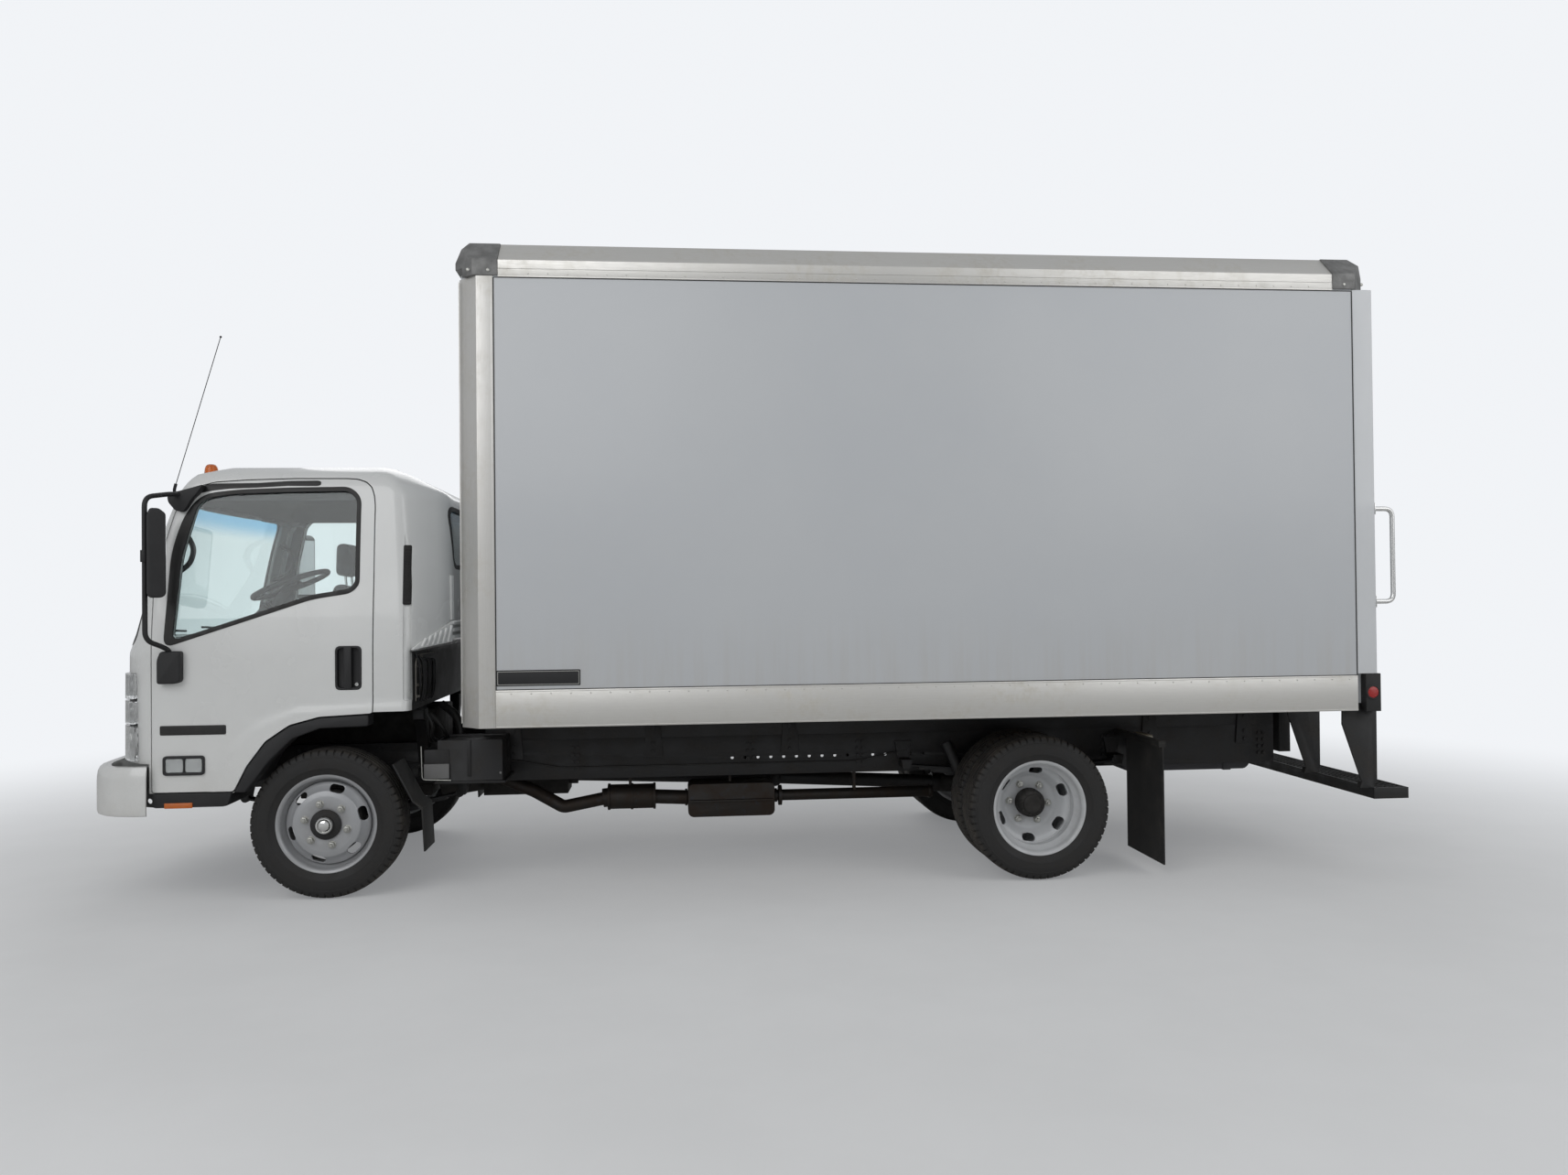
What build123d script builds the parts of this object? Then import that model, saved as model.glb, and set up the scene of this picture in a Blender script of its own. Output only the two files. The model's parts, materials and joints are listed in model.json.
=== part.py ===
from build123d import *
import os

# Light cab-over truck with an insulated box body, built sub-part by sub-part.
# Units are millimetres. X runs forward, Y to the truck's left, Z up from the ground.
# Everything is drawn with the front axle at x = 0, and moved to the origin when it is saved.

# Overall layout
wheelbase = 3810.0
front_reach = 1235.0
rear_reach = 5860.0
origin_x = (front_reach - rear_reach) / 2
side_gap = 0.3
panel_gap = 8.0

# Tyres and wheels
tyre_radius = 393.0
tyre_width = 226.0
tyre_bead_radius = 247.6
rim_flange_radius = 260.0
rim_width = 196.0
rim_wall = 8.0
rim_well_radius = 222.0
disc_wall = 12.0
disc_hole_count = 6
disc_hole_start = 15.0
disc_hole_length = 76.0
disc_hole_width = 38.0
disc_hole_pitch_radius = 186.0
stud_circle_radius = 111.1
hub_radius = 84.0
hub_flange_radius = 135.0
front_wheel_y = 832.0
dual_spacing = 254.0
dual_middle_y = 825.0

# Axles, springs and steering
kingpin_y = 730.0
kingpin_radius = 16.0
kingpin_boss_radius = 34.0
kingpin_boss_height = 96.0
fork_gap = 3.0
fork_lug_height = 30.0
spindle_radius = 30.0
axle_beam_height = 92.0
axle_beam_width = 84.0
axle_beam_drop = 70.0
steer_arm_length = 150.0
tie_rod_radius = 16.0
tie_rod_pin_radius = 10.0
front_spring_y = 390.0
rear_spring_y = 505.0
spring_width = 70.0
spring_leaf = 12.0
spring_step = 80.0
spring_eye = 24.0
front_spring_half = 600.0
rear_spring_half = 640.0
axle_tube_radius = 62.0
differential_radius = 185.0
differential_y = 60.0

# Ladder frame
rail_outer_y = 425.0
rail_wall = 7.0
rail_flange = 65.0
rail_height = 230.0
rail_bottom = 521.0
rail_front = 950.0
rail_rear = -5490.0
crossmember_height = 150.0
crossmember_wall = 8.0
crossmember_depth = 60.0
rail_hole_radius = 9.0
rail_hole_pitch = 76.0
rail_hole_count = 16
rail_hole_start = -2160.0
rail_hole_z = 623.0

# Box body
body_width = 2438.0
body_front = -740.0
body_rear = -5661.0
wall = 60.0
skin_step = 4.0
floor_top = 1075.0
floor_height = 70.0
lower_rail_bottom = 908.0
lower_rail_top = 1101.0
top_rail_bottom = 3212.0
top_rail_shoulder = 3300.0
roof_top = 3418.0
roof_edge_inset = 120.0
roof_wall = 62.0
post_front_face = 98.0
post_length = 182.0
rear_frame_length = 112.0
rear_frame_width = 95.0
rear_header_height = 190.0
rear_frame_bottom = 1110.0
cap_front_length = 229.0
cap_rear_length = 220.0
cap_proud = 5.0
sill_width = 70.0
sill_wall = 8.0
body_cross_height = 100.0
body_cross_width = 50.0
body_cross_pitch = 406.0
body_cross_count = 12
door_curtain_wall = 42.0
door_section_count = 6

# Cab
cab_skin = 22.0
cab_wall = 62.0
cab_floor_wall = 35.0
cab_tunnel_half_width = 450.0
cab_tunnel_top = 960.0
cab_bottom_front = 734.0
cab_sill_bottom = 583.0
deck_top = 1005.0
tilt_pivot_x = 1000.0
tilt_pivot_z = 762.0
tilt_pin_radius = 12.0
glass_wall = 6.0
glass_depth = 10.0
bumper_bottom = 473.0
bumper_top = 729.0
bumper_half_width = 1030.0
bumper_wall = 14.0
bumper_shelf_front = 1142.0


def block(x_a, x_b, y_a, y_b, z_a, z_b):
    """A box between two corners, given in any order."""
    middle = Pos((x_a + x_b) / 2, (y_a + y_b) / 2, (z_a + z_b) / 2)
    return middle * Box(abs(x_b - x_a), abs(y_b - y_a), abs(z_b - z_a))


def outline(points, radius=0):
    if radius == 0:
        return make_face(Polyline(*points, close=True))
    return make_face(FilletPolyline(*points, radius=radius, close=True))


def side_plate(points, y_low, y_high, radius=0):
    """A side outline of x and z points, given its thickness across the truck."""
    face = Plane.XZ.offset(-y_high) * outline(points, radius)
    return extrude(face, y_high - y_low)


def front_plate(points, x_low, x_high, radius=0):
    """A front outline of y and z points, given its length along the truck."""
    face = Plane.YZ.offset(x_low) * outline(points, radius)
    return extrude(face, x_high - x_low)


def plan_plate(points, z_low, z_high, radius=0):
    """A plan outline of x and y points, given its height."""
    face = Plane.XY.offset(z_low) * outline(points, radius)
    return extrude(face, z_high - z_low)


def rod(start, end, radius):
    line = Line(start, end)
    return extrude(Plane(origin=start, z_dir=line % 0) * Circle(radius), line.length)


def bent_tube(points, radius, bend):
    path = FilletPolyline(*points, radius=bend)
    return sweep(Plane(origin=path @ 0, z_dir=path % 0) * Circle(radius), path=path)


def other_side(shape):
    return mirror(shape, about=Plane.XZ)


def pair(shape):
    return Compound(children=list(shape.solids()) + list(other_side(shape).solids()))


def group(*shapes):
    solids = []
    for shape in shapes:
        solids.extend(shape.solids())
    return Compound(children=solids)


def save(name, shape):
    solids = [Pos(-origin_x, 0, 0) * solid for solid in shape.solids()]
    whole = solids[0] if len(solids) == 1 else Compound(children=solids)
    export_step(whole, "parts/" + name + ".step")


os.makedirs("parts", exist_ok=True)

# Levels and faces that several pieces share
rail_top = rail_bottom + rail_height
rail_inner_y = rail_outer_y - rail_flange
web_y = rail_outer_y - rail_wall
half_width = body_width / 2

# Tyre: a ring about the wheel's own Y axis with its middle plane at y = 0.
half_tread = tyre_width / 2 - 18
half_tyre = tyre_width / 2
half_bead = rim_width / 2 - 12
sidewall_radius = (tyre_radius + tyre_bead_radius) / 2
tyre_section = [
    (tyre_bead_radius, -half_bead),
    (tyre_bead_radius + 16, -half_bead - 2),
    (sidewall_radius, -half_tyre),
    (tyre_radius - 16, -half_tread - 8),
    (tyre_radius, -half_tread + 8),
    (tyre_radius, half_tread - 8),
    (tyre_radius - 16, half_tread + 8),
    (sidewall_radius, half_tyre),
    (tyre_bead_radius + 16, half_bead + 2),
    (tyre_bead_radius, half_bead),
]
tyre = revolve(outline(tyre_section), axis=Axis.Y)

# Rim: a dropped well between two tapered bead seats and rolled flanges.
half_rim = rim_width / 2
rim_outside = [
    (rim_flange_radius, -half_rim),
    (rim_flange_radius, -half_rim + 8),
    (tyre_bead_radius - side_gap, -half_bead),
    (tyre_bead_radius - side_gap - 6, -half_rim + 50),
    (rim_well_radius, -half_rim + 66),
    (rim_well_radius, half_rim - 66),
    (tyre_bead_radius - side_gap - 6, half_rim - 50),
    (tyre_bead_radius - side_gap, half_bead),
    (rim_flange_radius, half_rim - 8),
    (rim_flange_radius, half_rim),
]
rim_inside = [
    (rim_flange_radius - rim_wall, half_rim),
    (tyre_bead_radius - side_gap - rim_wall, half_bead - 6),
    (tyre_bead_radius - side_gap - 6 - rim_wall, half_rim - 54),
    (rim_well_radius - rim_wall, half_rim - 70),
    (rim_well_radius - rim_wall, -half_rim + 70),
    (tyre_bead_radius - side_gap - 6 - rim_wall, -half_rim + 54),
    (tyre_bead_radius - side_gap - rim_wall, -half_bead + 6),
    (rim_flange_radius - rim_wall, -half_rim),
]
rim = revolve(outline(rim_outside + rim_inside), axis=Axis.Y)


def wheel_disc(nave_y, edge_y, hand):
    """The pressed disc: a flat nave at nave_y, a bowl, and a lip under the rim well.

    hand is 1 where the nave stands further out than the lip, and -1 where it is sunk.
    """
    well = rim_well_radius - rim_wall / 2
    lip = edge_y - hand * 26
    bowl = [
        (hub_radius - 12, nave_y),
        (stud_circle_radius + 34, nave_y),
        (well - 22, edge_y),
        (well, edge_y - hand * 6),
        (well, lip),
        (well - disc_wall, lip),
        (well - disc_wall - 20, edge_y - hand * disc_wall),
        (stud_circle_radius + 30, nave_y - hand * disc_wall),
        (hub_radius - 12, nave_y - hand * disc_wall),
    ]
    disc = revolve(outline(bowl), axis=Axis.Y)
    slot = SlotCenterToCenter(disc_hole_length - disc_hole_width, disc_hole_width)
    cutter = extrude(Plane.XZ * (Pos(0, disc_hole_pitch_radius) * slot), 200, both=True)
    for index in range(disc_hole_count):
        disc -= Rot(0, index * 360 / disc_hole_count - disc_hole_start, 0) * cutter
    return disc


# Front wheel: the disc stands out to the rim's outer edge, and the hub is bolted behind it.
front_nave = half_rim + 2
front_wheel = rim + wheel_disc(front_nave, half_rim - 42, 1)
front_flange_y = front_nave - disc_wall
hub_cap_section = [
    (0, front_flange_y - 30),
    (hub_flange_radius, front_flange_y - 30),
    (hub_flange_radius, front_flange_y - side_gap),
    (hub_radius - 14, front_flange_y - side_gap),
    (hub_radius - 14, front_nave + 18),
    (46, front_nave + 22),
    (40, front_nave + 46),
    (0, front_nave + 52),
]
front_hub = revolve(outline(hub_cap_section), axis=Axis.Y)
front_drum_radius = 172.0
front_drum = [
    (spindle_radius + side_gap, front_flange_y - 118),
    (front_drum_radius, front_flange_y - 118),
    (front_drum_radius, front_flange_y - 30),
    (spindle_radius + side_gap, front_flange_y - 30),
]
front_hub += revolve(outline(front_drum), axis=Axis.Y)
spindle_end = front_wheel_y + front_flange_y - 30 - side_gap
front_centre = Pos(0, front_wheel_y, tyre_radius)
front_wheel = front_centre * group(front_wheel, front_hub)
front_tyre = front_centre * tyre

# Twin rear wheels: two dished discs back to back on one hub.
outer_offset = dual_spacing / 2
outer_nave = -outer_offset
outer_disc = wheel_disc(outer_nave, -outer_offset + 74, -1)
rear_single = rim + outer_disc
rear_outer = Pos(0, outer_offset, 0) * rear_single
rear_inner = mirror(rear_outer, about=Plane.XZ)
rear_hub_section = [
    (0, -140),
    (150, -140),
    (150, -disc_wall - side_gap),
    (hub_radius - 14, -disc_wall - side_gap),
    (hub_radius - 14, 70),
    (hub_radius - 24, 92),
    (0, 96),
]
rear_hub = revolve(outline(rear_hub_section), axis=Axis.Y)
rear_centre = Pos(-wheelbase, dual_middle_y, tyre_radius)
rear_wheels = rear_centre * group(rear_outer + rear_inner, rear_hub)
rear_tyres = rear_centre * group(Pos(0, outer_offset, 0) * tyre, Pos(0, -outer_offset, 0) * tyre)

save("front_wheel_left", front_wheel)
save("front_wheel_right", other_side(front_wheel))
save("front_tyre_left", front_tyre)
save("front_tyre_right", other_side(front_tyre))
save("rear_wheels_left", rear_wheels)
save("rear_wheels_right", other_side(rear_wheels))
save("rear_tyres_left", rear_tyres)
save("rear_tyres_right", other_side(rear_tyres))

# Steering knuckle: a fork about the axle's kingpin boss, with its spindle and arm.
boss_low = tyre_radius - kingpin_boss_height / 2
boss_high = tyre_radius + kingpin_boss_height / 2
fork_low = boss_low - fork_gap - fork_lug_height
fork_high = boss_high + fork_gap + fork_lug_height
lug = Cylinder(kingpin_boss_radius, fork_lug_height)
fork_back = kingpin_y + kingpin_boss_radius + 10
fork_face = fork_back + 22
knuckle = Pos(0, kingpin_y, fork_low + fork_lug_height / 2) * lug
knuckle += Pos(0, kingpin_y, fork_high - fork_lug_height / 2) * lug
for lug_low in (fork_low, fork_high - fork_lug_height):
    knuckle += block(-kingpin_boss_radius, kingpin_boss_radius, kingpin_y, fork_face,
                     lug_low, lug_low + fork_lug_height)
knuckle += block(-46, 46, fork_back, fork_face, fork_low, fork_high)
knuckle += rod((0, fork_face - 4, tyre_radius), (0, spindle_end, tyre_radius), spindle_radius)
knuckle += rod((0, kingpin_y, fork_low + 6), (0, kingpin_y, fork_high - 6), kingpin_radius)
arm_outline = [
    (-20, kingpin_y + 34),
    (-steer_arm_length - 20, kingpin_y + 22),
    (-steer_arm_length - 20, kingpin_y - 22),
    (0, kingpin_y - 30),
    (20, kingpin_y + 30),
]
steer_arm = plan_plate(arm_outline, fork_low + 2, fork_low + 20)
knuckle += steer_arm
pin_hole = rod((-steer_arm_length, kingpin_y, fork_low - 20),
               (-steer_arm_length, kingpin_y, fork_low + 60), tie_rod_pin_radius + 0.5)
knuckle -= pin_hole
save("knuckle_left", knuckle)
save("knuckle_right", other_side(knuckle))

# Tie rod behind the axle, with a pin up into each steering arm.
tie_z = fork_low - 24
tie_rod = rod((-steer_arm_length, -kingpin_y, tie_z), (-steer_arm_length, kingpin_y, tie_z), tie_rod_radius)
for end_y in (-kingpin_y, kingpin_y):
    tie_rod += Pos(-steer_arm_length, end_y, tie_z) * Cylinder(22, 38)
    tie_rod += rod((-steer_arm_length, end_y, tie_z), (-steer_arm_length, end_y, fork_low + 26),
                   tie_rod_pin_radius)
save("tie_rod", tie_rod)

# Front axle: a dropped beam of I section between the kingpin bosses.
beam_top = tyre_radius + 20 - axle_beam_drop
rear_seat = tyre_radius + axle_tube_radius + 14
boss_arm_y = kingpin_y - 70
beam_points = [
    (-kingpin_y, tyre_radius + 38),
    (-boss_arm_y, tyre_radius + 38),
    (-front_spring_y - 90, beam_top),
    (front_spring_y + 90, beam_top),
    (boss_arm_y, tyre_radius + 38),
    (kingpin_y, tyre_radius + 38),
    (kingpin_y, tyre_radius - 38),
    (boss_arm_y, tyre_radius - 38),
    (front_spring_y + 70, beam_top - axle_beam_height),
    (-front_spring_y - 70, beam_top - axle_beam_height),
    (-boss_arm_y, tyre_radius - 38),
    (-kingpin_y, tyre_radius - 38),
]
front_axle = front_plate(beam_points, -axle_beam_width / 2 + 16, axle_beam_width / 2 - 16)
seat_low = beam_top - axle_beam_height
for side in (-1, 1):
    front_axle += block(-60, 60, side * front_spring_y - 46, side * front_spring_y + 46, seat_low, beam_top)
    boss = Pos(0, side * kingpin_y, tyre_radius) * Cylinder(kingpin_boss_radius, kingpin_boss_height)
    front_axle += boss
flange_top = block(-axle_beam_width / 2, axle_beam_width / 2, -front_spring_y, front_spring_y,
                   beam_top - 18, beam_top)
flange_low = block(-axle_beam_width / 2, axle_beam_width / 2, -front_spring_y, front_spring_y,
                   seat_low, seat_low + 18)
front_axle += flange_top
front_axle += flange_low
for side in (-1, 1):
    pin_bore = rod((0, side * kingpin_y, boss_low - 20), (0, side * kingpin_y, boss_high + 20),
                   kingpin_radius + 0.5)
    front_axle -= pin_bore
save("front_axle", front_axle)

# Rear axle: a banjo casing with tapered arms and the drive's nose.
rear_tube_end = dual_middle_y - 140 - side_gap
rear_axle = rod((-wheelbase, -rear_tube_end, tyre_radius), (-wheelbase, rear_tube_end, tyre_radius),
                axle_tube_radius)
nose_front = -wheelbase + 330
casing_section = [
    (-wheelbase - 150, 0),
    (-wheelbase - 150, 70),
    (-wheelbase - 120, 130),
    (-wheelbase - 75, 160),
    (-wheelbase - 75, differential_radius),
    (-wheelbase + 75, differential_radius),
    (-wheelbase + 75, 130),
    (-wheelbase + 240, 66),
    (nose_front, 60),
    (nose_front, 0),
]
casing = revolve(outline(casing_section), axis=Axis.X)
rear_axle += Pos(0, differential_y, tyre_radius) * casing
for side in (-1, 1):
    rear_axle += block(-wheelbase - 62, -wheelbase + 62, side * rear_spring_y - 46, side * rear_spring_y + 46,
                       tyre_radius, rear_seat)
save("rear_axle", rear_axle)

# Leaf springs: arched packs of stepped leaves, seated on the axles, with hanger eyes on the rails.
spring_table = (
    # centre x, half length, middle y, seat height, leaf count, rise of the ends, rail bracket y
    (0.0, front_spring_half, front_spring_y, beam_top, 4, 72.0, None),
    (-wheelbase, rear_spring_half, rear_spring_y, rear_seat, 6, 34.0, rail_outer_y + side_gap),
)
springs = []
for centre_x, half_length, middle_y, seat_z, leaf_count, rise, bracket_y in spring_table:
    arc_radius = (half_length ** 2 + rise ** 2) / (2 * rise)
    arc_centre = seat_z + side_gap + arc_radius
    pack = None
    for leaf in range(leaf_count):
        leaf_half = half_length - spring_step * (leaf_count - 1 - leaf)
        inner = arc_radius - (leaf + 1) * spring_leaf
        ring = Cylinder(inner + spring_leaf + 0.2, spring_width) - Cylinder(inner, spring_width)
        ring = Pos(0, 0, arc_centre) * Rot(90, 0, 0) * ring
        solid = ring & block(-leaf_half, leaf_half, -spring_width, spring_width, seat_z - 10, seat_z + 400)
        pack = solid if pack is None else pack + solid
    eye_z = seat_z + rise + leaf_count * spring_leaf - spring_leaf / 2
    for end in (-1, 1):
        eye = Pos(end * (half_length - 8), 0, eye_z) * Rot(90, 0, 0) * Cylinder(spring_eye, spring_width)
        pack += eye
        if bracket_y is None:
            hanger = side_plate([(end * half_length - 42, rail_bottom - side_gap),
                                 (end * half_length + 26, rail_bottom - side_gap),
                                 (end * half_length + 10, eye_z - 10),
                                 (end * half_length - 26, eye_z - 10)],
                                -spring_width / 2 - 4, spring_width / 2 + 4)
        else:
            hanger = side_plate([(end * half_length - 60, rail_top - 50),
                                 (end * half_length + 44, rail_top - 50),
                                 (end * half_length + 14, eye_z - 20),
                                 (end * half_length - 30, eye_z - 20)],
                                bracket_y - middle_y, spring_width / 2 + 4)
            hanger -= side_plate([(end * half_length - 70, eye_z + 34),
                                  (end * half_length + 60, eye_z + 34),
                                  (end * half_length + 60, rail_top),
                                  (end * half_length - 70, rail_top)],
                                 bracket_y - middle_y + 12, spring_width / 2 + 5)
        pack += hanger
    springs.append(Pos(centre_x, middle_y, 0) * pack)
save("leaf_springs", group(pair(springs[0]), pair(springs[1])))

# Ladder frame: two channel rails with a row of holes, tied by channel crossmembers.
rail_channel = [
    (rail_outer_y, rail_bottom),
    (rail_outer_y, rail_top),
    (rail_inner_y, rail_top),
    (rail_inner_y, rail_top - rail_wall),
    (rail_outer_y - rail_wall, rail_top - rail_wall),
    (rail_outer_y - rail_wall, rail_bottom + rail_wall),
    (rail_inner_y, rail_bottom + rail_wall),
    (rail_inner_y, rail_bottom),
]
rail = front_plate(rail_channel, rail_rear, rail_front)
for index in range(rail_hole_count):
    hole_x = rail_hole_start - index * rail_hole_pitch
    rail -= rod((hole_x, rail_outer_y - 20, rail_hole_z), (hole_x, rail_outer_y + 20, rail_hole_z), rail_hole_radius)
frame = rail + other_side(rail)
cross_places = (880.0, -1280.0, -2300.0, -2950.0, -4450.0, -5440.0)
cross_low = rail_bottom + (rail_height - crossmember_height) / 2
for cross_x in cross_places:
    channel = [
        (cross_x, cross_low),
        (cross_x, cross_low + crossmember_height),
        (cross_x + crossmember_depth, cross_low + crossmember_height),
        (cross_x + crossmember_depth, cross_low + crossmember_height - crossmember_wall),
        (cross_x + crossmember_wall, cross_low + crossmember_height - crossmember_wall),
        (cross_x + crossmember_wall, cross_low + crossmember_wall),
        (cross_x + crossmember_depth, cross_low + crossmember_wall),
        (cross_x + crossmember_depth, cross_low),
    ]
    frame += side_plate(channel, -web_y, web_y)
save("chassis_frame", frame)

# Engine, gearbox, propeller shaft and radiator
engine = block(-430, 420, -250, 250, 470, 930) - block(-430, 420, -250, -150, 470, 560)
engine -= block(-430, 420, 150, 250, 470, 560)
engine += block(-380, 380, -140, 140, 400, 471)
for side in (-1, 1):
    engine += block(-60, 60, min(side * 249, side * (rail_inner_y - side_gap)),
                    max(side * 249, side * (rail_inner_y - side_gap)), 600, 660)
engine_rear = -430.0
save("engine_block", engine)
gearbox_end = -1180.0
gearbox_face = engine_rear - side_gap
bell = loft([Plane.YZ.offset(gearbox_face - 260) * (Pos(0, 520) * Circle(110)),
             Plane.YZ.offset(gearbox_face) * (Pos(0, 560) * Circle(190))])
gearbox = bell + block(gearbox_end, gearbox_face - 250, -125, 125, 390, 640)
shaft_z = 490.0
save("gearbox", gearbox)
shaft_start = (gearbox_end - side_gap - 20, 0.0, shaft_z)
shaft_middle = (-2440.0, 0.0, 440.0)
shaft_end = (nose_front + side_gap + 20, differential_y, tyre_radius)
propshaft = rod(shaft_start, shaft_middle, 42)
propshaft += rod(shaft_middle, shaft_end, 42)
propshaft += Pos(*shaft_middle) * Sphere(60)
propshaft += rod((shaft_start[0] - 30, 0, shaft_z), (gearbox_end - side_gap, 0, shaft_z), 60)
propshaft += rod((shaft_end[0] + 30, differential_y, tyre_radius),
                 (nose_front + side_gap, differential_y, tyre_radius), 60)
save("propshaft", propshaft)
radiator_x = 700.0
radiator = block(radiator_x, radiator_x + 70, -330, 330, 560, 900)
radiator += block(radiator_x - 10, radiator_x + 80, -345, 345, 880, 925)
radiator += block(radiator_x - 10, radiator_x + 80, -345, 345, 535, 575)
for side in (-1, 1):
    radiator += block(radiator_x + 10, radiator_x + 60, min(side * 340, side * (web_y - side_gap)),
                      max(side * 340, side * (web_y - side_gap)), 540, 570)
save("radiator", radiator)

# Exhaust: front pipe, converter, flat-seamed silencer and long tail pipe on the left of the frame.
exhaust_y = 300.0
exhaust = bent_tube([(-700, 235, 560), (-1000, 260, 430), (-1170, exhaust_y, 340), (-1420, exhaust_y, 386)], 38, 60)
exhaust += rod((-1400, exhaust_y, 386), (-1460, exhaust_y, 392), 55)
exhaust += rod((-1440, exhaust_y, 392), (-1700, exhaust_y, 392), 72)
exhaust += rod((-1690, exhaust_y, 388), (-1920, exhaust_y, 376), 42)
exhaust += side_plate([(-1900, 276), (-2410, 276), (-2410, 469), (-1900, 469)], exhaust_y - 105, exhaust_y + 105, 34)
exhaust += block(-2400, -1910, exhaust_y - 125, exhaust_y + 125, 366, 376)
for hanger_x in (-1560.0, -2150.0, -2900.0):
    exhaust += block(hanger_x - 8, hanger_x + 8, exhaust_y - 20, exhaust_y + 20, 380, rail_bottom + 30)
    exhaust += block(hanger_x - 20, hanger_x + 20, exhaust_y, web_y - side_gap, rail_bottom + 20, rail_bottom + 30)
exhaust += rod((-2400, exhaust_y, 376), (-3380, exhaust_y, 376), 33)
exhaust += rod((-2440, exhaust_y, 376), (-2460, exhaust_y, 376), 60)
save("exhaust", exhaust)

# Fuel tank between the rails behind the rear axle, hung on two straps
tank_low = 470.0
tank = side_plate([(-4560, tank_low), (-5380, tank_low), (-5380, rail_top - 20), (-4560, rail_top - 20)],
                  -rail_inner_y + 20, rail_inner_y - 20, 50)
for strap_x in (-4720.0, -5230.0):
    strap = block(strap_x - 25, strap_x + 25, -rail_inner_y + 14, rail_inner_y - 14, tank_low - 5, rail_top - 15)
    strap -= block(strap_x - 26, strap_x + 26, -rail_inner_y + 25, rail_inner_y - 25, tank_low + 4, rail_top)
    tank += strap
    for side in (-1, 1):
        tank += block(strap_x - 25, strap_x + 25, min(side * (rail_inner_y - 16), side * (web_y - side_gap)),
                      max(side * (rail_inner_y - 16), side * (web_y - side_gap)), rail_top - 60, rail_top - 50)
save("fuel_tank", tank)

# Battery box on a bracket outside the left rail, behind the cab
battery = block(-900, -520, rail_outer_y + side_gap, 760, 560, 575)
battery += block(-885, -535, rail_outer_y + 40, 750, 574, 800)
battery -= block(-870, -550, rail_outer_y + 55, 735, 790, 801)
save("battery_box", battery)

# Front bumper: an open shell with a top shelf, round-ended, on two brackets from the frame.
bumper_plan = [
    (862, bumper_half_width - 4),
    (930, bumper_half_width),
    (1080, bumper_half_width - 40),
    (1190, 860),
    (front_reach - 12, 600),
    (front_reach, 0),
    (front_reach - 12, -600),
    (1190, -860),
    (1080, -bumper_half_width + 40),
    (930, -bumper_half_width),
    (862, -bumper_half_width + 4),
]


def inset_plan(points, amount):
    moved = []
    for x, y in points:
        side = 0 if y == 0 else (1 if y > 0 else -1)
        shift_x = amount if abs(y) < bumper_half_width - 41 else amount * 0.4
        shift_y = amount if abs(y) > 850 else amount * 0.1
        moved.append((x - shift_x if x > 900 else x, y - side * shift_y))
    return moved


bumper_outer = plan_plate(bumper_plan, bumper_bottom, bumper_top)
inner_plan = inset_plan(bumper_plan, bumper_wall)
inner_plan[0] = (800, inner_plan[0][1])
inner_plan[-1] = (800, inner_plan[-1][1])
bumper_inner = plan_plate(inner_plan, bumper_bottom - 1, bumper_top - bumper_wall)
shelf_cut = plan_plate([
    (800, 1012),
    (920, 1012),
    (1030, 950),
    (1100, 850),
    (bumper_shelf_front - 8, 500),
    (bumper_shelf_front, 0),
    (bumper_shelf_front - 8, -500),
    (1100, -850),
    (1030, -950),
    (920, -1012),
    (800, -1012),
], bumper_top - bumper_wall - 1, bumper_top + 1)
bumper = bumper_outer - bumper_inner - shelf_cut
for side in (-1, 1):
    bumper += block(rail_front + side_gap, front_reach - bumper_wall - 4, side * 400 - 25, side * 400 + 25, 560, 640)
bumper += block(rail_front + side_gap, rail_front + 12, -rail_outer_y, rail_outer_y, 560, 640)
save("front_bumper", bumper)

# Front mudguards behind the wheels, and flaps before and behind the rear axle
flap_wall = 8.0
guard_outline = [(-352, 705), (-455, 505), (-500, 470), (-512, 240), (-504, 240), (-492, 465),
                 (-447, 500), (-344, 700)]
guard = side_plate(guard_outline, 715, 955)
guard += block(-425, -395, rail_outer_y + side_gap, 716, 600, 640)
rear_flap_x = -4500.0
rear_flap = block(rear_flap_x - flap_wall, rear_flap_x, 560, 1065, 65, 713)
rear_flap += block(rear_flap_x - 20, rear_flap_x + 20, rail_outer_y + side_gap, 1065, 712, 745)
save("mudguards", group(pair(guard), pair(rear_flap)))

# Body subframe: two long sills on the rails and crossmembers above them.
sill_low = rail_top + side_gap
cross_top = floor_top - floor_height - side_gap
body_cross_low = cross_top - body_cross_height
sill = block(body_front, rail_rear, rail_outer_y - sill_width, rail_outer_y, sill_low, body_cross_low)
sill -= block(body_front + 1, rail_rear - 1, rail_outer_y - sill_width - 1, rail_outer_y - sill_wall,
              sill_low + sill_wall, body_cross_low - sill_wall)
subframe = sill + other_side(sill)
cross_half = half_width - wall - side_gap
for index in range(body_cross_count):
    cross_x = body_front - 120 - index * body_cross_pitch
    beam = block(cross_x - body_cross_width / 2, cross_x + body_cross_width / 2, -cross_half, cross_half,
                 body_cross_low - 0.5, cross_top)
    for face in (-1, 1):
        low_x = cross_x + face * (body_cross_width / 4 + 3) - body_cross_width / 4
        beam -= block(low_x, low_x + body_cross_width / 2, -cross_half - 1, cross_half + 1,
                      body_cross_low + 7, cross_top - 7)
    subframe += beam
save("body_subframe", subframe)

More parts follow.
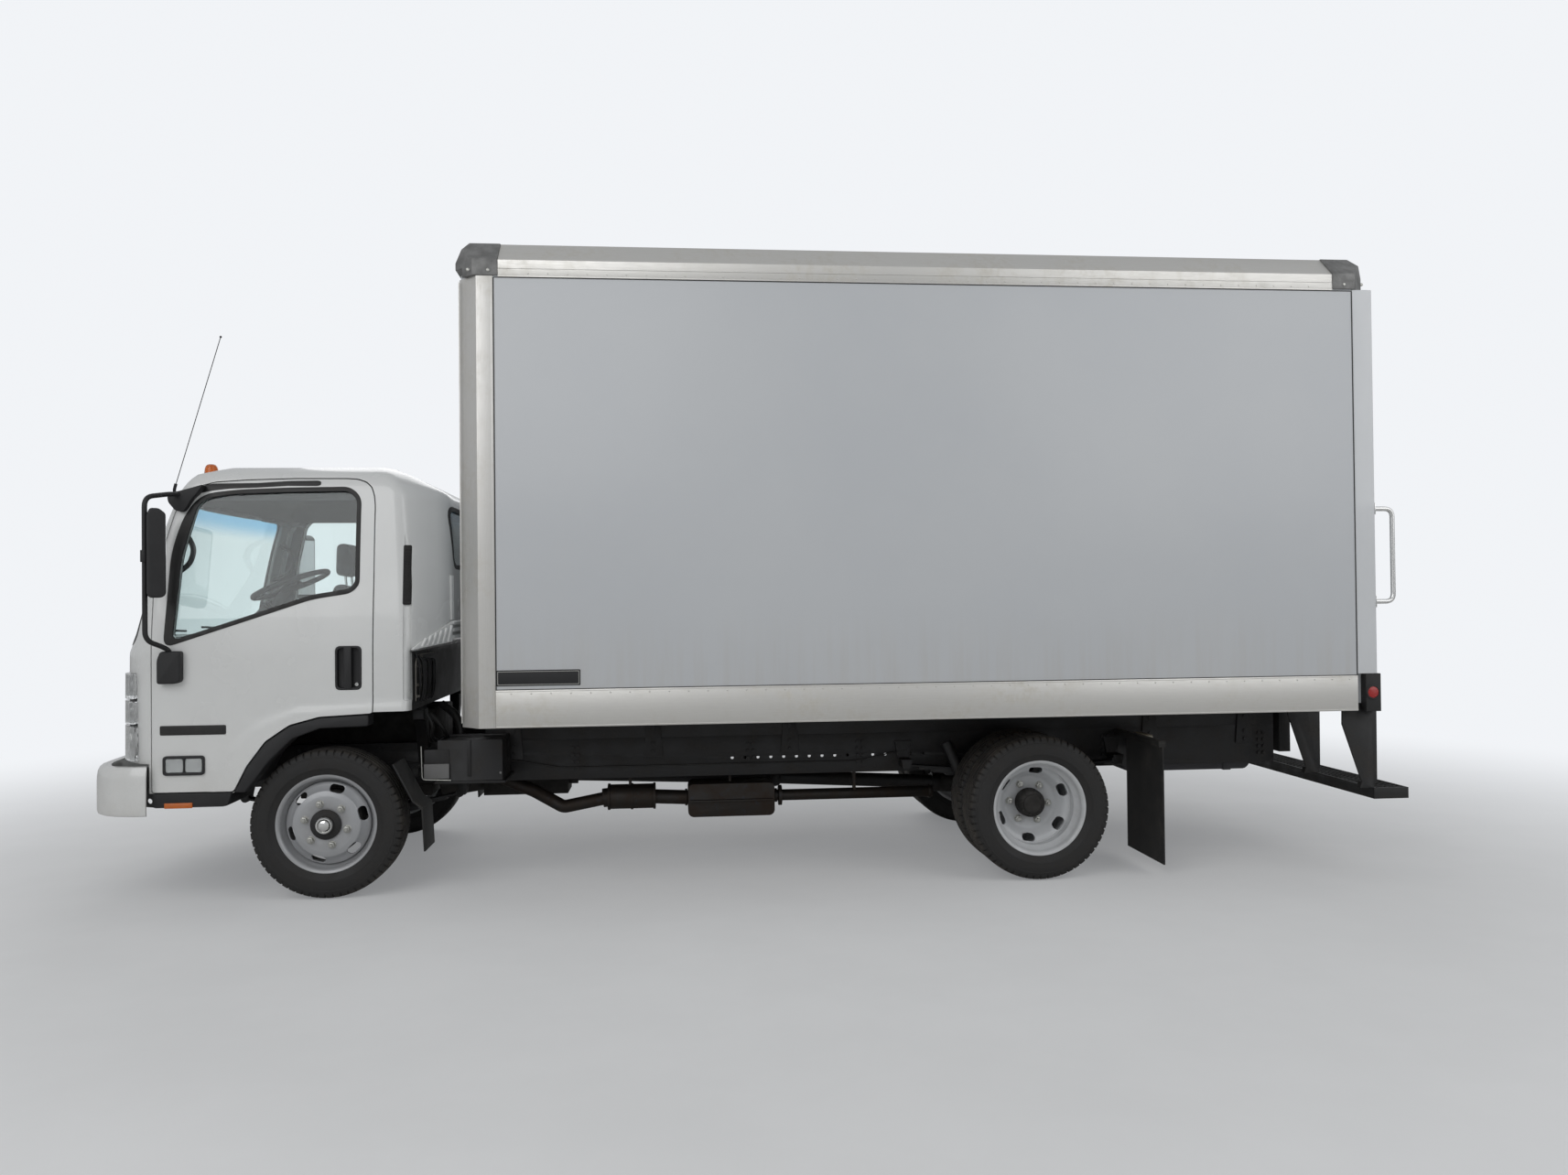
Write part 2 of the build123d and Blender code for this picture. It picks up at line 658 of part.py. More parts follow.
# Load space: floor, side walls, front wall and roof, each one insulated panel.
panel_rear = body_rear + rear_frame_length
inner_half = half_width - wall
side_panel_face = half_width - skin_step
floor_panel = block(body_front - side_gap - wall, panel_rear + side_gap, -inner_half + side_gap,
                    inner_half - side_gap, floor_top - floor_height, floor_top)
save("body_floor", floor_panel)
side_panel = block(body_front - post_length + 2, panel_rear + side_gap, inner_half, side_panel_face,
                   lower_rail_bottom + 20, top_rail_bottom + 40)
save("side_wall_left", side_panel)
save("side_wall_right", other_side(side_panel))
front_wall = block(body_front - wall, body_front, -inner_half + post_front_face - 20, inner_half - post_front_face + 20,
                   rear_frame_bottom - 60, top_rail_bottom + 40)
save("front_wall", front_wall)

# Top rails: a flat face, a broad bevel and a roof flange, with a drip step below.
rail_front_x = body_front - cap_front_length + 22
rail_rear_x = body_rear + cap_rear_length + 5
top_rail_section = [
    (half_width, top_rail_bottom),
    (half_width, top_rail_shoulder),
    (half_width - roof_edge_inset, roof_top - 4),
    (half_width - roof_edge_inset - 45, roof_top - 4),
    (half_width - roof_edge_inset - 45, roof_top - 10),
    (half_width - roof_edge_inset - 4, roof_top - 10),
    (half_width - 10, top_rail_shoulder - 4),
    (half_width - 10, top_rail_bottom + 45),
    (inner_half, top_rail_bottom + 45),
    (inner_half, top_rail_bottom + 40 + side_gap),
    (side_panel_face + side_gap, top_rail_bottom + 40 + side_gap),
    (side_panel_face + side_gap, top_rail_bottom),
]
top_rail = front_plate(top_rail_section, rail_rear_x, rail_front_x)
roof_half = half_width - roof_edge_inset
roof = front_plate([
    (-inner_half, top_rail_bottom + 46),
    (inner_half, top_rail_bottom + 46),
    (half_width - 12, top_rail_bottom + 47),
    (half_width - 12, top_rail_shoulder - 6),
    (roof_half - 8, roof_top - 14),
    (0, roof_top - 11),
    (-roof_half + 8, roof_top - 14),
    (-half_width + 12, top_rail_shoulder - 6),
    (-half_width + 12, top_rail_bottom + 47),
], rail_rear_x, rail_front_x)
roof -= block(rail_rear_x - 1, rail_front_x + 1, -inner_half + 40, inner_half - 40, top_rail_bottom + 40,
              roof_top - roof_wall)
save("roof_panel", roof)

# Lower side rails: a deep flat aluminium face with a return under the floor.
lower_section = [
    (half_width, lower_rail_bottom),
    (half_width, lower_rail_top),
    (side_panel_face + side_gap, lower_rail_top),
    (side_panel_face + side_gap, lower_rail_bottom + 20 - side_gap),
    (inner_half, lower_rail_bottom + 20 - side_gap),
    (inner_half, lower_rail_bottom + 8),
    (half_width - 30, lower_rail_bottom),
]
lower_rail = front_plate(lower_section, panel_rear + side_gap, body_front - post_length)
save("lower_rails", pair(lower_rail))

# Front corner posts: an extruded post with a chamfered nose.
post_plan = [
    (body_front, inner_half - post_front_face + 20 + side_gap),
    (body_front, half_width - post_front_face),
    (body_front - post_front_face, half_width),
    (body_front - post_length + side_gap, half_width),
    (body_front - post_length + side_gap, side_panel_face + side_gap),
    (body_front - post_length + 2 + side_gap, side_panel_face + side_gap),
    (body_front - post_length + 2 + side_gap, inner_half),
    (body_front - wall, inner_half),
    (body_front - wall, inner_half - post_front_face + 20 + side_gap),
]
post = plan_plate(post_plan, lower_rail_bottom, top_rail_bottom + 5)
save("corner_posts", pair(post))

# Cast corner caps, faceted like the rails that they join
cap_low = top_rail_bottom + 6
cap_faces = [
    (half_width + cap_proud, cap_low),
    (half_width + cap_proud, top_rail_shoulder + 4),
    (half_width - roof_edge_inset + 4, roof_top),
    (half_width - 260, roof_top),
    (half_width - 260, cap_low),
]


def corner_cap(x_end, x_inner, direction):
    low, high = sorted((x_end, x_inner))
    cap = front_plate(cap_faces, low, high)
    bevel = [
        (x_end + direction, half_width - post_front_face - cap_proud),
        (x_end + direction, half_width + cap_proud + 1),
        (x_end - direction * (post_front_face + cap_proud), half_width + cap_proud + 1),
    ]
    cap -= plan_plate(bevel, cap_low - 1, roof_top + 1)
    slope = [
        (x_end + direction, top_rail_shoulder + 4),
        (x_end + direction, roof_top + 1),
        (x_end - direction * 70, roof_top + 1),
    ]
    cap -= side_plate(slope, half_width - 262, half_width + 10)
    return cap


front_cap = corner_cap(body_front + 22, rail_front_x + side_gap, 1)
front_cap -= block(body_front - post_length - 200, body_front + 30, 0, inner_half, 0, roof_top - 150)
rear_cap = corner_cap(body_rear - 4, rail_rear_x - side_gap, -1)
panel_room = block(body_front - post_length + 2 + side_gap, panel_rear, inner_half - 1,
                   side_panel_face + side_gap, 0, top_rail_bottom + 40 + side_gap)
front_cap -= panel_room
rear_cap -= panel_room
save("corner_caps", group(pair(front_cap), pair(rear_cap)))

# Front and rear top headers between the caps
header_half = half_width - 260 - side_gap
front_header = side_plate([
    (body_front + 12, cap_low),
    (body_front + 12, top_rail_shoulder),
    (body_front - 46, roof_top - 4),
    (rail_front_x + side_gap, roof_top - 4),
    (rail_front_x + side_gap, roof_top - roof_wall),
    (body_front - wall, roof_top - roof_wall - 60),
    (body_front - wall, top_rail_bottom + 46),
    (body_front + side_gap, top_rail_bottom + 46),
    (body_front + side_gap, cap_low),
], -header_half, header_half)

# Rear door frame: two posts, a header and a sill, closed by a sectional roll-up door.
frame_inner_half = half_width - rear_frame_width
rear_sill_half = half_width - 54
rear_sill_bottom = cross_top - 60
frame_top = cap_low - side_gap
rear_frame = front_plate([(-half_width, rear_frame_bottom), (half_width, rear_frame_bottom),
                          (half_width, frame_top), (-half_width, frame_top)],
                         body_rear, panel_rear)
rear_frame += block(body_rear, panel_rear, -rear_sill_half, rear_sill_half, rear_sill_bottom, rear_frame_bottom + 1)
rear_frame -= block(body_rear - 1, panel_rear + 1, -frame_inner_half, frame_inner_half, floor_top,
                    frame_top - rear_header_height)
save("rear_door_frame", rear_frame)
header_rear = side_plate([
    (body_rear, cap_low),
    (body_rear, top_rail_shoulder),
    (body_rear + 60, roof_top - 4),
    (rail_rear_x - side_gap, roof_top - 4),
    (rail_rear_x - side_gap, roof_top - roof_wall),
    (body_rear + 60, roof_top - roof_wall),
    (body_rear + 60, cap_low),
], -header_half, header_half)
save("top_rails", group(pair(top_rail), front_header, header_rear))
door_low = floor_top + side_gap
door_high = frame_top - rear_header_height - side_gap
section_height = (door_high - door_low) / door_section_count
curtain = block(body_rear + 34, body_rear + 34 + door_curtain_wall, -frame_inner_half + side_gap,
                frame_inner_half - side_gap, door_low, door_high)
for index in range(1, door_section_count):
    groove_z = door_low + index * section_height
    curtain -= block(body_rear + 33, body_rear + 42, -half_width, half_width, groove_z - 4, groove_z + 4)
save("roll_up_door", curtain)

# Grab handles on the rear posts
handle_y = half_width - 20
handle_radius = 13.5
handle_points = [(body_rear, handle_y, 1504), (body_rear - 112, handle_y, 1504),
                 (body_rear - 112, handle_y, 2014), (body_rear, handle_y, 2014)]
handle = bent_tube([(body_rear - side_gap, y, z) if x == body_rear else (x, y, z) for x, y, z in handle_points],
                   handle_radius, 35)
for pad_z in (1504, 2014):
    handle += block(body_rear - side_gap - 6, body_rear - side_gap, handle_y - 20, handle_y + 20,
                    pad_z - 32, pad_z + 32)
save("grab_handles", pair(handle))

# Rear posts under the frame with round marker lamps
tail_post = block(body_rear - 21, body_rear + 64, rear_sill_half + side_gap, half_width - 4, 903,
                  rear_frame_bottom - side_gap)
marker = rod((-5635, half_width - 4 + side_gap, 1008), (-5635, half_width + 12, 1008), 33)
lamps = [marker]
for lamp_y in (700.0, 860.0):
    lamps.append(rod((body_rear - side_gap, lamp_y, 1040), (body_rear - 18, lamp_y, 1040), 55))
save("tail_lamps", group(*[pair(lamp) for lamp in lamps]))

# Rear step: an open grating tread in a channel frame, on four tapered bracket plates
step_front = -5660.0
step_back = -rear_reach
step_low = 416.0
step_high = 476.0
step_half = 1175.0
step_top = rear_sill_bottom - side_gap
bracket_outline = [(-5494, step_top), (-5492, 829), (-5602, 508), (-5691, 497), (-5693, 903), (-5662, step_top)]
tread = block(step_back, step_front, -step_half, step_half, step_low, step_high)
tread -= block(step_back + 8, step_front - 8, -step_half + 8, step_half - 8, step_low - 1, step_high - 12)
step = tread
bracket_places = (590.0, 1150.0)
for place in bracket_places:
    plate = side_plate(bracket_outline, place - 5, place + 5)
    plate += side_plate([(-5602, 510), (-5691, 499), (-5691, step_high - 2), (-5590, step_high - 2)],
                        place - 30, place + 5)
    step += plate + other_side(plate)
top_beam = block(-5600, -5500, -1155, 1155, step_top - 13, step_top)
step += top_beam
step += block(-5600, -5530, -rail_outer_y + 2, rail_outer_y - 2, rail_bottom + 60, step_top - 12) - block(
    -5592, -5538, -rail_outer_y + 12, rail_outer_y - 12, rail_bottom + 59, step_top - 11)
save("rear_step", group(step, pair(tail_post)))

# Blank number plate holder under the rear sill
plate_hole_spacing = 177.8
plate_holder = block(-5700, -5693, -165, 165, 600, 780)
for side in (-1, 1):
    hole_y = side * plate_hole_spacing / 2
    plate_holder -= rod((-5720, hole_y, 755), (-5680, hole_y, 755), 3.5)
plate_holder += block(-5694, -5600 - side_gap, -165, -155, 640, 760)
plate_holder += block(-5694, -5600 - side_gap, 155, 165, 640, 760)
save("plate_holder", plate_holder)

# Cab sections from the sill to the crown of the roof. Each one is a plan outline.
cab_sections = (
    # z, front x, front corner x and y, side front x and y, side rear x and y, back corner x and y
    (583, 1112, 1045, 830, 880, 985, -430, 1000, -450, 930),
    (1295, 1112, 1040, 828, 885, 982, -437, 996, -452, 926),
    (1345, 1096, 1024, 824, 886, 980, -437, 994, -610, 760),
    (1620, 1008, 940, 806, 878, 952, -425, 970, -615, 760),
    (2120, 850, 790, 760, 762, 893, -385, 914, -600, 720),
    (2240, 770, 715, 730, 690, 836, -320, 858, -420, 700),
    (2293, 640, 590, 610, 560, 700, -250, 720, -300, 610),
)


def cab_solid(inset):
    """The cab's closed form, with every face moved inwards by the inset."""
    outlines = []
    for z, nose, corner_x, corner_y, front_x, front_y, rear_x, rear_y, back_x, back_y in cab_sections:
        level = z - inset * 0.75 if z == cab_sections[-1][0] else z
        corner_x -= inset * 0.9
        corner_y -= inset * 0.7
        front_x -= inset * 0.5
        front_y -= inset
        rear_x += inset * 0.5
        rear_y -= inset
        back_x += inset
        back_y -= inset * 0.6
        edges = [
            ThreePointArc((corner_x, corner_y), (nose - inset, 0), (corner_x, -corner_y)),
            Line((corner_x, -corner_y), (front_x, -front_y)),
            Line((front_x, -front_y), (rear_x, -rear_y)),
            Line((rear_x, -rear_y), (back_x, -back_y)),
            Line((back_x, -back_y), (back_x, back_y)),
            Line((back_x, back_y), (rear_x, rear_y)),
            Line((rear_x, rear_y), (front_x, front_y)),
            Line((front_x, front_y), (corner_x, corner_y)),
        ]
        outlines.append(Plane.XY.offset(level) * make_face(edges))
    return loft(outlines, ruled=True)


cab_outer = cab_solid(0)
cab_inner = cab_solid(cab_wall)
cab_under_skin = cab_solid(cab_skin)
arch_edge = [(440, 583), (376, 713), (285, 836), (163, 919), (11, 959), (-218, 970)]
deck_edge = [(478, 640), (412, 738), (308, 882), (180, 965), (0, deck_top), (-560, deck_top)]
under_outline = [(1300, 0), (1300, cab_bottom_front), (868, cab_bottom_front), (868, cab_sill_bottom - 1),
                 (440, cab_sill_bottom - 1)] + arch_edge[1:] + [(-264, 984), (-800, 990), (-800, 0)]
cabin_outline = [(1052, 2400), (1052, 800), (838, 800), (838, 640)] + deck_edge + [(-560, 2400)]
tunnel = block(-700, 1048, -cab_tunnel_half_width, cab_tunnel_half_width, 0, cab_tunnel_top)
tunnel_cover = block(-700, 1060, -cab_tunnel_half_width - cab_floor_wall, cab_tunnel_half_width + cab_floor_wall,
                     0, cab_tunnel_top + cab_floor_wall)
cabin = (cab_inner & side_plate(cabin_outline, -1100, 1100)) - tunnel_cover
cab = cab_outer - side_plate(under_outline, -1100, 1100) - tunnel - cabin

# Door outline in side view, and the window inside it
door_front = 851.0
door_outline = [
    (door_front, 589), (door_front, 1595), (824, 1783), (758, 2036), (690, 2140), (573, 2176),
    (161, 2206), (-182, 2202), (-236, 2130), (-256, 2000), (-256, 978), (-218, 976), (11, 965),
    (163, 925), (285, 842), (378, 717), (442, 589),
]
window_outline = [
    (752, 1366), (722, 1800), (640, 2070), (600, 2106), (489, 2128), (-120, 2146), (-166, 2100),
    (-166, 1660), (-132, 1626), (56, 1597), (285, 1520),
]
door_face = make_face(Polyline(*door_outline, close=True))
opening_face = offset(door_face, panel_gap, kind=Kind.INTERSECTION)
inner_door_face = offset(door_face, -26, kind=Kind.INTERSECTION)
window_face = make_face(Polyline(*window_outline, close=True))


def through_side(face, y_low=600, y_high=1100):
    return extrude(Plane.XZ.offset(-y_high) * face, y_high - y_low)


door_opening = through_side(opening_face) - cab_solid(cab_wall + 4)
cab = cab - door_opening - other_side(door_opening)

# Windscreen and rear window openings
screen_outline = [(-838, 1362), (838, 1362), (742, 2098), (-742, 2098)]
screen_cut = front_plate(screen_outline, 640, 1200, 60)
cab -= screen_cut
rear_window_outline = [(-640, 1660), (640, 1660), (600, 2060), (-600, 2060)]
rear_window_cut = front_plate(rear_window_outline, -700, -480, 60)
cab -= rear_window_cut
vent_outline = [(-392, 1541), (-392, 1858), (-420, 1858), (-420, 1541)]
cab -= side_plate(vent_outline, 950, 1100) + side_plate(vent_outline, -1100, -950)
pin_bore = rod((tilt_pivot_x, cab_tunnel_half_width - 10, tilt_pivot_z),
               (tilt_pivot_x, cab_tunnel_half_width + 32, tilt_pivot_z), tilt_pin_radius + side_gap)
cab -= pin_bore + other_side(pin_bore)

# Door hinges: stubs on the doors, held between tabs on the front pillars
hinge_x = door_front + panel_gap / 2
hinge_y = 981.0
hinge_radius = 3.5
hinge_heights = (770.0, 1240.0)
hinge_length = 60.0
stubs = []
for low in hinge_heights:
    for tab_low in (low - 12 - side_gap, low + hinge_length + side_gap):
        tab = block(hinge_x - 2, hinge_x + 6, hinge_y - 6, hinge_y + 2.5, tab_low, tab_low + 12)
        cab += tab
        cab += other_side(tab)
    stub = rod((hinge_x, hinge_y, low), (hinge_x, hinge_y, low + hinge_length), hinge_radius)
    stubs.append(stub + block(hinge_x - 6, hinge_x, hinge_y - 3, hinge_y + 3, low, low + hinge_length))

# Lamp and grille pockets in the front panel
lamp_outline = [(935, 742), (1200, 742), (1200, 1200), (950, 1200)]
lamp_depth = 24.0
lamp_region = side_plate(lamp_outline, 640, 1000)
grille_outline = [(-600, 850), (600, 850), (600, 1075), (-600, 1075)]
grille_region = front_plate(grille_outline, 1000, 1200, 20)
lamp_floor = cab_solid(lamp_depth)
cab -= (lamp_region - lamp_floor) + (other_side(lamp_region) - lamp_floor)
cab -= grille_region - lamp_floor
floor_seam = deck_top - 2
header_seam = 2130.0
roof_seam = 2184.0
cab_floor = cab & block(-800, 1300, -1200, 1200, 500, floor_seam)
cab_roof = cab & block(-800, 1300, -1200, 1200, roof_seam, 2400)
cab_header = cab & block(-800, 1300, -1200, 1200, header_seam, roof_seam - side_gap)
cab_middle = cab & block(-800, 1300, -1200, 1200, floor_seam + side_gap, header_seam - side_gap)
save("cab_floor", cab_floor)
save("cab_header", cab_header)
save("cab_roof", cab_roof)
save("cab_shell", cab_middle)

# Head lamp stacks that wrap round the cab's front corners, and the slatted grille between them
lamp_shell = cab_solid(-4) - cab_solid(lamp_depth - side_gap)
lamp_block = side_plate([(935.3, 742.3), (1200, 742.3), (1200, 1199.7), (950.3, 1199.7)], 640.3, 1000)
head_lamp = lamp_shell & lamp_block
for groove_z in (930.0, 1060.0):
    head_lamp -= block(900, 1200, 600, 1100, groove_z - 3, groove_z + 3) - cab_solid(6)
save("head_lamps", pair(head_lamp))
grille = lamp_shell & front_plate([(-599.7, 850.3), (599.7, 850.3), (599.7, 1074.7), (-599.7, 1074.7)],
                                  1000, 1200, 20)
slat_count = 4
slat_pitch = 50.0
for index in range(slat_count):
    slot_low = 872 + index * slat_pitch
    grille -= block(1000, 1200, -565, 565, slot_low, slot_low + 28) - cab_solid(14)
save("front_grille", grille)

glass_shell = cab_solid(glass_depth) - cab_solid(glass_depth + glass_wall)
screen_glass = glass_shell & front_plate([(-838 + 1, 1362.5), (838 - 1, 1362.5), (741.2, 2097.5), (-741.2, 2097.5)],
                                         640, 1200, 60)
rear_glass = glass_shell & front_plate([(-639.4, 1660.5), (639.4, 1660.5), (599.5, 2059.5), (-599.5, 2059.5)],
                                       -700, -480, 60)
save("cab_glass", group(screen_glass, rear_glass))

# Doors: an outer skin over a narrower inner body, hollow of glass above the belt.
door = (cab_outer - cab_under_skin) & through_side(door_face)
door += (cab_under_skin - cab_inner) & through_side(inner_door_face)
window_cut = through_side(window_face)
door -= window_cut
door -= side_plate([(-71, 1103), (-71, 1327), (-200, 1327), (-200, 1103)], 985, 1100, 24)
for stub in stubs:
    door += stub
save("door_left", door)
save("door_right", other_side(door))
pane = glass_shell & through_side(offset(window_face, -side_gap, kind=Kind.INTERSECTION))
save("door_glass_left", pane)
save("door_glass_right", other_side(pane))

# Cab mounts on the frame: hinge plates with the tilt pins in front, padded posts behind.
hinge_plate = side_plate([(rail_front - 110, 600), (rail_front - 6, 600), (tilt_pivot_x, tilt_pivot_z - 38),
                          (tilt_pivot_x + 30, tilt_pivot_z - 17), (tilt_pivot_x + 36, tilt_pivot_z + 8),
                          (tilt_pivot_x + 20, tilt_pivot_z + 32), (tilt_pivot_x - 14, tilt_pivot_z + 36),
                          (rail_front - 50, rail_top - 16), (rail_front - 110, rail_top - 40)],
                         rail_outer_y + side_gap, rail_outer_y + 14)
hinge_plate += rod((tilt_pivot_x, rail_outer_y + 2, tilt_pivot_z),
                   (tilt_pivot_x, cab_tunnel_half_width + 28, tilt_pivot_z), tilt_pin_radius)
mount_x = -400.0
mount_top = 984 + (-264 - mount_x) * 6 / 536 - 1.2
rear_mount = front_plate([(rail_outer_y + side_gap, 640), (rail_outer_y + 14, 640), (540, 880), (590, 900),
                          (590, mount_top - 30), (470, mount_top - 30), (470, 900), (rail_outer_y + side_gap, 740)],
                         mount_x - 30, mount_x + 30)
rear_mount += Pos(mount_x, 530, mount_top - 15.5) * Cylinder(34, 31)

# Roof clearance lamps, seated on the curve of the roof
lamp_seat = cab_solid(-side_gap)
dome_radius = 45.0
dome_drop = 26.0
roof_lamp_places = ((668.0, 620.0), (655.0, 250.0), (650.0, 0.0))
roof_lamps = []
for lamp_x, lamp_y in roof_lamp_places:
    foot = Pos(lamp_x, lamp_y, 2260) * Cylinder(38, 80) - lamp_seat
    dome = Pos(lamp_x, lamp_y, 2300 - dome_drop) * Sphere(dome_radius)
    dome -= block(lamp_x - 99, lamp_x + 99, lamp_y - 99, lamp_y + 99, 2000, 2300)
    lamp = foot + dome
    roof_lamps.append(lamp)
    if lamp_y > 0:
        roof_lamps.append(other_side(lamp))
save("roof_lamps", group(*roof_lamps))

# Antenna on the left front pillar
antenna_foot = (742.0, 884.0, 2142.0)
antenna_tip = (516.0, 905.0, 2963.0)
antenna = rod(antenna_foot, antenna_tip, 3)
antenna += rod(antenna_foot, (731, 886, 2190), 9)
antenna -= lamp_seat
save("antenna", antenna)

# Black sills with a step under the doors, and the arch flares behind them
step_sill = side_plate([(848, 582.7), (455, 582.7), (472, 509), (848, 509)], 600, 984)
step_sill -= block(520, 800, 760, 990, 540, 583)
flare_outline = [(x - 0.4, z - 0.5) for x, z in arch_edge] + [
    (-218, 911), (11, 905), (149, 856), (270, 741), (350, 634), (388, 583)]
flare = side_plate(flare_outline, 880, 988)
save("cab_lower_trim", group(pair(step_sill), pair(flare)))

# Mirrors: a head on a bent tube between an upper bracket and a base on the door
mirror_tube_radius = 12.5
mirror_tube_x = 815.0
mirror_y = 1130.0
mirror_turn = 25.0
mirror_points = [(728, 930, 2066), (752, 985, 2088), (mirror_tube_x, mirror_y, 2086),
                 (mirror_tube_x, mirror_y, 1376), (770, 1040, 1340), (750, 1004, 1318)]
mirror_arm = bent_tube(mirror_points, mirror_tube_radius, 24)
head_front = -mirror_tube_radius + 4
head_back = head_front - 82
mirror_head = side_plate([(head_back, 1606), (head_back, 2010), (head_back + 31, 2036), (head_front - 12, 2036),
                          (head_front, 2010), (head_front, 1606), (head_front - 16, 1590), (head_back + 16, 1590)],
                         -80, 110)
mirror_head = fillet(mirror_head.edges().filter_by(Axis.Y, reverse=True), 8)
mirror_head = Pos(mirror_tube_x, mirror_y, 0) * Rot(0, 0, mirror_turn) * mirror_head
mirror_base = side_plate([(691, 1160), (691, 1315), (790, 1315), (807, 1270), (807, 1148), (720, 1148)], 960, 1012)
mirror_bracket = side_plate([(700, 2030), (745, 2030), (762, 2070), (740, 2110), (700, 2090)], 880, 945)
mirror_left = mirror_arm + mirror_head + mirror_base + mirror_bracket - lamp_seat
save("mirror_left", mirror_left)
save("mirror_right", other_side(mirror_left))

# Cab inside: dashboard, steering wheel on its column, driver's seat and bench
dashboard = side_plate([(1045, 1010), (830, 1010), (715, 1170), (672, 1280), (720, 1345), (1000, 1340), (1045, 1300)],
                       -880, 880) & cab_solid(cab_wall + 1)
wheel_middle = (330.0, 500.0, 1600.0)
wheel_tilt = 28.0
wheel_frame = Pos(*wheel_middle) * Rot(0, wheel_tilt, 0)
steering = Torus(205, 15) + Pos(0, 0, -12) * Cylinder(52, 40)
for angle in (0, 120, 240):
    spoke = Rot(0, 0, angle) * Pos(110, 0, -8) * Box(190, 30, 14)
    steering += spoke
steering = wheel_frame * steering
column = rod((330, 500, 1590), (860, 500, 1090), 24) - dashboard
column_solid = column.solids().sort_by(Axis.Z)[-1]
save("dashboard", group(dashboard, steering + column_solid))


def seat(y_low, y_high, head_middles):
    """A seat on the cab deck: plinth, cushion, reclined back and head rests."""
    shape = block(-90, 360, y_low + 40, y_high - 40, deck_top + side_gap, 1190)
    shape += side_plate([(-110, 1180), (410, 1190), (430, 1310), (-90, 1300)], y_low, y_high, 30)
    shape += side_plate([(-70, 1290), (50, 1290), (20, 1670), (-60, 1680), (-120, 1500)], y_low, y_high, 30)
    for middle in head_middles:
        shape += side_plate([(-50, 1700), (40, 1700), (34, 1890), (-40, 1890)], middle - 130, middle + 130, 25)
        for post_y in (middle - 60, middle + 60):
            shape += rod((-8, post_y, 1640), (-8, post_y, 1710), 7)
    return shape


save("seats", group(seat(270, 750, (510,)), seat(-780, 200, (-540, -60))))

# Front tow eyes under the bumper stays
eye_plate = side_plate([(1060, 566), (1140, 566), (1150, 452), (1135, 422), (1095, 418), (1065, 452)], -12, 12)
eye_bore_radius = 16.0
eye_middle_x = 1112.0
eye_middle_z = 452.0
eye_plate -= rod((eye_middle_x, -30, eye_middle_z), (eye_middle_x, 30, eye_middle_z), eye_bore_radius)
tow_eye = Pos(0, 400, 0) * eye_plate - block(1000, 1300, 370, 430, 559.7, 600)
save("cab_mounts", group(pair(hinge_plate), pair(rear_mount), pair(tow_eye)))
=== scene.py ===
"""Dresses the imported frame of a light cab-over truck with an insulated box body.

The frame's axes are X forward, Y to the truck's left, Z up, in metres. Places are written in millimetres
from the front axle, the middle plane and the ground, and spot turns them into the frame's metres. Radii of
tubes and widths of rounded edges are in metres.
"""

import json
import logging
import math
from dataclasses import dataclass
from enum import Enum
from typing import Iterable, Optional, Sequence

import bpy
from mathutils import Matrix, Vector

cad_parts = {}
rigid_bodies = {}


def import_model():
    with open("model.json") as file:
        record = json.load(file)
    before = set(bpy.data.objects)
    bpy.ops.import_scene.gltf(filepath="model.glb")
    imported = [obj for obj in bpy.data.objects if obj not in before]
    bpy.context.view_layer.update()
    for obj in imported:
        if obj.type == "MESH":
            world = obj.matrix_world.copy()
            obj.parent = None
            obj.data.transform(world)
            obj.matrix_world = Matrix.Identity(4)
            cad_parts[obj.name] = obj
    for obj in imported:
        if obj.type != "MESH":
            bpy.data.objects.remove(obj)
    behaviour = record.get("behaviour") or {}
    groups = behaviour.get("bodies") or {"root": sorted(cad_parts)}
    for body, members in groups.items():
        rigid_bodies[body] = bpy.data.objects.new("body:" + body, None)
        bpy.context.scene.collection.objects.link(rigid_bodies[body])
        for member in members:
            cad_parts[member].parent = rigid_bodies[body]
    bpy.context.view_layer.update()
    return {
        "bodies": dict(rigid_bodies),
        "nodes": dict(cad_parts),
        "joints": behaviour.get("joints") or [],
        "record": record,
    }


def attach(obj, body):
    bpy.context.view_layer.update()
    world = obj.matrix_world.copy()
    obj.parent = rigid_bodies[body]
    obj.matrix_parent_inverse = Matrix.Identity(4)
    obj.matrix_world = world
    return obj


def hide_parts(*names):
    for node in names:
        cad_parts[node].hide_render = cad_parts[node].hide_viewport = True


LOG = logging.getLogger("truck")
AXLE_X = 2.3125
Point2 = tuple[float, float]
Point3 = tuple[float, float, float]
Piece = bpy.types.Object
Socket = bpy.types.NodeSocket
FRONT_WHEEL: Point3 = (0.0, 832.0, 393.0)
REAR_WHEEL: Point3 = (-3810.0, 952.0, 393.0)
TWIN_GAP = 254.0


class Axis(Enum):
    """The axis that a prism is drawn along or a lathe turns about."""

    X = 0
    Y = 1
    Z = 2


def spot(x: float, y: float, z: float) -> Vector:
    """The frame's place of a point given in millimetres ahead of the front axle, to the left and up."""
    return Vector((AXLE_X + x / 1000, y / 1000, z / 1000))


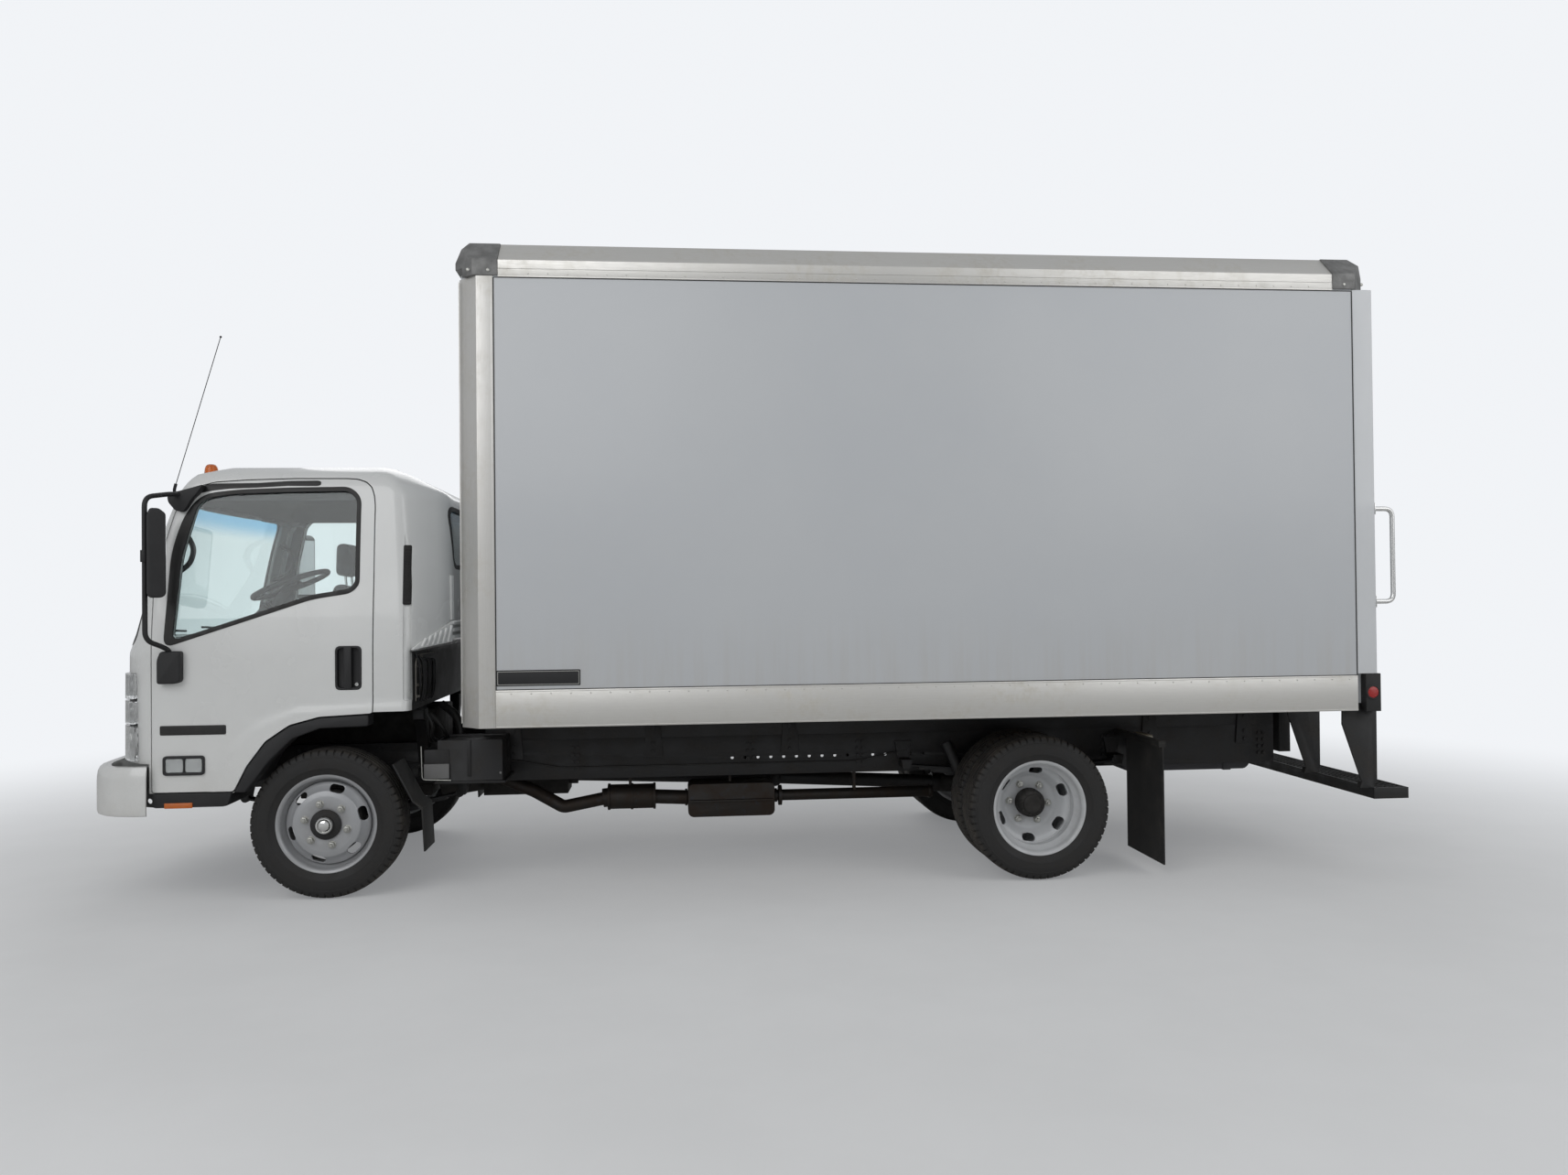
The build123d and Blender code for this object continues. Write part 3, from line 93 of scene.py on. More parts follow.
class Bench:
    """The modelling bench: short steps made of Blender's own operators."""

    @staticmethod
    def clear() -> None:
        """Deselects everything."""
        if bpy.context.object and bpy.context.object.mode != "OBJECT":
            bpy.ops.object.mode_set(mode="OBJECT")
        bpy.ops.object.select_all(action="DESELECT")

    @staticmethod
    def take(obj: Piece) -> None:
        """Selects one object alone and makes it active."""
        Bench.clear()
        obj.select_set(True)
        bpy.context.view_layer.objects.active = obj

    @staticmethod
    def edit(obj: Piece, action: str = "SELECT") -> None:
        """Opens an object in edit mode with all of it selected or deselected."""
        Bench.take(obj)
        bpy.ops.object.mode_set(mode="EDIT")
        bpy.ops.mesh.select_all(action=action)

    @staticmethod
    def done() -> None:
        """Goes back to object mode."""
        bpy.ops.object.mode_set(mode="OBJECT")

    @staticmethod
    def tidy(obj: Piece, distance: float = 1e-5) -> Piece:
        """Merges doubled points and turns every face outwards.

        Args:
            obj: The mesh object.
            distance: Points nearer than this become one.

        Returns:
            The same object.
        """
        Bench.edit(obj)
        bpy.ops.mesh.remove_doubles(threshold=distance)
        bpy.ops.mesh.normals_make_consistent(inside=False)
        Bench.done()
        return obj

    @staticmethod
    def polygon(name: str, points: Sequence[Point3], filled: bool = True) -> Piece:
        """A closed outline from a circle primitive whose points are put in place.

        Args:
            name: The piece's name.
            points: The outline's corners in order.
            filled: Whether the outline is one face.

        Returns:
            The new object.
        """
        Bench.clear()
        bpy.ops.mesh.primitive_circle_add(vertices=len(points), radius=1.0,
                                          fill_type="NGON" if filled else "NOTHING")
        obj = bpy.context.object
        obj.name = name
        obj.data.name = name
        for vertex, point in zip(obj.data.vertices, points):
            vertex.co = Vector(point)
        return obj

    @staticmethod
    def prism(name: str, outline: Sequence[Point2], axis: Axis, low: float, high: float) -> Piece:
        """An outline drawn out along an axis.

        Args:
            name: The piece's name.
            outline: Corners in the two other axes, in X, Y, Z order.
            axis: The axis that it is drawn along.
            low: Where it starts.
            high: Where it ends.

        Returns:
            The new closed object.
        """
        def lift(point: Point2) -> Point3:
            """Puts a flat point at the prism's low end."""
            full = list(point)
            full.insert(axis.value, low)
            return (full[0], full[1], full[2])

        obj = Bench.polygon(name, [lift(point) for point in outline])
        move = Vector((0, 0, 0))
        move[axis.value] = high - low
        Bench.edit(obj)
        bpy.ops.mesh.extrude_region_move(TRANSFORM_OT_translate={"value": move})
        Bench.done()
        return Bench.tidy(obj)

    @staticmethod
    def side_prism(name: str, outline: Sequence[Point2], y_low: float, y_high: float) -> Piece:
        """A side view outline of x and z in millimetres, drawn out across the truck."""
        points = [(AXLE_X + x / 1000, z / 1000) for x, z in outline]
        return Bench.prism(name, points, Axis.Y, y_low / 1000, y_high / 1000)

    @staticmethod
    def plate(name: str, x: Point2, z: Point2, y: Point2, radius: float, steps: int = 5) -> Piece:
        """A rectangle of the side view with rounded corners, drawn out across the truck.

        Args:
            name: The piece's name.
            x: Its lower and higher x in millimetres.
            z: Its lower and higher z.
            y: Its lower and higher y.
            radius: How far each corner is cut back.
            steps: Steps in each rounding.

        Returns:
            The new object.
        """
        corners = [(x[1], z[0]), (x[1], z[1]), (x[0], z[1]), (x[0], z[0])]
        return Bench.side_prism(name, rounded(corners, radius, steps), *y)

    @staticmethod
    def block(name: str, low: Point3, high: Point3, bevel: float = 0.0) -> Piece:
        """A box between two corners in millimetres from the front axle, with rounded edges.

        Args:
            name: The piece's name.
            low: One corner.
            high: The other corner.
            bevel: Width of the rounded edges in metres.

        Returns:
            The new object.
        """
        a, b = spot(*low), spot(*high)
        outline = [(a.x, a.y), (b.x, a.y), (b.x, b.y), (a.x, b.y)]
        obj = Bench.prism(name, outline, Axis.Z, a.z, b.z)
        return Bench.soften(obj, bevel) if bevel else obj

    @staticmethod
    def lathe(name: str, profile: Sequence[Point2], centre: Vector, axis: Axis = Axis.Y,
              steps: int = 96) -> Piece:
        """A closed profile turned about an axis through a point.

        Args:
            name: The piece's name.
            profile: Radius and place along the axis, in millimetres, as a closed loop.
            centre: A point on the axis that the profile's places are measured from.
            axis: The axis that it turns about.
            steps: Steps in the whole turn.

        Returns:
            The new object.
        """
        up = Vector((0, 0, 1)) if axis is not Axis.Z else Vector((1, 0, 0))
        along = Vector((0, 0, 0))
        along[axis.value] = 1.0
        points = [tuple(centre + up * (radius / 1000) + along * (place / 1000)) for radius, place in profile]
        obj = Bench.polygon(name, points, filled=False)
        Bench.edit(obj)
        bpy.ops.mesh.spin(steps=steps, angle=2 * math.pi, center=centre, axis=along)
        Bench.done()
        return Bench.tidy(obj)

    @staticmethod
    def loft(name: str, rings: Sequence[Sequence[Vector]], caps: bool = True) -> Piece:
        """A skin through closed rings of points, from a grid primitive whose points are put in place.

        Args:
            name: The piece's name.
            rings: Rings with the same number of points.
            caps: Whether the two ends are closed.

        Returns:
            The new object.
        """
        Bench.clear()
        bpy.ops.mesh.primitive_grid_add(x_subdivisions=len(rings[0]), y_subdivisions=len(rings) - 1, size=1.0)
        obj = bpy.context.object
        obj.name = name
        obj.data.name = name
        places = [point for ring in rings for point in (*ring, ring[0])]
        for vertex, place in zip(obj.data.vertices, places):
            vertex.co = place
        Bench.edit(obj)
        bpy.ops.mesh.remove_doubles(threshold=1e-5)
        if caps:
            bpy.ops.mesh.select_all(action="SELECT")
            bpy.ops.mesh.fill_holes(sides=0)
        Bench.done()
        return Bench.tidy(obj)

    @staticmethod
    def turned(obj: Piece, name: str, centre: Vector, axis: Axis, angle: float) -> Piece:
        """A copy turned about an axis through a point."""
        about = Matrix.Translation(centre) @ Matrix.Rotation(angle, 4, axis.name) @ Matrix.Translation(-centre)
        return Bench.copy(obj, name, about)

    @staticmethod
    def moved(obj: Piece, name: str, way: Point3) -> Piece:
        """A copy moved by millimetres."""
        return Bench.copy(obj, name, Matrix.Translation(Vector(way) / 1000))

    @staticmethod
    def drop(*pieces: Piece) -> None:
        """Takes helper pieces out of the scene."""
        for piece in pieces:
            bpy.data.objects.remove(piece)

    @staticmethod
    def tube(name: str, places: Sequence[Point3], radius: float, bend: float = 0.03, sides: int = 4) -> Piece:
        """A round bar that follows points, with its corners rounded and its ends closed.

        Args:
            name: The piece's name.
            places: The corners that it follows, in millimetres from the front axle.
            radius: The bar's radius in metres.
            bend: How far each corner is cut back for its bend, in metres.
            sides: Blender's bevel resolution.

        Returns:
            The bar as a mesh.
        """
        points = [spot(*place) for place in places]
        curve = bpy.data.curves.new(name, "CURVE")
        curve.dimensions = "3D"
        curve.bevel_depth = radius
        curve.bevel_resolution = sides
        curve.use_fill_caps = True
        path = [points[0]]
        for before, corner, after in zip(points, points[1:], points[2:]):
            cut = min(bend, (corner - before).length * 0.45, (after - corner).length * 0.45)
            start = corner + (before - corner).normalized() * cut
            end = corner + (after - corner).normalized() * cut
            path += Bench.curved(start, corner, end, 6)
        path.append(points[-1])
        spline = curve.splines.new("POLY")
        spline.points.add(len(path) - 1)
        for target, place in zip(spline.points, path):
            target.co = (*place, 1.0)
        obj = bpy.data.objects.new(name, curve)
        bpy.context.scene.collection.objects.link(obj)
        Bench.take(obj)
        bpy.ops.object.convert(target="MESH")
        obj = bpy.context.object
        Bench.tidy(obj)
        return Bench.smooth(obj, 40)

    @staticmethod
    def curved(start: Vector, middle: Vector, end: Vector, steps: int) -> list[Vector]:
        """The points of a rounded corner, from its start to its end."""
        shares = [step / steps for step in range(steps + 1)]
        return [start.lerp(middle, share).lerp(middle.lerp(end, share), share) for share in shares]

    @staticmethod
    def apply(obj: Piece, kind: str, **values: object) -> Piece:
        """Adds a modifier, sets it and applies it.

        Args:
            obj: The mesh object.
            kind: Blender's modifier type.
            values: The modifier's settings.

        Returns:
            The same object.
        """
        modifier = obj.modifiers.new(kind.lower(), kind)
        for key, value in values.items():
            setattr(modifier, key, value)
        Bench.take(obj)
        bpy.ops.object.modifier_apply(modifier=modifier.name)
        return obj

    @staticmethod
    def smooth(obj: Piece, degrees: float = 32.0) -> Piece:
        """Shades smooth wherever faces meet at less than an angle."""
        Bench.take(obj)
        bpy.ops.object.shade_smooth_by_angle(angle=math.radians(degrees))
        return obj

    @staticmethod
    def soften(obj: Piece, width: float, segments: int = 2, degrees: float = 30.0) -> Piece:
        """Rounds the edges that are sharper than an angle, and shades the piece smooth.

        Args:
            obj: The mesh object.
            width: The rounding's width.
            segments: Steps in the rounding.
            degrees: Edges flatter than this stay as they are.

        Returns:
            The same object.
        """
        Bench.apply(obj, "BEVEL", width=width, segments=segments, limit_method="ANGLE",
                    angle_limit=math.radians(degrees), use_clamp_overlap=True, miter_outer="MITER_ARC")
        return Bench.smooth(obj, 40)

    @staticmethod
    def cut(obj: Piece, tools: Iterable[Piece], how: str = "DIFFERENCE", keep: bool = False) -> Piece:
        """Cuts, joins or crosses a piece with others.

        Args:
            obj: The piece that is shaped.
            tools: The pieces that shape it.
            how: Blender's boolean operation.
            keep: Whether the tools stay in the scene.

        Returns:
            The shaped piece.
        """
        for tool in list(tools):
            Bench.apply(obj, "BOOLEAN", operation=how, object=tool, solver="EXACT")
            if not keep:
                bpy.data.objects.remove(tool)
        return obj

    @staticmethod
    def join(name: str, parts: Sequence[Piece]) -> Piece:
        """Makes one piece of several.

        Args:
            name: The joined piece's name.
            parts: The pieces.

        Returns:
            The joined piece.
        """
        Bench.clear()
        for part in parts:
            part.select_set(True)
        bpy.context.view_layer.objects.active = parts[0]
        if len(parts) > 1:
            bpy.ops.object.join()
        obj = bpy.context.object
        obj.name = name
        obj.data.name = name
        return obj

    @staticmethod
    def copy(obj: Piece, name: str, move: Optional[Matrix] = None) -> Piece:
        """A copy with its own mesh, moved in its mesh.

        Args:
            obj: The piece that is copied.
            name: The copy's name.
            move: The copy's move or turn.

        Returns:
            The copy.
        """
        twin = bpy.data.objects.new(name, obj.data.copy())
        twin.data.name = name
        bpy.context.scene.collection.objects.link(twin)
        if move is not None:
            twin.data.transform(move)
            if move.determinant() < 0:
                twin.data.flip_normals()
        return twin

    @staticmethod
    def mirror(obj: Piece, name: str) -> Piece:
        """The piece for the truck's other side."""
        return Bench.copy(obj, name, Matrix.Scale(-1, 4, (0, 1, 0)))

    @staticmethod
    def both(obj: Piece) -> Piece:
        """One piece made of the given one and its mirror image."""
        return Bench.join(obj.name, [obj, Bench.mirror(obj, obj.name + "_twin")])

    @staticmethod
    def flattened(node: Piece, name: str) -> Piece:
        """A bare copy of a CAD node, with its triangles merged into flat faces."""
        obj = Bench.copy(node, name)
        obj.data.materials.clear()
        Bench.edit(obj)
        bpy.ops.mesh.remove_doubles(threshold=2e-5)
        bpy.ops.mesh.dissolve_limited(angle_limit=math.radians(0.8))
        Bench.done()
        return obj

    @staticmethod
    def carried(node: Piece, name: str, width: float, segments: int = 2) -> Piece:
        """A bare copy of a CAD node with its edges rounded.

        Args:
            node: The CAD node.
            name: The copy's name.
            width: The rounding's width.
            segments: Steps in the rounding.

        Returns:
            The copy.
        """
        return Bench.soften(Bench.flattened(node, name), width, segments)


class Recipe:
    """Builds one procedural material from nodes that read Object coordinates."""

    def __init__(self, name: str) -> None:
        """Starts an empty material with a Principled shader."""
        self.material = bpy.data.materials.new(name)
        self.material.use_nodes = True
        self.tree = self.material.node_tree
        self.tree.nodes.clear()
        self.shader = self.tree.nodes.new("ShaderNodeBsdfPrincipled")
        self.output = self.tree.nodes.new("ShaderNodeOutputMaterial")
        self.tree.links.new(self.shader.outputs["BSDF"], self.output.inputs["Surface"])
        self.place = self.tree.nodes.new("ShaderNodeTexCoord").outputs["Object"]

    def link(self, value: object, socket: Socket) -> None:
        """Feeds a socket from another socket, or sets it to a number or colour."""
        if isinstance(value, Socket):
            self.tree.links.new(value, socket)
        elif isinstance(value, tuple) and len(value) == 3 and socket.type == "RGBA":
            socket.default_value = (*value, 1.0)
        else:
            socket.default_value = value

    def wear(self, **values: object) -> None:
        """Sets inputs of the shader, written with underscores for spaces."""
        for key, value in values.items():
            self.link(value, self.shader.inputs[key.replace("_", " ")])

    def node(self, kind: str, result: str, settings: dict[str, object], *values: object,
             **named: object) -> Socket:
        """Adds one node.

        Args:
            kind: Blender's node type after ShaderNode.
            result: The output that is wanted.
            settings: The node's own settings, made before its inputs.
            values: What its first inputs are fed with.
            named: What other inputs are fed with, written with underscores for spaces.

        Returns:
            The output.
        """
        node = self.tree.nodes.new("ShaderNode" + kind)
        for key, value in settings.items():
            setattr(node, key, value)
        for value, socket in zip(values, node.inputs):
            self.link(value, socket)
        for key, value in named.items():
            self.link(value, node.inputs[key.replace("_", " ")])
        return node.outputs[result]

    def stretch(self, scale: Point3, shift: Point3 = (0.0, 0.0, 0.0)) -> Socket:
        """Object coordinates, stretched along each axis about the place that shift becomes the middle."""
        moved = tuple(-s * k for s, k in zip(shift, scale))
        return self.node("Mapping", "Vector", {}, Vector=self.place, Scale=scale, Location=moved)

    def noise(self, scale: float, detail: float = 4.0, rough: float = 0.55,
              vector: Optional[Socket] = None) -> Socket:
        """Fractal noise from 0 to 1.

        Args:
            scale: Features per metre.
            detail: Octaves.
            rough: Strength of the finer octaves.
            vector: Coordinates, or the object's own.

        Returns:
            The noise value.
        """
        return self.node("TexNoise", "Fac", {}, Vector=vector or self.place, Scale=scale, Detail=detail,
                         Roughness=rough)

    def cells(self, scale: float) -> Socket:
        """Distance to the nearest point of a cell pattern with a number of cells per metre."""
        return self.node("TexVoronoi", "Distance", {"feature": "F1"}, Vector=self.place, Scale=scale)

    def waves(self, scale: float, direction: str) -> Socket:
        """Even bands from 0 to 1 that cross an axis."""
        return self.node("TexWave", "Fac", {"bands_direction": direction}, Vector=self.place, Scale=scale)

    def length(self, vector: Socket) -> Socket:
        """The length of a vector."""
        return self.node("VectorMath", "Value", {"operation": "LENGTH"}, vector)

    def spread(self, value: Socket, low: float, high: float, start: float = 0.0, end: float = 1.0) -> Socket:
        """Maps a range of a value to another, and clamps it.

        Args:
            value: The incoming value.
            low: Incoming value that gives start.
            high: Incoming value that gives end.
            start: Result at low.
            end: Result at high.

        Returns:
            The mapped value.
        """
        return self.node("MapRange", "Result", {"interpolation_type": "SMOOTHSTEP"}, Value=value, From_Min=low,
                         From_Max=high, To_Min=start, To_Max=end)

    def times(self, first: object, second: object) -> Socket:
        """The product of two sockets or numbers."""
        return self.node("Math", "Value", {"operation": "MULTIPLY"}, first, second)

    def plus(self, first: object, second: object) -> Socket:
        """The sum of two sockets or numbers."""
        return self.node("Math", "Value", {"operation": "ADD"}, first, second)

    def part(self, axis: str) -> Socket:
        """One coordinate of the object's own space."""
        return self.node("SeparateXYZ", axis, {}, self.place)

    def mix(self, factor: object, first: object, second: object) -> Socket:
        """Mixes two colours, of which factor is the share of the second."""
        return self.node("Mix", "Result", {"data_type": "RGBA"}, Factor=factor, A=first, B=second)

    def bump(self, height: Socket, strength: float, depth: float, under: Optional[Socket] = None) -> Socket:
        """Roughens the surface's normal by a height.

        Args:
            height: The height value.
            strength: Share of the effect.
            depth: Height in metres of a value of one.
            under: A normal to build on.

        Returns:
            The new normal.
        """
        base = {} if under is None else {"Normal": under}
        return self.node("Bump", "Normal", {}, Height=height, Strength=strength, Distance=depth, **base)


@dataclass(frozen=True)
class Finish:
    """What every finish has: a name, the record's slot, a colour and a roughness."""

    name: str
    slot: str
    color: Point3
    rough: float = 0.5

    def fill(self, mix: Recipe) -> None:
        """Fills in the finish's recipe."""
        raise NotImplementedError

    def shade(self, *factors: float) -> Point3:
        """The finish's colour times one factor, or times a factor for each channel."""
        red, green, blue = factors * 3 if len(factors) == 1 else factors
        return (self.color[0] * red, self.color[1] * green, self.color[2] * blue)

    def wear(self, obj: Piece) -> Piece:
        """Puts the finish on a piece, and makes its material at the first use."""
        if self.name not in bpy.data.materials:
            self.fill(Recipe(self.name))
        obj.data.materials.clear()
        obj.data.materials.append(bpy.data.materials[self.name])
        return obj


@dataclass(frozen=True)
class GlossPaint(Finish):
    """Sprayed gloss paint with a clear coat, faint orange peel and road dust low down."""

    dust_top: float = 1.1
    dust: float = 0.3

    def fill(self, mix: Recipe) -> None:
        """Makes the paint."""
        cloud = mix.noise(3.0, 5.0)
        speck = mix.noise(240.0, 2.0)
        low = mix.spread(mix.part("Z"), 0.35, self.dust_top, self.dust, 0.0)
        dirt = mix.times(low, mix.spread(cloud, 0.35, 0.7, 0.35, 1.0))
        dirt = mix.times(dirt, mix.spread(speck, 0.3, 0.75, 0.5, 1.0))
        tint = mix.mix(mix.spread(cloud, 0.3, 0.7, 0.0, 1.0), self.color, self.shade(0.965))
        mix.wear(Base_Color=mix.mix(dirt, tint, (0.42, 0.36, 0.28)))
        rough = mix.spread(cloud, 0.3, 0.8, self.rough, self.rough + 0.08)
        mix.wear(Roughness=mix.plus(rough, mix.times(dirt, 0.7)))
        mix.wear(Coat_Weight=0.6, Coat_Roughness=0.04, Specular_IOR_Level=0.5)
        peel = mix.noise(160.0, 2.0, 0.4)
        mix.wear(Normal=mix.bump(peel, 0.12, 0.0012))


@dataclass(frozen=True)
class ChassisPaint(Finish):
    """Satin black chassis paint with dust on it and thin rust at stone chips."""

    chips: float = 0.5

    def fill(self, mix: Recipe) -> None:
        """Makes the chassis paint."""
        cloud = mix.noise(7.0, 6.0, 0.6)
        fine = mix.noise(90.0, 4.0, 0.6)
        dust = mix.times(mix.spread(cloud, 0.42, 0.72, 0.0, 0.16), mix.spread(fine, 0.3, 0.7, 0.4, 1.0))
        color = mix.mix(dust, self.color, (0.14, 0.115, 0.09))
        chip = mix.times(mix.spread(mix.cells(55.0), 0.1, 0.05, 0.0, 1.0),
                         mix.spread(cloud, 0.6, 0.68, 0.0, self.chips))
        mix.wear(Base_Color=mix.mix(chip, color, (0.17, 0.07, 0.03)))
        mix.wear(Roughness=mix.spread(cloud, 0.3, 0.75, self.rough, min(1.0, self.rough + 0.3)))
        mix.wear(Normal=mix.bump(mix.noise(300.0, 3.0), 0.25, 0.0012))


@dataclass(frozen=True)
class Casting(Finish):
    """Rough cast metal, darker in random patches and its fine grain."""

    metal: float = 0.7

    def fill(self, mix: Recipe) -> None:
        """Makes the casting's material."""
        grain = mix.noise(350.0, 5.0, 0.7)
        cloud = mix.noise(14.0, 5.0)
        color = mix.mix(mix.spread(cloud, 0.3, 0.75), self.color, self.shade(0.62))
        mix.wear(Base_Color=mix.mix(mix.spread(grain, 0.3, 0.7, 0.0, 0.35), color, self.shade(0.5)))
        mix.wear(Metallic=self.metal, Roughness=mix.spread(cloud, 0.2, 0.8, self.rough, self.rough + 0.2))
        mix.wear(Normal=mix.bump(grain, 0.45, 0.0012, mix.bump(cloud, 0.2, 0.004)))


@dataclass(frozen=True)
class Extrusion(Finish):
    """Mill finish aluminium, drawn along one axis, with dull blotches and fine scratches."""

    along: Axis = Axis.X

    def fill(self, mix: Recipe) -> None:
        """Makes the drawn metal."""
        long = [60.0, 60.0, 60.0]
        long[self.along.value] = 1.2
        lines = mix.noise(9.0, 6.0, 0.7, mix.stretch((long[0], long[1], long[2])))
        cloud = mix.noise(2.6, 6.0, 0.6)
        patch = mix.noise(21.0, 5.0, 0.65)
        dull = mix.times(mix.spread(cloud, 0.4, 0.7, 0.0, 0.6), mix.spread(patch, 0.35, 0.7))
        color = mix.mix(dull, self.color, self.shade(0.86, 0.83, 0.76))
        color = mix.mix(mix.spread(lines, 0.35, 0.7, 0.0, 0.22), color, self.shade(0.8))
        mix.wear(Base_Color=color, Metallic=0.92)
        rough = mix.spread(lines, 0.3, 0.7, self.rough, self.rough + 0.14)
        mix.wear(Roughness=mix.plus(rough, mix.times(dull, 0.25)))
        mix.wear(Normal=mix.bump(lines, 0.16, 0.0006, mix.bump(cloud, 0.1, 0.004)))


@dataclass(frozen=True)
class PanelSkin(Finish):
    """A flat gelcoat panel with the faint print of its glass mat and thin rain streaks."""

    def fill(self, mix: Recipe) -> None:
        """Makes the panel's skin."""
        cloud = mix.noise(0.9, 4.0)
        mat = mix.noise(130.0, 3.0, 0.6)
        streak = mix.noise(5.0, 4.0, 0.6, mix.stretch((4.0, 4.0, 0.25)))
        tint = mix.mix(mix.spread(cloud, 0.3, 0.7), self.color, self.shade(0.96, 0.965, 0.975))
        low = mix.spread(mix.part("Z"), 1.05, 1.6, 0.35, 0.0)
        veil = mix.times(low, mix.spread(streak, 0.35, 0.75, 0.2, 1.0))
        mix.wear(Base_Color=mix.mix(veil, tint, (0.55, 0.53, 0.49)))
        mix.wear(Roughness=mix.spread(mat, 0.3, 0.7, self.rough, self.rough + 0.1), Coat_Weight=0.25,
                 Coat_Roughness=0.2)
        mix.wear(Normal=mix.bump(mat, 0.2, 0.0012, mix.bump(cloud, 0.25, 0.01)))


@dataclass(frozen=True)
class MouldedPlastic(Finish):
    """Black moulded plastic with a fine grain, greyed a little by the sun."""

    grain: float = 900.0
    depth: float = 0.0006

    def fill(self, mix: Recipe) -> None:
        """Makes the plastic."""
        skin = mix.cells(self.grain)
        cloud = mix.noise(9.0, 5.0)
        color = mix.mix(mix.spread(cloud, 0.35, 0.75, 0.0, 0.7), self.color,
                        tuple(min(1.0, c * 1.6 + 0.004) for c in self.color))
        mix.wear(Base_Color=color)
        mix.wear(Roughness=mix.spread(cloud, 0.3, 0.7, self.rough, self.rough + 0.12))
        mix.wear(Normal=mix.bump(skin, 0.35, self.depth))


@dataclass(frozen=True)
class RubberSheet(Finish):
    """Soft black rubber with a dry bloom and pale dust."""

    dust: float = 0.25

    def fill(self, mix: Recipe) -> None:
        """Makes the rubber."""
        cloud = mix.noise(6.0, 6.0, 0.65)
        fine = mix.noise(180.0, 4.0, 0.6)
        veil = mix.times(mix.spread(cloud, 0.4, 0.75, 0.0, self.dust), mix.spread(fine, 0.3, 0.7, 0.3, 1.0))
        mix.wear(Base_Color=mix.mix(veil, self.color, (0.3, 0.27, 0.23)))
        mix.wear(Roughness=mix.spread(cloud, 0.3, 0.7, self.rough, min(1.0, self.rough + 0.14)),
                 Sheen_Weight=0.06)
        mix.wear(Normal=mix.bump(fine, 0.3, 0.0008))


@dataclass(frozen=True)
class TyreRubber(Finish):
    """Tyre rubber with fine mould rings round its wheel, and dust in the tread."""

    centre: Point3 = (0.0, 0.0, 0.0)

    def fill(self, mix: Recipe) -> None:
        """Makes the tyre's rubber."""
        radius = mix.length(mix.stretch((1.0, 0.0, 1.0), self.centre))
        rings = mix.node("Math", "Value", {"operation": "SINE"}, mix.times(radius, 2 * math.pi / 0.0035))
        side = mix.spread(radius, 0.372, 0.362, 0.0, 1.0)
        cloud = mix.noise(9.0, 6.0, 0.65)
        fine = mix.noise(260.0, 4.0, 0.65)
        tread = mix.spread(radius, 0.372, 0.39, 0.07, 0.38)
        veil = mix.times(tread, mix.spread(cloud, 0.35, 0.7, 0.25, 1.0))
        veil = mix.times(veil, mix.spread(fine, 0.3, 0.7, 0.4, 1.0))
        mix.wear(Base_Color=mix.mix(veil, self.color, (0.22, 0.19, 0.155)))
        mix.wear(Roughness=mix.spread(cloud, 0.3, 0.7, self.rough, self.rough + 0.15))
        height = mix.times(rings, side)
        mix.wear(Normal=mix.bump(height, 0.1, 0.0005, mix.bump(fine, 0.3, 0.0008)))


@dataclass(frozen=True)
class WheelPaint(Finish):
    """Wheel paint with brake dust that gathers near the hub and runs off the rim."""

    centre: Point3 = (0.0, 0.0, 0.0)
    metal: float = 0.0

    def fill(self, mix: Recipe) -> None:
        """Makes the wheel's paint."""
        radius = mix.length(mix.stretch((1.0, 0.0, 1.0), self.centre))
        cloud = mix.noise(16.0, 6.0, 0.65)
        fine = mix.noise(300.0, 3.0)
        near = mix.spread(radius, 0.16, 0.08, 0.04, 0.3)
        well = mix.spread(radius, 0.19, 0.215, 0.0, 0.18)
        dirt = mix.times(mix.plus(near, well), mix.spread(cloud, 0.3, 0.7, 0.2, 1.0))
        dirt = mix.times(dirt, mix.spread(fine, 0.25, 0.7, 0.6, 1.0))
        mix.wear(Base_Color=mix.mix(dirt, self.color, (0.16, 0.13, 0.1)))
        mix.wear(Metallic=self.metal, Roughness=mix.spread(cloud, 0.3, 0.8, self.rough, self.rough + 0.15))
        mix.wear(Coat_Weight=0.25, Coat_Roughness=0.15)
        mix.wear(Normal=mix.bump(mix.noise(220.0, 2.0), 0.15, 0.001))


@dataclass(frozen=True)
class HeatedSteel(Finish):
    """Exhaust steel, brown and blue where it ran hot, with weld scale."""

    def fill(self, mix: Recipe) -> None:
        """Makes the heated steel."""
        cloud = mix.noise(8.0, 6.0, 0.65)
        hot = mix.mix(mix.spread(cloud, 0.38, 0.66), self.color, (0.05, 0.037, 0.029))
        cold = mix.noise(30.0, 4.0)
        mix.wear(Base_Color=mix.mix(mix.spread(cold, 0.55, 0.75, 0.0, 0.5), hot, (0.05, 0.055, 0.068)))
        mix.wear(Metallic=0.75, Roughness=mix.spread(cloud, 0.3, 0.7, self.rough, self.rough + 0.2))
        mix.wear(Normal=mix.bump(mix.noise(160.0, 5.0, 0.7), 0.3, 0.001))


@dataclass(frozen=True)
class Bright(Finish):
    """Bright plated metal with faint water marks."""

    def fill(self, mix: Recipe) -> None:
        """Makes the plating."""
        cloud = mix.noise(40.0, 5.0)
        mix.wear(Base_Color=mix.mix(mix.spread(cloud, 0.4, 0.8, 0.0, 0.5), self.color, self.shade(0.75)))
        mix.wear(Metallic=1.0, Roughness=mix.spread(cloud, 0.35, 0.75, self.rough, self.rough + 0.12))
        mix.wear(Normal=mix.bump(mix.noise(500.0, 2.0), 0.06, 0.0004))


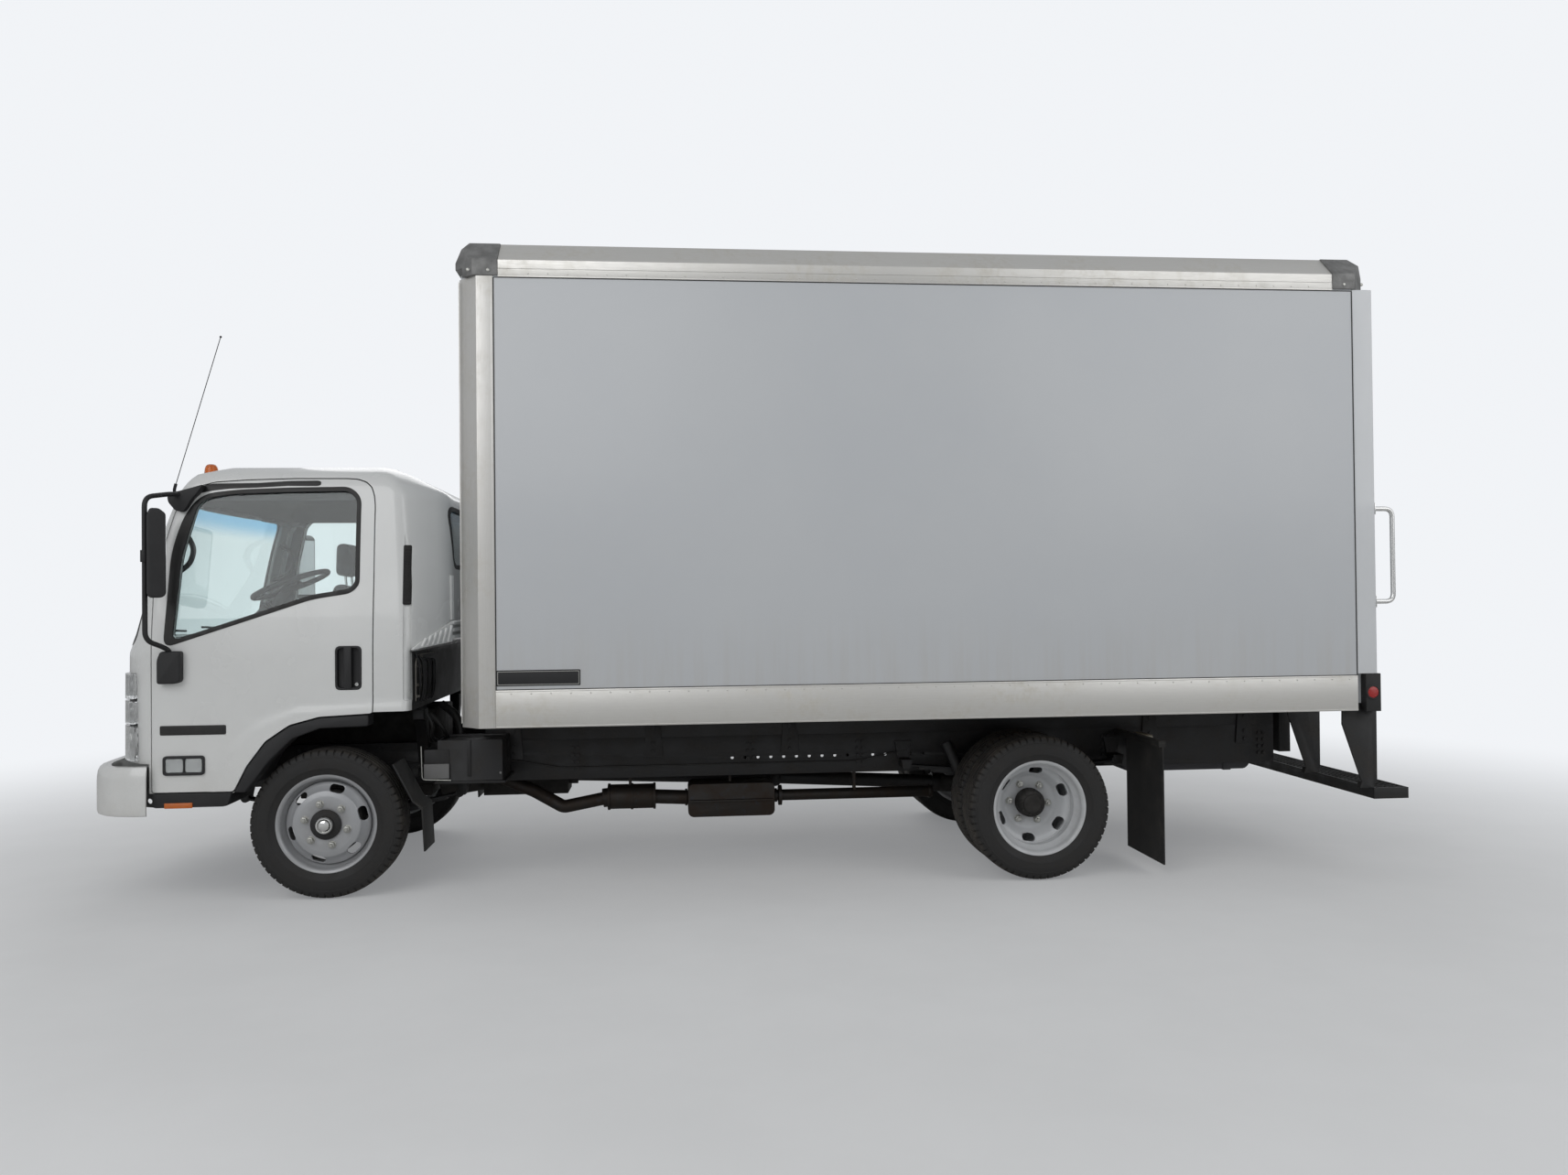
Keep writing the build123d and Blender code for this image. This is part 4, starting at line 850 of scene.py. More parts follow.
@dataclass(frozen=True)
class Pane(Finish):
    """Lightly tinted window glass with a thin film of dust."""

    def fill(self, mix: Recipe) -> None:
        """Makes the glass."""
        film = mix.noise(5.0, 6.0, 0.6)
        mix.wear(Base_Color=self.color, Transmission_Weight=1.0, IOR=1.45, Specular_IOR_Level=0.5)
        mix.wear(Roughness=mix.spread(film, 0.35, 0.8, self.rough, self.rough + 0.03))
        mix.wear(Normal=mix.bump(mix.noise(3.0, 2.0), 0.04, 0.002))


@dataclass(frozen=True)
class BandedPane(Finish):
    """Windscreen glass with a blue sun band along its top."""

    band: Point3 = (0.24, 0.55, 0.78)
    band_low: float = 1.95
    band_high: float = 2.07

    def fill(self, mix: Recipe) -> None:
        """Makes the banded glass."""
        film = mix.noise(5.0, 6.0, 0.6)
        share = mix.spread(mix.part("Z"), self.band_low, self.band_high)
        mix.wear(Base_Color=mix.mix(share, self.color, self.band), Transmission_Weight=1.0, IOR=1.45)
        mix.wear(Roughness=mix.spread(film, 0.35, 0.8, self.rough, self.rough + 0.03))
        mix.wear(Normal=mix.bump(mix.noise(3.0, 2.0), 0.04, 0.002))


@dataclass(frozen=True)
class Lens(Finish):
    """A moulded lamp lens with fine prisms."""

    clear: float = 0.35
    prisms: float = 60.0
    relief: float = 0.3

    def fill(self, mix: Recipe) -> None:
        """Makes the lens."""
        ribs = mix.waves(self.prisms, "Z")
        cloud = mix.noise(40.0, 3.0)
        mix.wear(Base_Color=mix.mix(mix.spread(cloud, 0.3, 0.8, 0.0, 0.25), self.color, self.shade(0.7)))
        mix.wear(Transmission_Weight=self.clear, Roughness=self.rough, IOR=1.49, Coat_Weight=0.5,
                 Coat_Roughness=0.03)
        mix.wear(Normal=mix.bump(ribs, self.relief, 0.0012))


@dataclass(frozen=True)
class Cloth(Finish):
    """Woven seat cloth with a plain weave."""

    threads: float = 260.0

    def fill(self, mix: Recipe) -> None:
        """Makes the cloth."""
        warp = mix.waves(self.threads, "Y")
        weft = mix.waves(self.threads, "Z")
        weave = mix.times(warp, weft)
        cloud = mix.noise(30.0, 4.0)
        color = mix.mix(mix.spread(cloud, 0.3, 0.75), self.color, self.shade(1.5))
        mix.wear(Base_Color=mix.mix(mix.spread(weave, 0.2, 0.8, 0.0, 0.5), color, self.shade(0.5)))
        mix.wear(Roughness=0.9, Sheen_Weight=0.35, Sheen_Roughness=0.5, Normal=mix.bump(weave, 0.4, 0.001))


@dataclass(frozen=True)
class Planking(Finish):
    """Sealed hardwood floor of long planks."""

    def fill(self, mix: Recipe) -> None:
        """Makes the floor's timber."""
        grain = mix.noise(6.0, 7.0, 0.65, mix.stretch((1.0, 14.0, 14.0)))
        plank = mix.waves(3.4, "Y")
        color = mix.mix(mix.spread(grain, 0.3, 0.7), self.color, self.shade(0.6))
        seam = mix.spread(plank, 0.03, 0.0, 0.0, 1.0)
        mix.wear(Base_Color=mix.mix(seam, color, (0.05, 0.035, 0.02)),
                 Roughness=mix.spread(grain, 0.3, 0.7, 0.42, 0.6))
        mix.wear(Normal=mix.bump(grain, 0.25, 0.001))


CAB_WHITE = GlossPaint("cab_paint_white", "cab_paint", (0.8, 0.81, 0.8), 0.22)
FRAME_BLACK = ChassisPaint("chassis_paint_black", "chassis_paint", (0.009, 0.009, 0.01), 0.42)
STEP_BLACK = ChassisPaint("step_paint_black", "chassis_paint", (0.013, 0.013, 0.0135), 0.5, 0.2)
POST_WHITE = GlossPaint("rear_frame_white", "cab_paint", (0.74, 0.76, 0.78), 0.32, 1.0, 0.2)
CAST_GREY = Casting("cap_cast_grey", "cap_casting", (0.3, 0.3, 0.295), 0.5, 0.55)
CAST_IRON = Casting("drive_cast_iron", "cast_metal", (0.05, 0.047, 0.044), 0.6, 0.5)
RAIL_X = Extrusion("rail_drawn_lengthwise", "rail_aluminium", (0.7, 0.69, 0.66), 0.37, Axis.X)
RAIL_Z = Extrusion("post_drawn_upright", "rail_aluminium", (0.7, 0.69, 0.665), 0.38, Axis.Z)
HANDLE_BRIGHT = Bright("handle_bright", "rail_aluminium", (0.78, 0.78, 0.77), 0.22)
PANEL_WHITE = PanelSkin("panel_gelcoat", "body_panel", (0.64, 0.66, 0.68), 0.4)
TRIM_BLACK = MouldedPlastic("trim_black", "black_plastic", (0.012, 0.012, 0.013), 0.5)
SEAL_BLACK = RubberSheet("seal_black", "flap_rubber", (0.008, 0.008, 0.008), 0.45, 0.08)
CABIN_GREY = MouldedPlastic("cabin_grey", "black_plastic", (0.042, 0.042, 0.045), 0.6, 700.0)
FLAP_BLACK = RubberSheet("flap_black", "flap_rubber", (0.012, 0.012, 0.012), 0.7, 0.16)
HOT_STEEL = HeatedSteel("exhaust_heated", "exhaust_steel", (0.045, 0.041, 0.038), 0.45)
TANK_BLACK = MouldedPlastic("tank_moulded", "tank_plastic", (0.045, 0.045, 0.05), 0.55, 500.0)
WINDOW = Pane("window_tinted", "window_glass", (0.84, 0.91, 0.905), 0.0)
CLEAR_LENS = Lens("lens_clear", "lamp_clear", (0.86, 0.88, 0.88), 0.06, 0.75)
HEAD_LENS = Lens("lens_head", "lamp_clear", (0.95, 0.96, 0.96), 0.015, 0.97, 14.0, 0.05)
AMBER_LENS = Lens("lens_amber", "lamp_amber", (0.9, 0.2, 0.01), 0.12, 0.3, 90.0)
RED_LENS = Lens("lens_red", "lamp_red", (0.55, 0.012, 0.01), 0.12, 0.25, 90.0)
MIRROR_FACE = Bright("mirror_face", "rail_aluminium", (0.86, 0.87, 0.88), 0.02)
PLATED = Bright("plated_bright", "rail_aluminium", (0.75, 0.75, 0.74), 0.14)
ZINC = Bright("zinc_dull", "rail_aluminium", (0.5, 0.5, 0.47), 0.34)
ZINC_DARK = Bright("zinc_weathered", "rail_aluminium", (0.2, 0.19, 0.17), 0.42)
SEAT_CLOTH = Cloth("seat_cloth", "seat_fabric", (0.035, 0.036, 0.04))
FLOOR_WOOD = Planking("floor_planks", "floor_timber", (0.36, 0.25, 0.15))
SCREEN_GLASS = BandedPane("screen_glass", "window_glass", (0.8, 0.9, 0.89), 0.0)
BRACKET_GREY = ChassisPaint("bracket_grey", "cast_metal", (0.2, 0.2, 0.2), 0.5, 0.3)
# Pale tan for the block behind the rear wheel: painted sunlight on a dark part, not a colour of its own.
TANK_PAINTED_SUNLIGHT = MouldedPlastic("tank_pale", "tank_plastic", (0.5, 0.48, 0.4), 0.4, 300.0)


def mount(obj: Piece, body: str, finish: Optional[Finish] = None, *nodes: str) -> Piece:
    """Puts a finished piece on its body, and has it stand for CAD nodes.

    Args:
        obj: The piece.
        body: The body that it rides on.
        finish: Its finish, or none where it wears its finishes already.
        nodes: CAD nodes that it stands for.

    Returns:
        The piece.
    """
    if finish is not None:
        finish.wear(obj)
    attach(obj, body)
    if nodes:
        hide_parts(*nodes)
    LOG.info("%s rides on %s with %d faces", obj.name, body, len(obj.data.polygons))
    return obj


def mount_pair(piece: Piece, body: str, finish: Finish, node: str = "", degrees: float = 40.0) -> None:
    """Puts a piece on the left one of two bodies, and its mirror image on the right one.

    Args:
        piece: The left piece.
        body: The bodies' name without left or right.
        finish: The finish of both pieces.
        node: The name, without left or right, of the CAD nodes that they stand for.
        degrees: The mirror image is shaded smooth where faces meet at less than this.
    """
    twin = Bench.mirror(piece, piece.name.removesuffix("_left") + "_right")
    Bench.smooth(twin, degrees)
    for obj, side in ((piece, "_left"), (twin, "_right")):
        mount(obj, body + side, finish, *([node + side] if node else []))


def rounded(points: Sequence[Point2], radius: float, steps: int = 5) -> list[Point2]:
    """A flat closed outline with every corner rounded.

    Args:
        points: The corners.
        radius: How far each corner is cut back, in the points' own unit.
        steps: Steps in each rounding.

    Returns:
        The rounded outline.
    """
    result: list[Point2] = []
    count = len(points)
    for index, corner in enumerate(points):
        here = Vector(corner)
        before, after = Vector(points[index - 1]), Vector(points[(index + 1) % count])
        cut = min(radius, (here - before).length * 0.48, (after - here).length * 0.48)
        start = here + (before - here).normalized() * cut
        end = here + (after - here).normalized() * cut
        result += [(place.x, place.y) for place in Bench.curved(start, here, end, steps)]
    return result


def grown(points: Sequence[Point2], amount: float) -> list[Point2]:
    """A flat closed outline moved outwards all round.

    Args:
        points: The corners.
        amount: How far it moves, negative for inwards.

    Returns:
        The moved outline.
    """
    area = sum(a[0] * b[1] - b[0] * a[1] for a, b in zip(points, list(points[1:]) + [points[0]]))
    turn = 1.0 if area > 0 else -1.0
    result: list[Point2] = []
    count = len(points)
    for index, corner in enumerate(points):
        here = Vector(corner)
        first = (here - Vector(points[index - 1])).normalized()
        second = (Vector(points[(index + 1) % count]) - here).normalized()
        normal_a = Vector((first.y, -first.x)) * turn
        normal_b = Vector((second.y, -second.x)) * turn
        middle = (normal_a + normal_b).normalized()
        reach = amount / max(0.35, middle.dot(normal_a))
        place = here + middle * reach
        result.append((place.x, place.y))
    return result


def glide(places: Sequence[float], values: Sequence[float], place: float) -> float:
    """A smooth curve through values that never overshoots between them.

    Args:
        places: Rising places.
        values: The value at each place.
        place: Where the curve is read.

    Returns:
        The curve's value there.
    """
    if place <= places[0]:
        return values[0]
    if place >= places[-1]:
        return values[-1]
    slopes = [(b - a) / (q - p) for a, b, p, q in zip(values, values[1:], places, places[1:])]
    tangents = [slopes[0]]
    for left, right in zip(slopes, slopes[1:]):
        tangents.append(0.0 if left * right <= 0 else 2 * left * right / (left + right))
    tangents.append(slopes[-1])
    index = max(i for i in range(len(places) - 1) if places[i] <= place)
    width = places[index + 1] - places[index]
    t = (place - places[index]) / width
    return ((2 * t ** 3 - 3 * t ** 2 + 1) * values[index] + (t ** 3 - 2 * t ** 2 + t) * width * tangents[index]
            + (3 * t ** 2 - 2 * t ** 3) * values[index + 1] + (t ** 3 - t ** 2) * width * tangents[index + 1])


@dataclass
class CabSkin:
    """The cab's outer form as plan outlines from the sill to the crown of the roof."""

    sections: tuple[tuple[float, ...], ...] = (
        (583, 1112, 1045, 830, 880, 985, -430, 1000, -450, 930),
        (1295, 1112, 1040, 828, 885, 982, -437, 996, -452, 926),
        (1345, 1096, 1024, 824, 886, 980, -437, 994, -610, 760),
        (1620, 1008, 940, 806, 878, 952, -425, 970, -615, 760),
        (2120, 850, 790, 760, 762, 893, -385, 914, -600, 720),
        (2240, 770, 715, 730, 690, 836, -320, 858, -420, 700),
        (2293, 640, 590, 610, 560, 700, -250, 720, -300, 610),
    )
    crease: tuple[Point2, ...] = ((575, 572), (466, 811), (330, 933), (133, 1008), (-257, 1024), (-500, 1026))
    crease_rise: float = 9.0
    step: float = 24.0

    def bulge(self, x: float, z: float) -> float:
        """How far the arch's surround stands out of the door's flat side.

        Args:
            x: Millimetres ahead of the front axle.
            z: Millimetres above the ground.

        Returns:
            The rise in millimetres.
        """
        best = 1e9
        inside = 1.0
        for (ax, az), (bx, bz) in zip(self.crease, self.crease[1:]):
            run = Vector((bx - ax, bz - az))
            away = Vector((x - ax, z - az))
            t = min(1.0, max(0.0, away.dot(run) / run.length_squared))
            gap = away - run * t
            if gap.length < abs(best):
                inside = 1.0 if run.x * away.y - run.y * away.x > 0 else -1.0
                best = gap.length
        depth = inside * best
        t = min(1.0, max(0.0, (depth + 8.0) / 26.0))
        return self.crease_rise * t * t * (3 - 2 * t)

    def plan(self, z: float, inset: float) -> list[Point2]:
        """The left half of the plan outline at one level.

        Args:
            z: The level in millimetres.
            inset: How far every face is moved in.

        Returns:
            Points from the nose's middle round to the back's middle.
        """
        levels = [section[0] for section in self.sections]
        nose, cx, cy, fx, fy, rx, ry, bx, by = (
            glide(levels, [section[column] for section in self.sections], z) for column in range(1, 10))
        nose, cx, cy = nose - inset, cx - inset * 0.9, cy - inset * 0.7
        fx, fy, rx, ry = fx - inset * 0.5, fy - inset, rx + inset * 0.5, ry - inset
        bx, by = bx + inset, by - inset * 0.6
        sag = max(1.0, nose - cx)
        radius = (sag * sag + cy * cy) / (2 * sag)

        def arc(y: float) -> Vector:
            """A point on the nose's arc."""
            return Vector((nose - (radius - math.sqrt(radius * radius - y * y)), y))

        corner, front, rear, back = Vector((cx, cy)), Vector((fx, fy)), Vector((rx, ry)), Vector((bx, by))
        front_cut = min(120.0, (front - corner).length * 0.45)
        rear_cut = min(45.0, (back - rear).length * 0.42)
        back_cut = min(90.0, (back - rear).length * 0.42)
        reach = cy - front_cut * 0.95
        points = [arc(reach * index / 15) for index in range(15)]
        start = arc(reach)
        stops = ((corner, front_cut, 7, 3), (front, front_cut, 7, 44), (rear, rear_cut, 6, 4),
                 (back, back_cut, 6, 8))
        for index, (place, cut, bends, steps) in enumerate(stops):
            if place is back:
                onward = Vector((0, -1))
                goal = Vector((bx, 0))
            else:
                after, after_cut = stops[index + 1][:2]
                onward = (after - place).normalized()
                goal = after - onward * after_cut
            end = place + onward * cut
            points += Bench.curved(start, place, end, bends)
            points += [end.lerp(goal, step / steps) for step in range(1, steps)]
            start = goal
        points.append(start)
        result: list[Point2] = []
        for x, y in points:
            if inset < 30 and y > 600 and z < 1200 and x > -460:
                y += self.bulge(x, z) * min(1.0, max(0.0, (y - 600) / 300))
            result.append((x, y))
        return result

    def solid(self, name: str, inset: float = 0.0) -> Piece:
        """The closed form: a loft through its plan outlines from the sill to the crown.

        Args:
            name: The piece's name.
            inset: How far every face is moved in, in millimetres.

        Returns:
            The closed object.
        """
        top = self.sections[-1][0] - inset * 0.75
        base = self.sections[0][0] - (2.0 if inset else 0.0)
        count = int((top - base) / self.step)
        levels = [base + (top - base) * index / count for index in range(count + 1)]
        rings: list[list[Vector]] = []
        for z in levels:
            half = self.plan(min(z * (self.sections[-1][0] / top) if z > 2200 else z, self.sections[-1][0]),
                             inset)
            ring = half + [(x, -y) for x, y in reversed(half[1:-1])]
            rings.append([spot(x, y, z) for x, y in ring])
        middle = spot(170, 0, top)
        last = rings[-1]
        for share, rise in ((0.93, 3.5), (0.8, 8.0), (0.6, 13.0), (0.35, 16.0), (0.12, 17.0)):
            rings.append([middle.lerp(point, share) + Vector((0, 0, rise / 1000)) for point in last])
        return Bench.loft(name, rings)


class Studio:
    """The camera at the photograph's angle, plain soft light and a pale floor."""

    eye: Point3 = (0.4807, 7.1367, 1.5465)
    yaw: float = 0.09568
    pitch: float = 0.01086
    roll: float = -0.01039
    focal: float = 1246.57
    width: float = 1713.0
    sky_color: Point3 = (0.95, 0.97, 1.0)
    sky_seen: float = 0.93

    def camera(self) -> None:
        """Makes the camera from its solved place and turn."""
        ahead = Vector((-math.sin(self.yaw), -math.cos(self.yaw), 0))
        right = Vector((-math.cos(self.yaw), math.sin(self.yaw), 0))
        level = Vector((0, 0, 1))
        forward = ahead * math.cos(self.pitch) + level * math.sin(self.pitch)
        rise = level * math.cos(self.pitch) - ahead * math.sin(self.pitch)
        across = right * math.cos(self.roll) + rise * math.sin(self.roll)
        upright = rise * math.cos(self.roll) - right * math.sin(self.roll)
        data = bpy.data.cameras.new("camera")
        data.sensor_width = 36.0
        data.sensor_fit = "HORIZONTAL"
        data.lens = self.focal / self.width * 36.0
        data.clip_start, data.clip_end = 0.05, 200.0
        camera = bpy.data.objects.new("camera", data)
        bpy.context.scene.collection.objects.link(camera)
        turn = Matrix((across, upright, -forward)).transposed()
        camera.matrix_world = Matrix.Translation(self.eye) @ turn.to_4x4()
        bpy.context.scene.camera = camera

    def lamp(self, name: str, place: Point3, aim: Point3, size: float, power: float) -> None:
        """A large square lamp.

        Args:
            name: The lamp's name.
            place: Where it hangs.
            aim: What it points at.
            size: Its side in metres.
            power: Its power in watts.
        """
        data = bpy.data.lights.new(name, "AREA")
        data.size = size
        data.energy = power
        lamp = bpy.data.objects.new(name, data)
        bpy.context.scene.collection.objects.link(lamp)
        lamp.location = place
        lamp.rotation_mode = "QUATERNION"
        lamp.rotation_quaternion = (Vector(aim) - Vector(place)).to_track_quat("-Z", "Y")

    def world(self) -> None:
        """A soft even sky, near white to the camera and through glass, and dimmer for gloss and fill."""
        world = bpy.data.worlds.new("sky")
        bpy.context.scene.world = world
        world.use_nodes = True
        tree = world.node_tree
        tree.nodes.clear()
        path = tree.nodes.new("ShaderNodeLightPath")

        def strength(kind: str, power: float, floor: object) -> Socket:
            """The larger of a floor value and the power that one kind of ray sees."""
            scaled = tree.nodes.new("ShaderNodeMath")
            scaled.operation = "MULTIPLY"
            tree.links.new(path.outputs[kind], scaled.inputs[0])
            scaled.inputs[1].default_value = power
            larger = tree.nodes.new("ShaderNodeMath")
            larger.operation = "MAXIMUM"
            tree.links.new(scaled.outputs[0], larger.inputs[0])
            if isinstance(floor, Socket):
                tree.links.new(floor, larger.inputs[1])
            else:
                larger.inputs[1].default_value = floor
            return larger.outputs[0]

        power = strength("Is Camera Ray", self.sky_seen, strength("Is Transmission Ray", self.sky_seen,
                                                                  strength("Is Glossy Ray", 0.5, 0.3)))
        sky = tree.nodes.new("ShaderNodeBackground")
        sky.inputs["Color"].default_value = (*self.sky_color, 1.0)
        tree.links.new(power, sky.inputs["Strength"])
        output = tree.nodes.new("ShaderNodeOutputWorld")
        tree.links.new(sky.outputs[0], output.inputs["Surface"])

    def floor(self) -> None:
        """A plain pale floor that fades into the sky's white for the camera."""
        Bench.clear()
        bpy.ops.mesh.primitive_plane_add(size=120.0, location=(0, 0, -0.001))
        floor = bpy.context.object
        floor.name = "studio_floor"
        mix = Recipe("studio_floor")
        cloud = mix.noise(1.5, 4.0)
        mix.wear(Base_Color=mix.mix(mix.spread(cloud, 0.3, 0.7), (0.8, 0.8, 0.79), (0.765, 0.765, 0.755)))
        mix.wear(Roughness=0.85, Normal=mix.bump(mix.noise(30.0, 4.0), 0.1, 0.004))
        away = mix.spread(mix.length(mix.place), 3.4, 9.0, 0.22, 1.0)
        share = mix.times(mix.node("LightPath", "Is Camera Ray", {}), away)
        white = mix.node("Emission", "Emission", {}, Color=self.sky_color, Strength=self.sky_seen)
        blend = mix.node("MixShader", "Shader", {}, share, mix.shader.outputs["BSDF"], white)
        mix.link(blend, mix.output.inputs["Surface"])
        floor.data.materials.append(mix.material)

    def build(self) -> None:
        """Sets the view, the lamps, the sky and the floor."""
        bpy.context.scene.view_settings.view_transform = "Standard"
        self.camera()
        self.world()
        self.floor()
        self.lamp("key", (6.0, 9.0, 7.0), (0.0, 0.0, 1.4), 8.0, 315.0)
        self.lamp("fill", (-8.0, 7.0, 6.0), (-1.0, 0.0, 1.2), 8.0, 210.0)
        self.lamp("far", (2.0, -10.0, 8.0), (0.0, 0.0, 1.4), 8.0, 210.0)


def about_wheel(centre: Vector, radius: float, angle: float, out: float) -> Vector:
    """A place on a wheel.

    Args:
        centre: The wheel's middle.
        radius: Millimetres from the axle.
        angle: Degrees clockwise from the top, seen from the truck's left.
        out: Millimetres outwards along Y.

    Returns:
        The place in metres.
    """
    turn = math.radians(angle)
    return centre + Vector((-math.sin(turn) * radius, out, math.cos(turn) * radius)) / 1000


@dataclass
class Tyres:
    """Six road tyres with four grooves, notched shoulders and rounded sidewalls."""

    pitches: int = 60
    notch_depth: float = 8.0
    half: tuple[Point2, ...] = (
        (392.9, 0), (392.7, 14.6), (382.5, 16), (382.5, 24), (392.5, 25.4), (392.0, 54.6), (381.5, 56),
        (381.5, 64), (391.6, 65.4), (389.8, 84), (386.5, 94), (381, 100), (373, 104.6), (363, 107.4),
        (357, 108.4), (355.5, 110.2), (350, 111.0), (348.5, 110.4), (335, 112.4), (318, 112.9), (301, 111.4),
        (299.5, 112.2), (294, 111), (292.5, 109.4), (278, 104.2), (266, 98), (258, 93.4), (251, 90.5),
        (248.1, 87), (248.1, 78), (256, 74), (268, 82), (300, 99), (330, 103), (358, 98), (374, 86),
        (378, 60), (379, 0),
    )

    def ring(self, name: str, centre: Vector) -> Piece:
        """One tyre, made of one pitch of its tread that is spun round.

        Args:
            name: The tyre's name.
            centre: The wheel's middle.

        Returns:
            The tyre.
        """
        loop = list(self.half) + [(radius, -y) for radius, y in reversed(self.half[1:-1])]
        rows = ((0.0, False), (0.25, True), (1.35, True), (1.6, False), (360.0 / self.pitches, False))
        rings = []
        for angle, low in rows:
            ring = []
            for radius, y in loop:
                notch = self.notch_depth if low and 66 < abs(y) < 106 and radius > 372 else 0.0
                ring.append(about_wheel(centre, radius - notch, angle, y))
            rings.append(ring)
        obj = Bench.loft(name, rings, caps=False)
        Bench.edit(obj)
        share = (self.pitches - 1) / self.pitches
        bpy.ops.mesh.spin(steps=self.pitches - 1, dupli=True, angle=2 * math.pi * share, center=centre,
                          axis=(0, 1, 0))
        Bench.done()
        Bench.tidy(obj)
        return Bench.smooth(obj, 28)

    def build(self) -> None:
        """Makes the front pair and the four rear tyres."""
        front, rear = spot(*FRONT_WHEEL), spot(*REAR_WHEEL)
        black = (0.012, 0.012, 0.0125)
        left = self.ring("tyre_front_left", front)
        rubber = TyreRubber("tyre_rubber_front", "tyre_rubber", black, 0.62, tuple(front))
        mount_pair(left, "front_wheel", rubber, "front_tyre", 28)
        outer = Bench.copy(left, "tyre_rear_left", Matrix.Translation(rear - front))
        inner = Bench.moved(outer, "tyre_rear_inner", (0, -TWIN_GAP, 0))
        twins = Bench.smooth(Bench.join("tyres_rear_left", [outer, inner]), 28)
        rubber = TyreRubber("tyre_rubber_rear", "tyre_rubber", black, 0.62, tuple(rear))
        mount_pair(twins, "rear_wheels", rubber, "rear_tyres", 28)


@dataclass
class Wheels:
    """Pressed steel wheels with oval hand holes, nuts on studs and a hub."""

    steps: int = 96
    hole_pitch: float = 188.0
    stud_circle: float = 111.1
    rim: tuple[Point2, ...] = (
        (258, 97.4), (260, 95), (259.4, 91), (254, 88), (248.6, 85.4), (247, 80), (245.5, 62), (240, 52),
        (226, 36), (222, 30), (222, -30), (226, -36), (240, -52), (245.5, -62), (247, -80), (248.6, -85.4),
        (254, -88), (259.4, -91), (260, -95), (258, -97.4), (253, -97), (246, -92), (240, -86), (238, -76),
        (237, -62), (232, -48), (218, -32), (214, -27), (214, 27), (218, 32), (232, 48), (237, 62), (238, 76),
        (240, 86), (246, 92), (253, 97),
    )
    front_disc: tuple[Point2, ...] = (
        (70, 88), (70, 100), (143, 100), (150, 99), (160, 95.5), (168, 93.5), (173, 91.5), (177, 86), (181, 80),
        (193, 67), (204, 58), (212, 54.5), (217, 50), (218, 44), (218, 26), (207, 26), (206, 42), (198, 49),
        (185, 60), (172, 74), (166, 81), (152, 86), (142, 88),
    )
    rear_disc: tuple[Point2, ...] = (
        (72, -127), (72, -115), (136, -115), (145, -113), (152, -107), (160, -96), (175, -66), (184, -50),
        (192, -42), (202, -37), (208, -33), (208, -27), (218, -27), (218, -45), (212, -49), (202, -51),
        (194, -58), (184, -76), (170, -102), (162, -118), (154, -126.5), (146, -127),
    )

    def hole(self, centre: Vector, angle: float, low: float, high: float) -> Piece:
        """The cutter of one oval hand hole.

        Args:
            centre: The wheel's middle.
            angle: Degrees clockwise from the top.
            low: Where it starts along Y in millimetres.
            high: Where it ends.

        Returns:
            The cutter.
        """
        outline = []
        for end, start in ((1, -90), (-1, 90)):
            for step in range(9):
                turn = math.radians(start + step * 22.5)
                outline.append((end * 19.0 + 19.5 * math.cos(turn), 19.5 * math.sin(turn)))
        swing = math.radians(angle)
        points = []
        for along, across in outline:
            radius = self.hole_pitch + across
            x = -math.sin(swing) * radius - math.cos(swing) * along
            z = math.cos(swing) * radius - math.sin(swing) * along
            points.append((centre.x + x / 1000, centre.z + z / 1000))
        return Bench.prism("hole", points, Axis.Y, centre.y + low / 1000, centre.y + high / 1000)

    def holed(self, name: str, profile: Sequence[Point2], centre: Vector, first: float) -> Piece:
        """A disc with six hand holes and softened hole edges.

        Args:
            name: The disc's name.
            profile: Its section in millimetres.
            centre: The wheel's middle.
            first: Angle of the first hole.

        Returns:
            The disc.
        """
        disc = Bench.lathe(name, profile, centre, Axis.Y, self.steps)
        tools = [self.hole(centre, first + 60 * index, -160, 160) for index in range(6)]
        cutters = Bench.join("holes", tools)
        Bench.cut(disc, [cutters])
        Bench.soften(disc, 0.0022, 2, 46)
        return Bench.smooth(disc, 36)

    def nuts(self, name: str, centre: Vector, seat: float, first: float) -> Piece:
        """Six hexagon nuts with washers and stud ends.

        Args:
            name: The piece's name.
            centre: The wheel's middle.
            seat: Where the nuts sit along Y in millimetres.
            first: Angle of the first nut.

        Returns:
            The nuts in one piece.
        """
        nut_centre = about_wheel(centre, self.stud_circle, first, seat)
        washer = Bench.lathe("washer", [(9, 0), (21, 0), (21, 2.4), (19.6, 3.6), (9, 3.6)], nut_centre,
                             Axis.Y, 24)
        hexagon = [(nut_centre.x + math.sin(math.radians(60 * k + 20)) * 0.0175,
                    nut_centre.z + math.cos(math.radians(60 * k + 20)) * 0.0175) for k in range(6)]
        body = Bench.prism("nut", hexagon, Axis.Y, nut_centre.y + 0.0036, nut_centre.y + 0.022)
        Bench.soften(body, 0.0016, 2)
        stud = Bench.lathe("stud", [(0, 3), (9.6, 3), (9.6, 29), (8.2, 31), (0, 31)], nut_centre, Axis.Y, 16)
        one = Bench.join(name, [washer, body, stud])
        copies = [one] + [Bench.turned(one, "nut_copy", centre, Axis.Y,
                                       -math.radians(60 * k)) for k in range(1, 6)]
        return Bench.smooth(Bench.join(name, copies), 34)

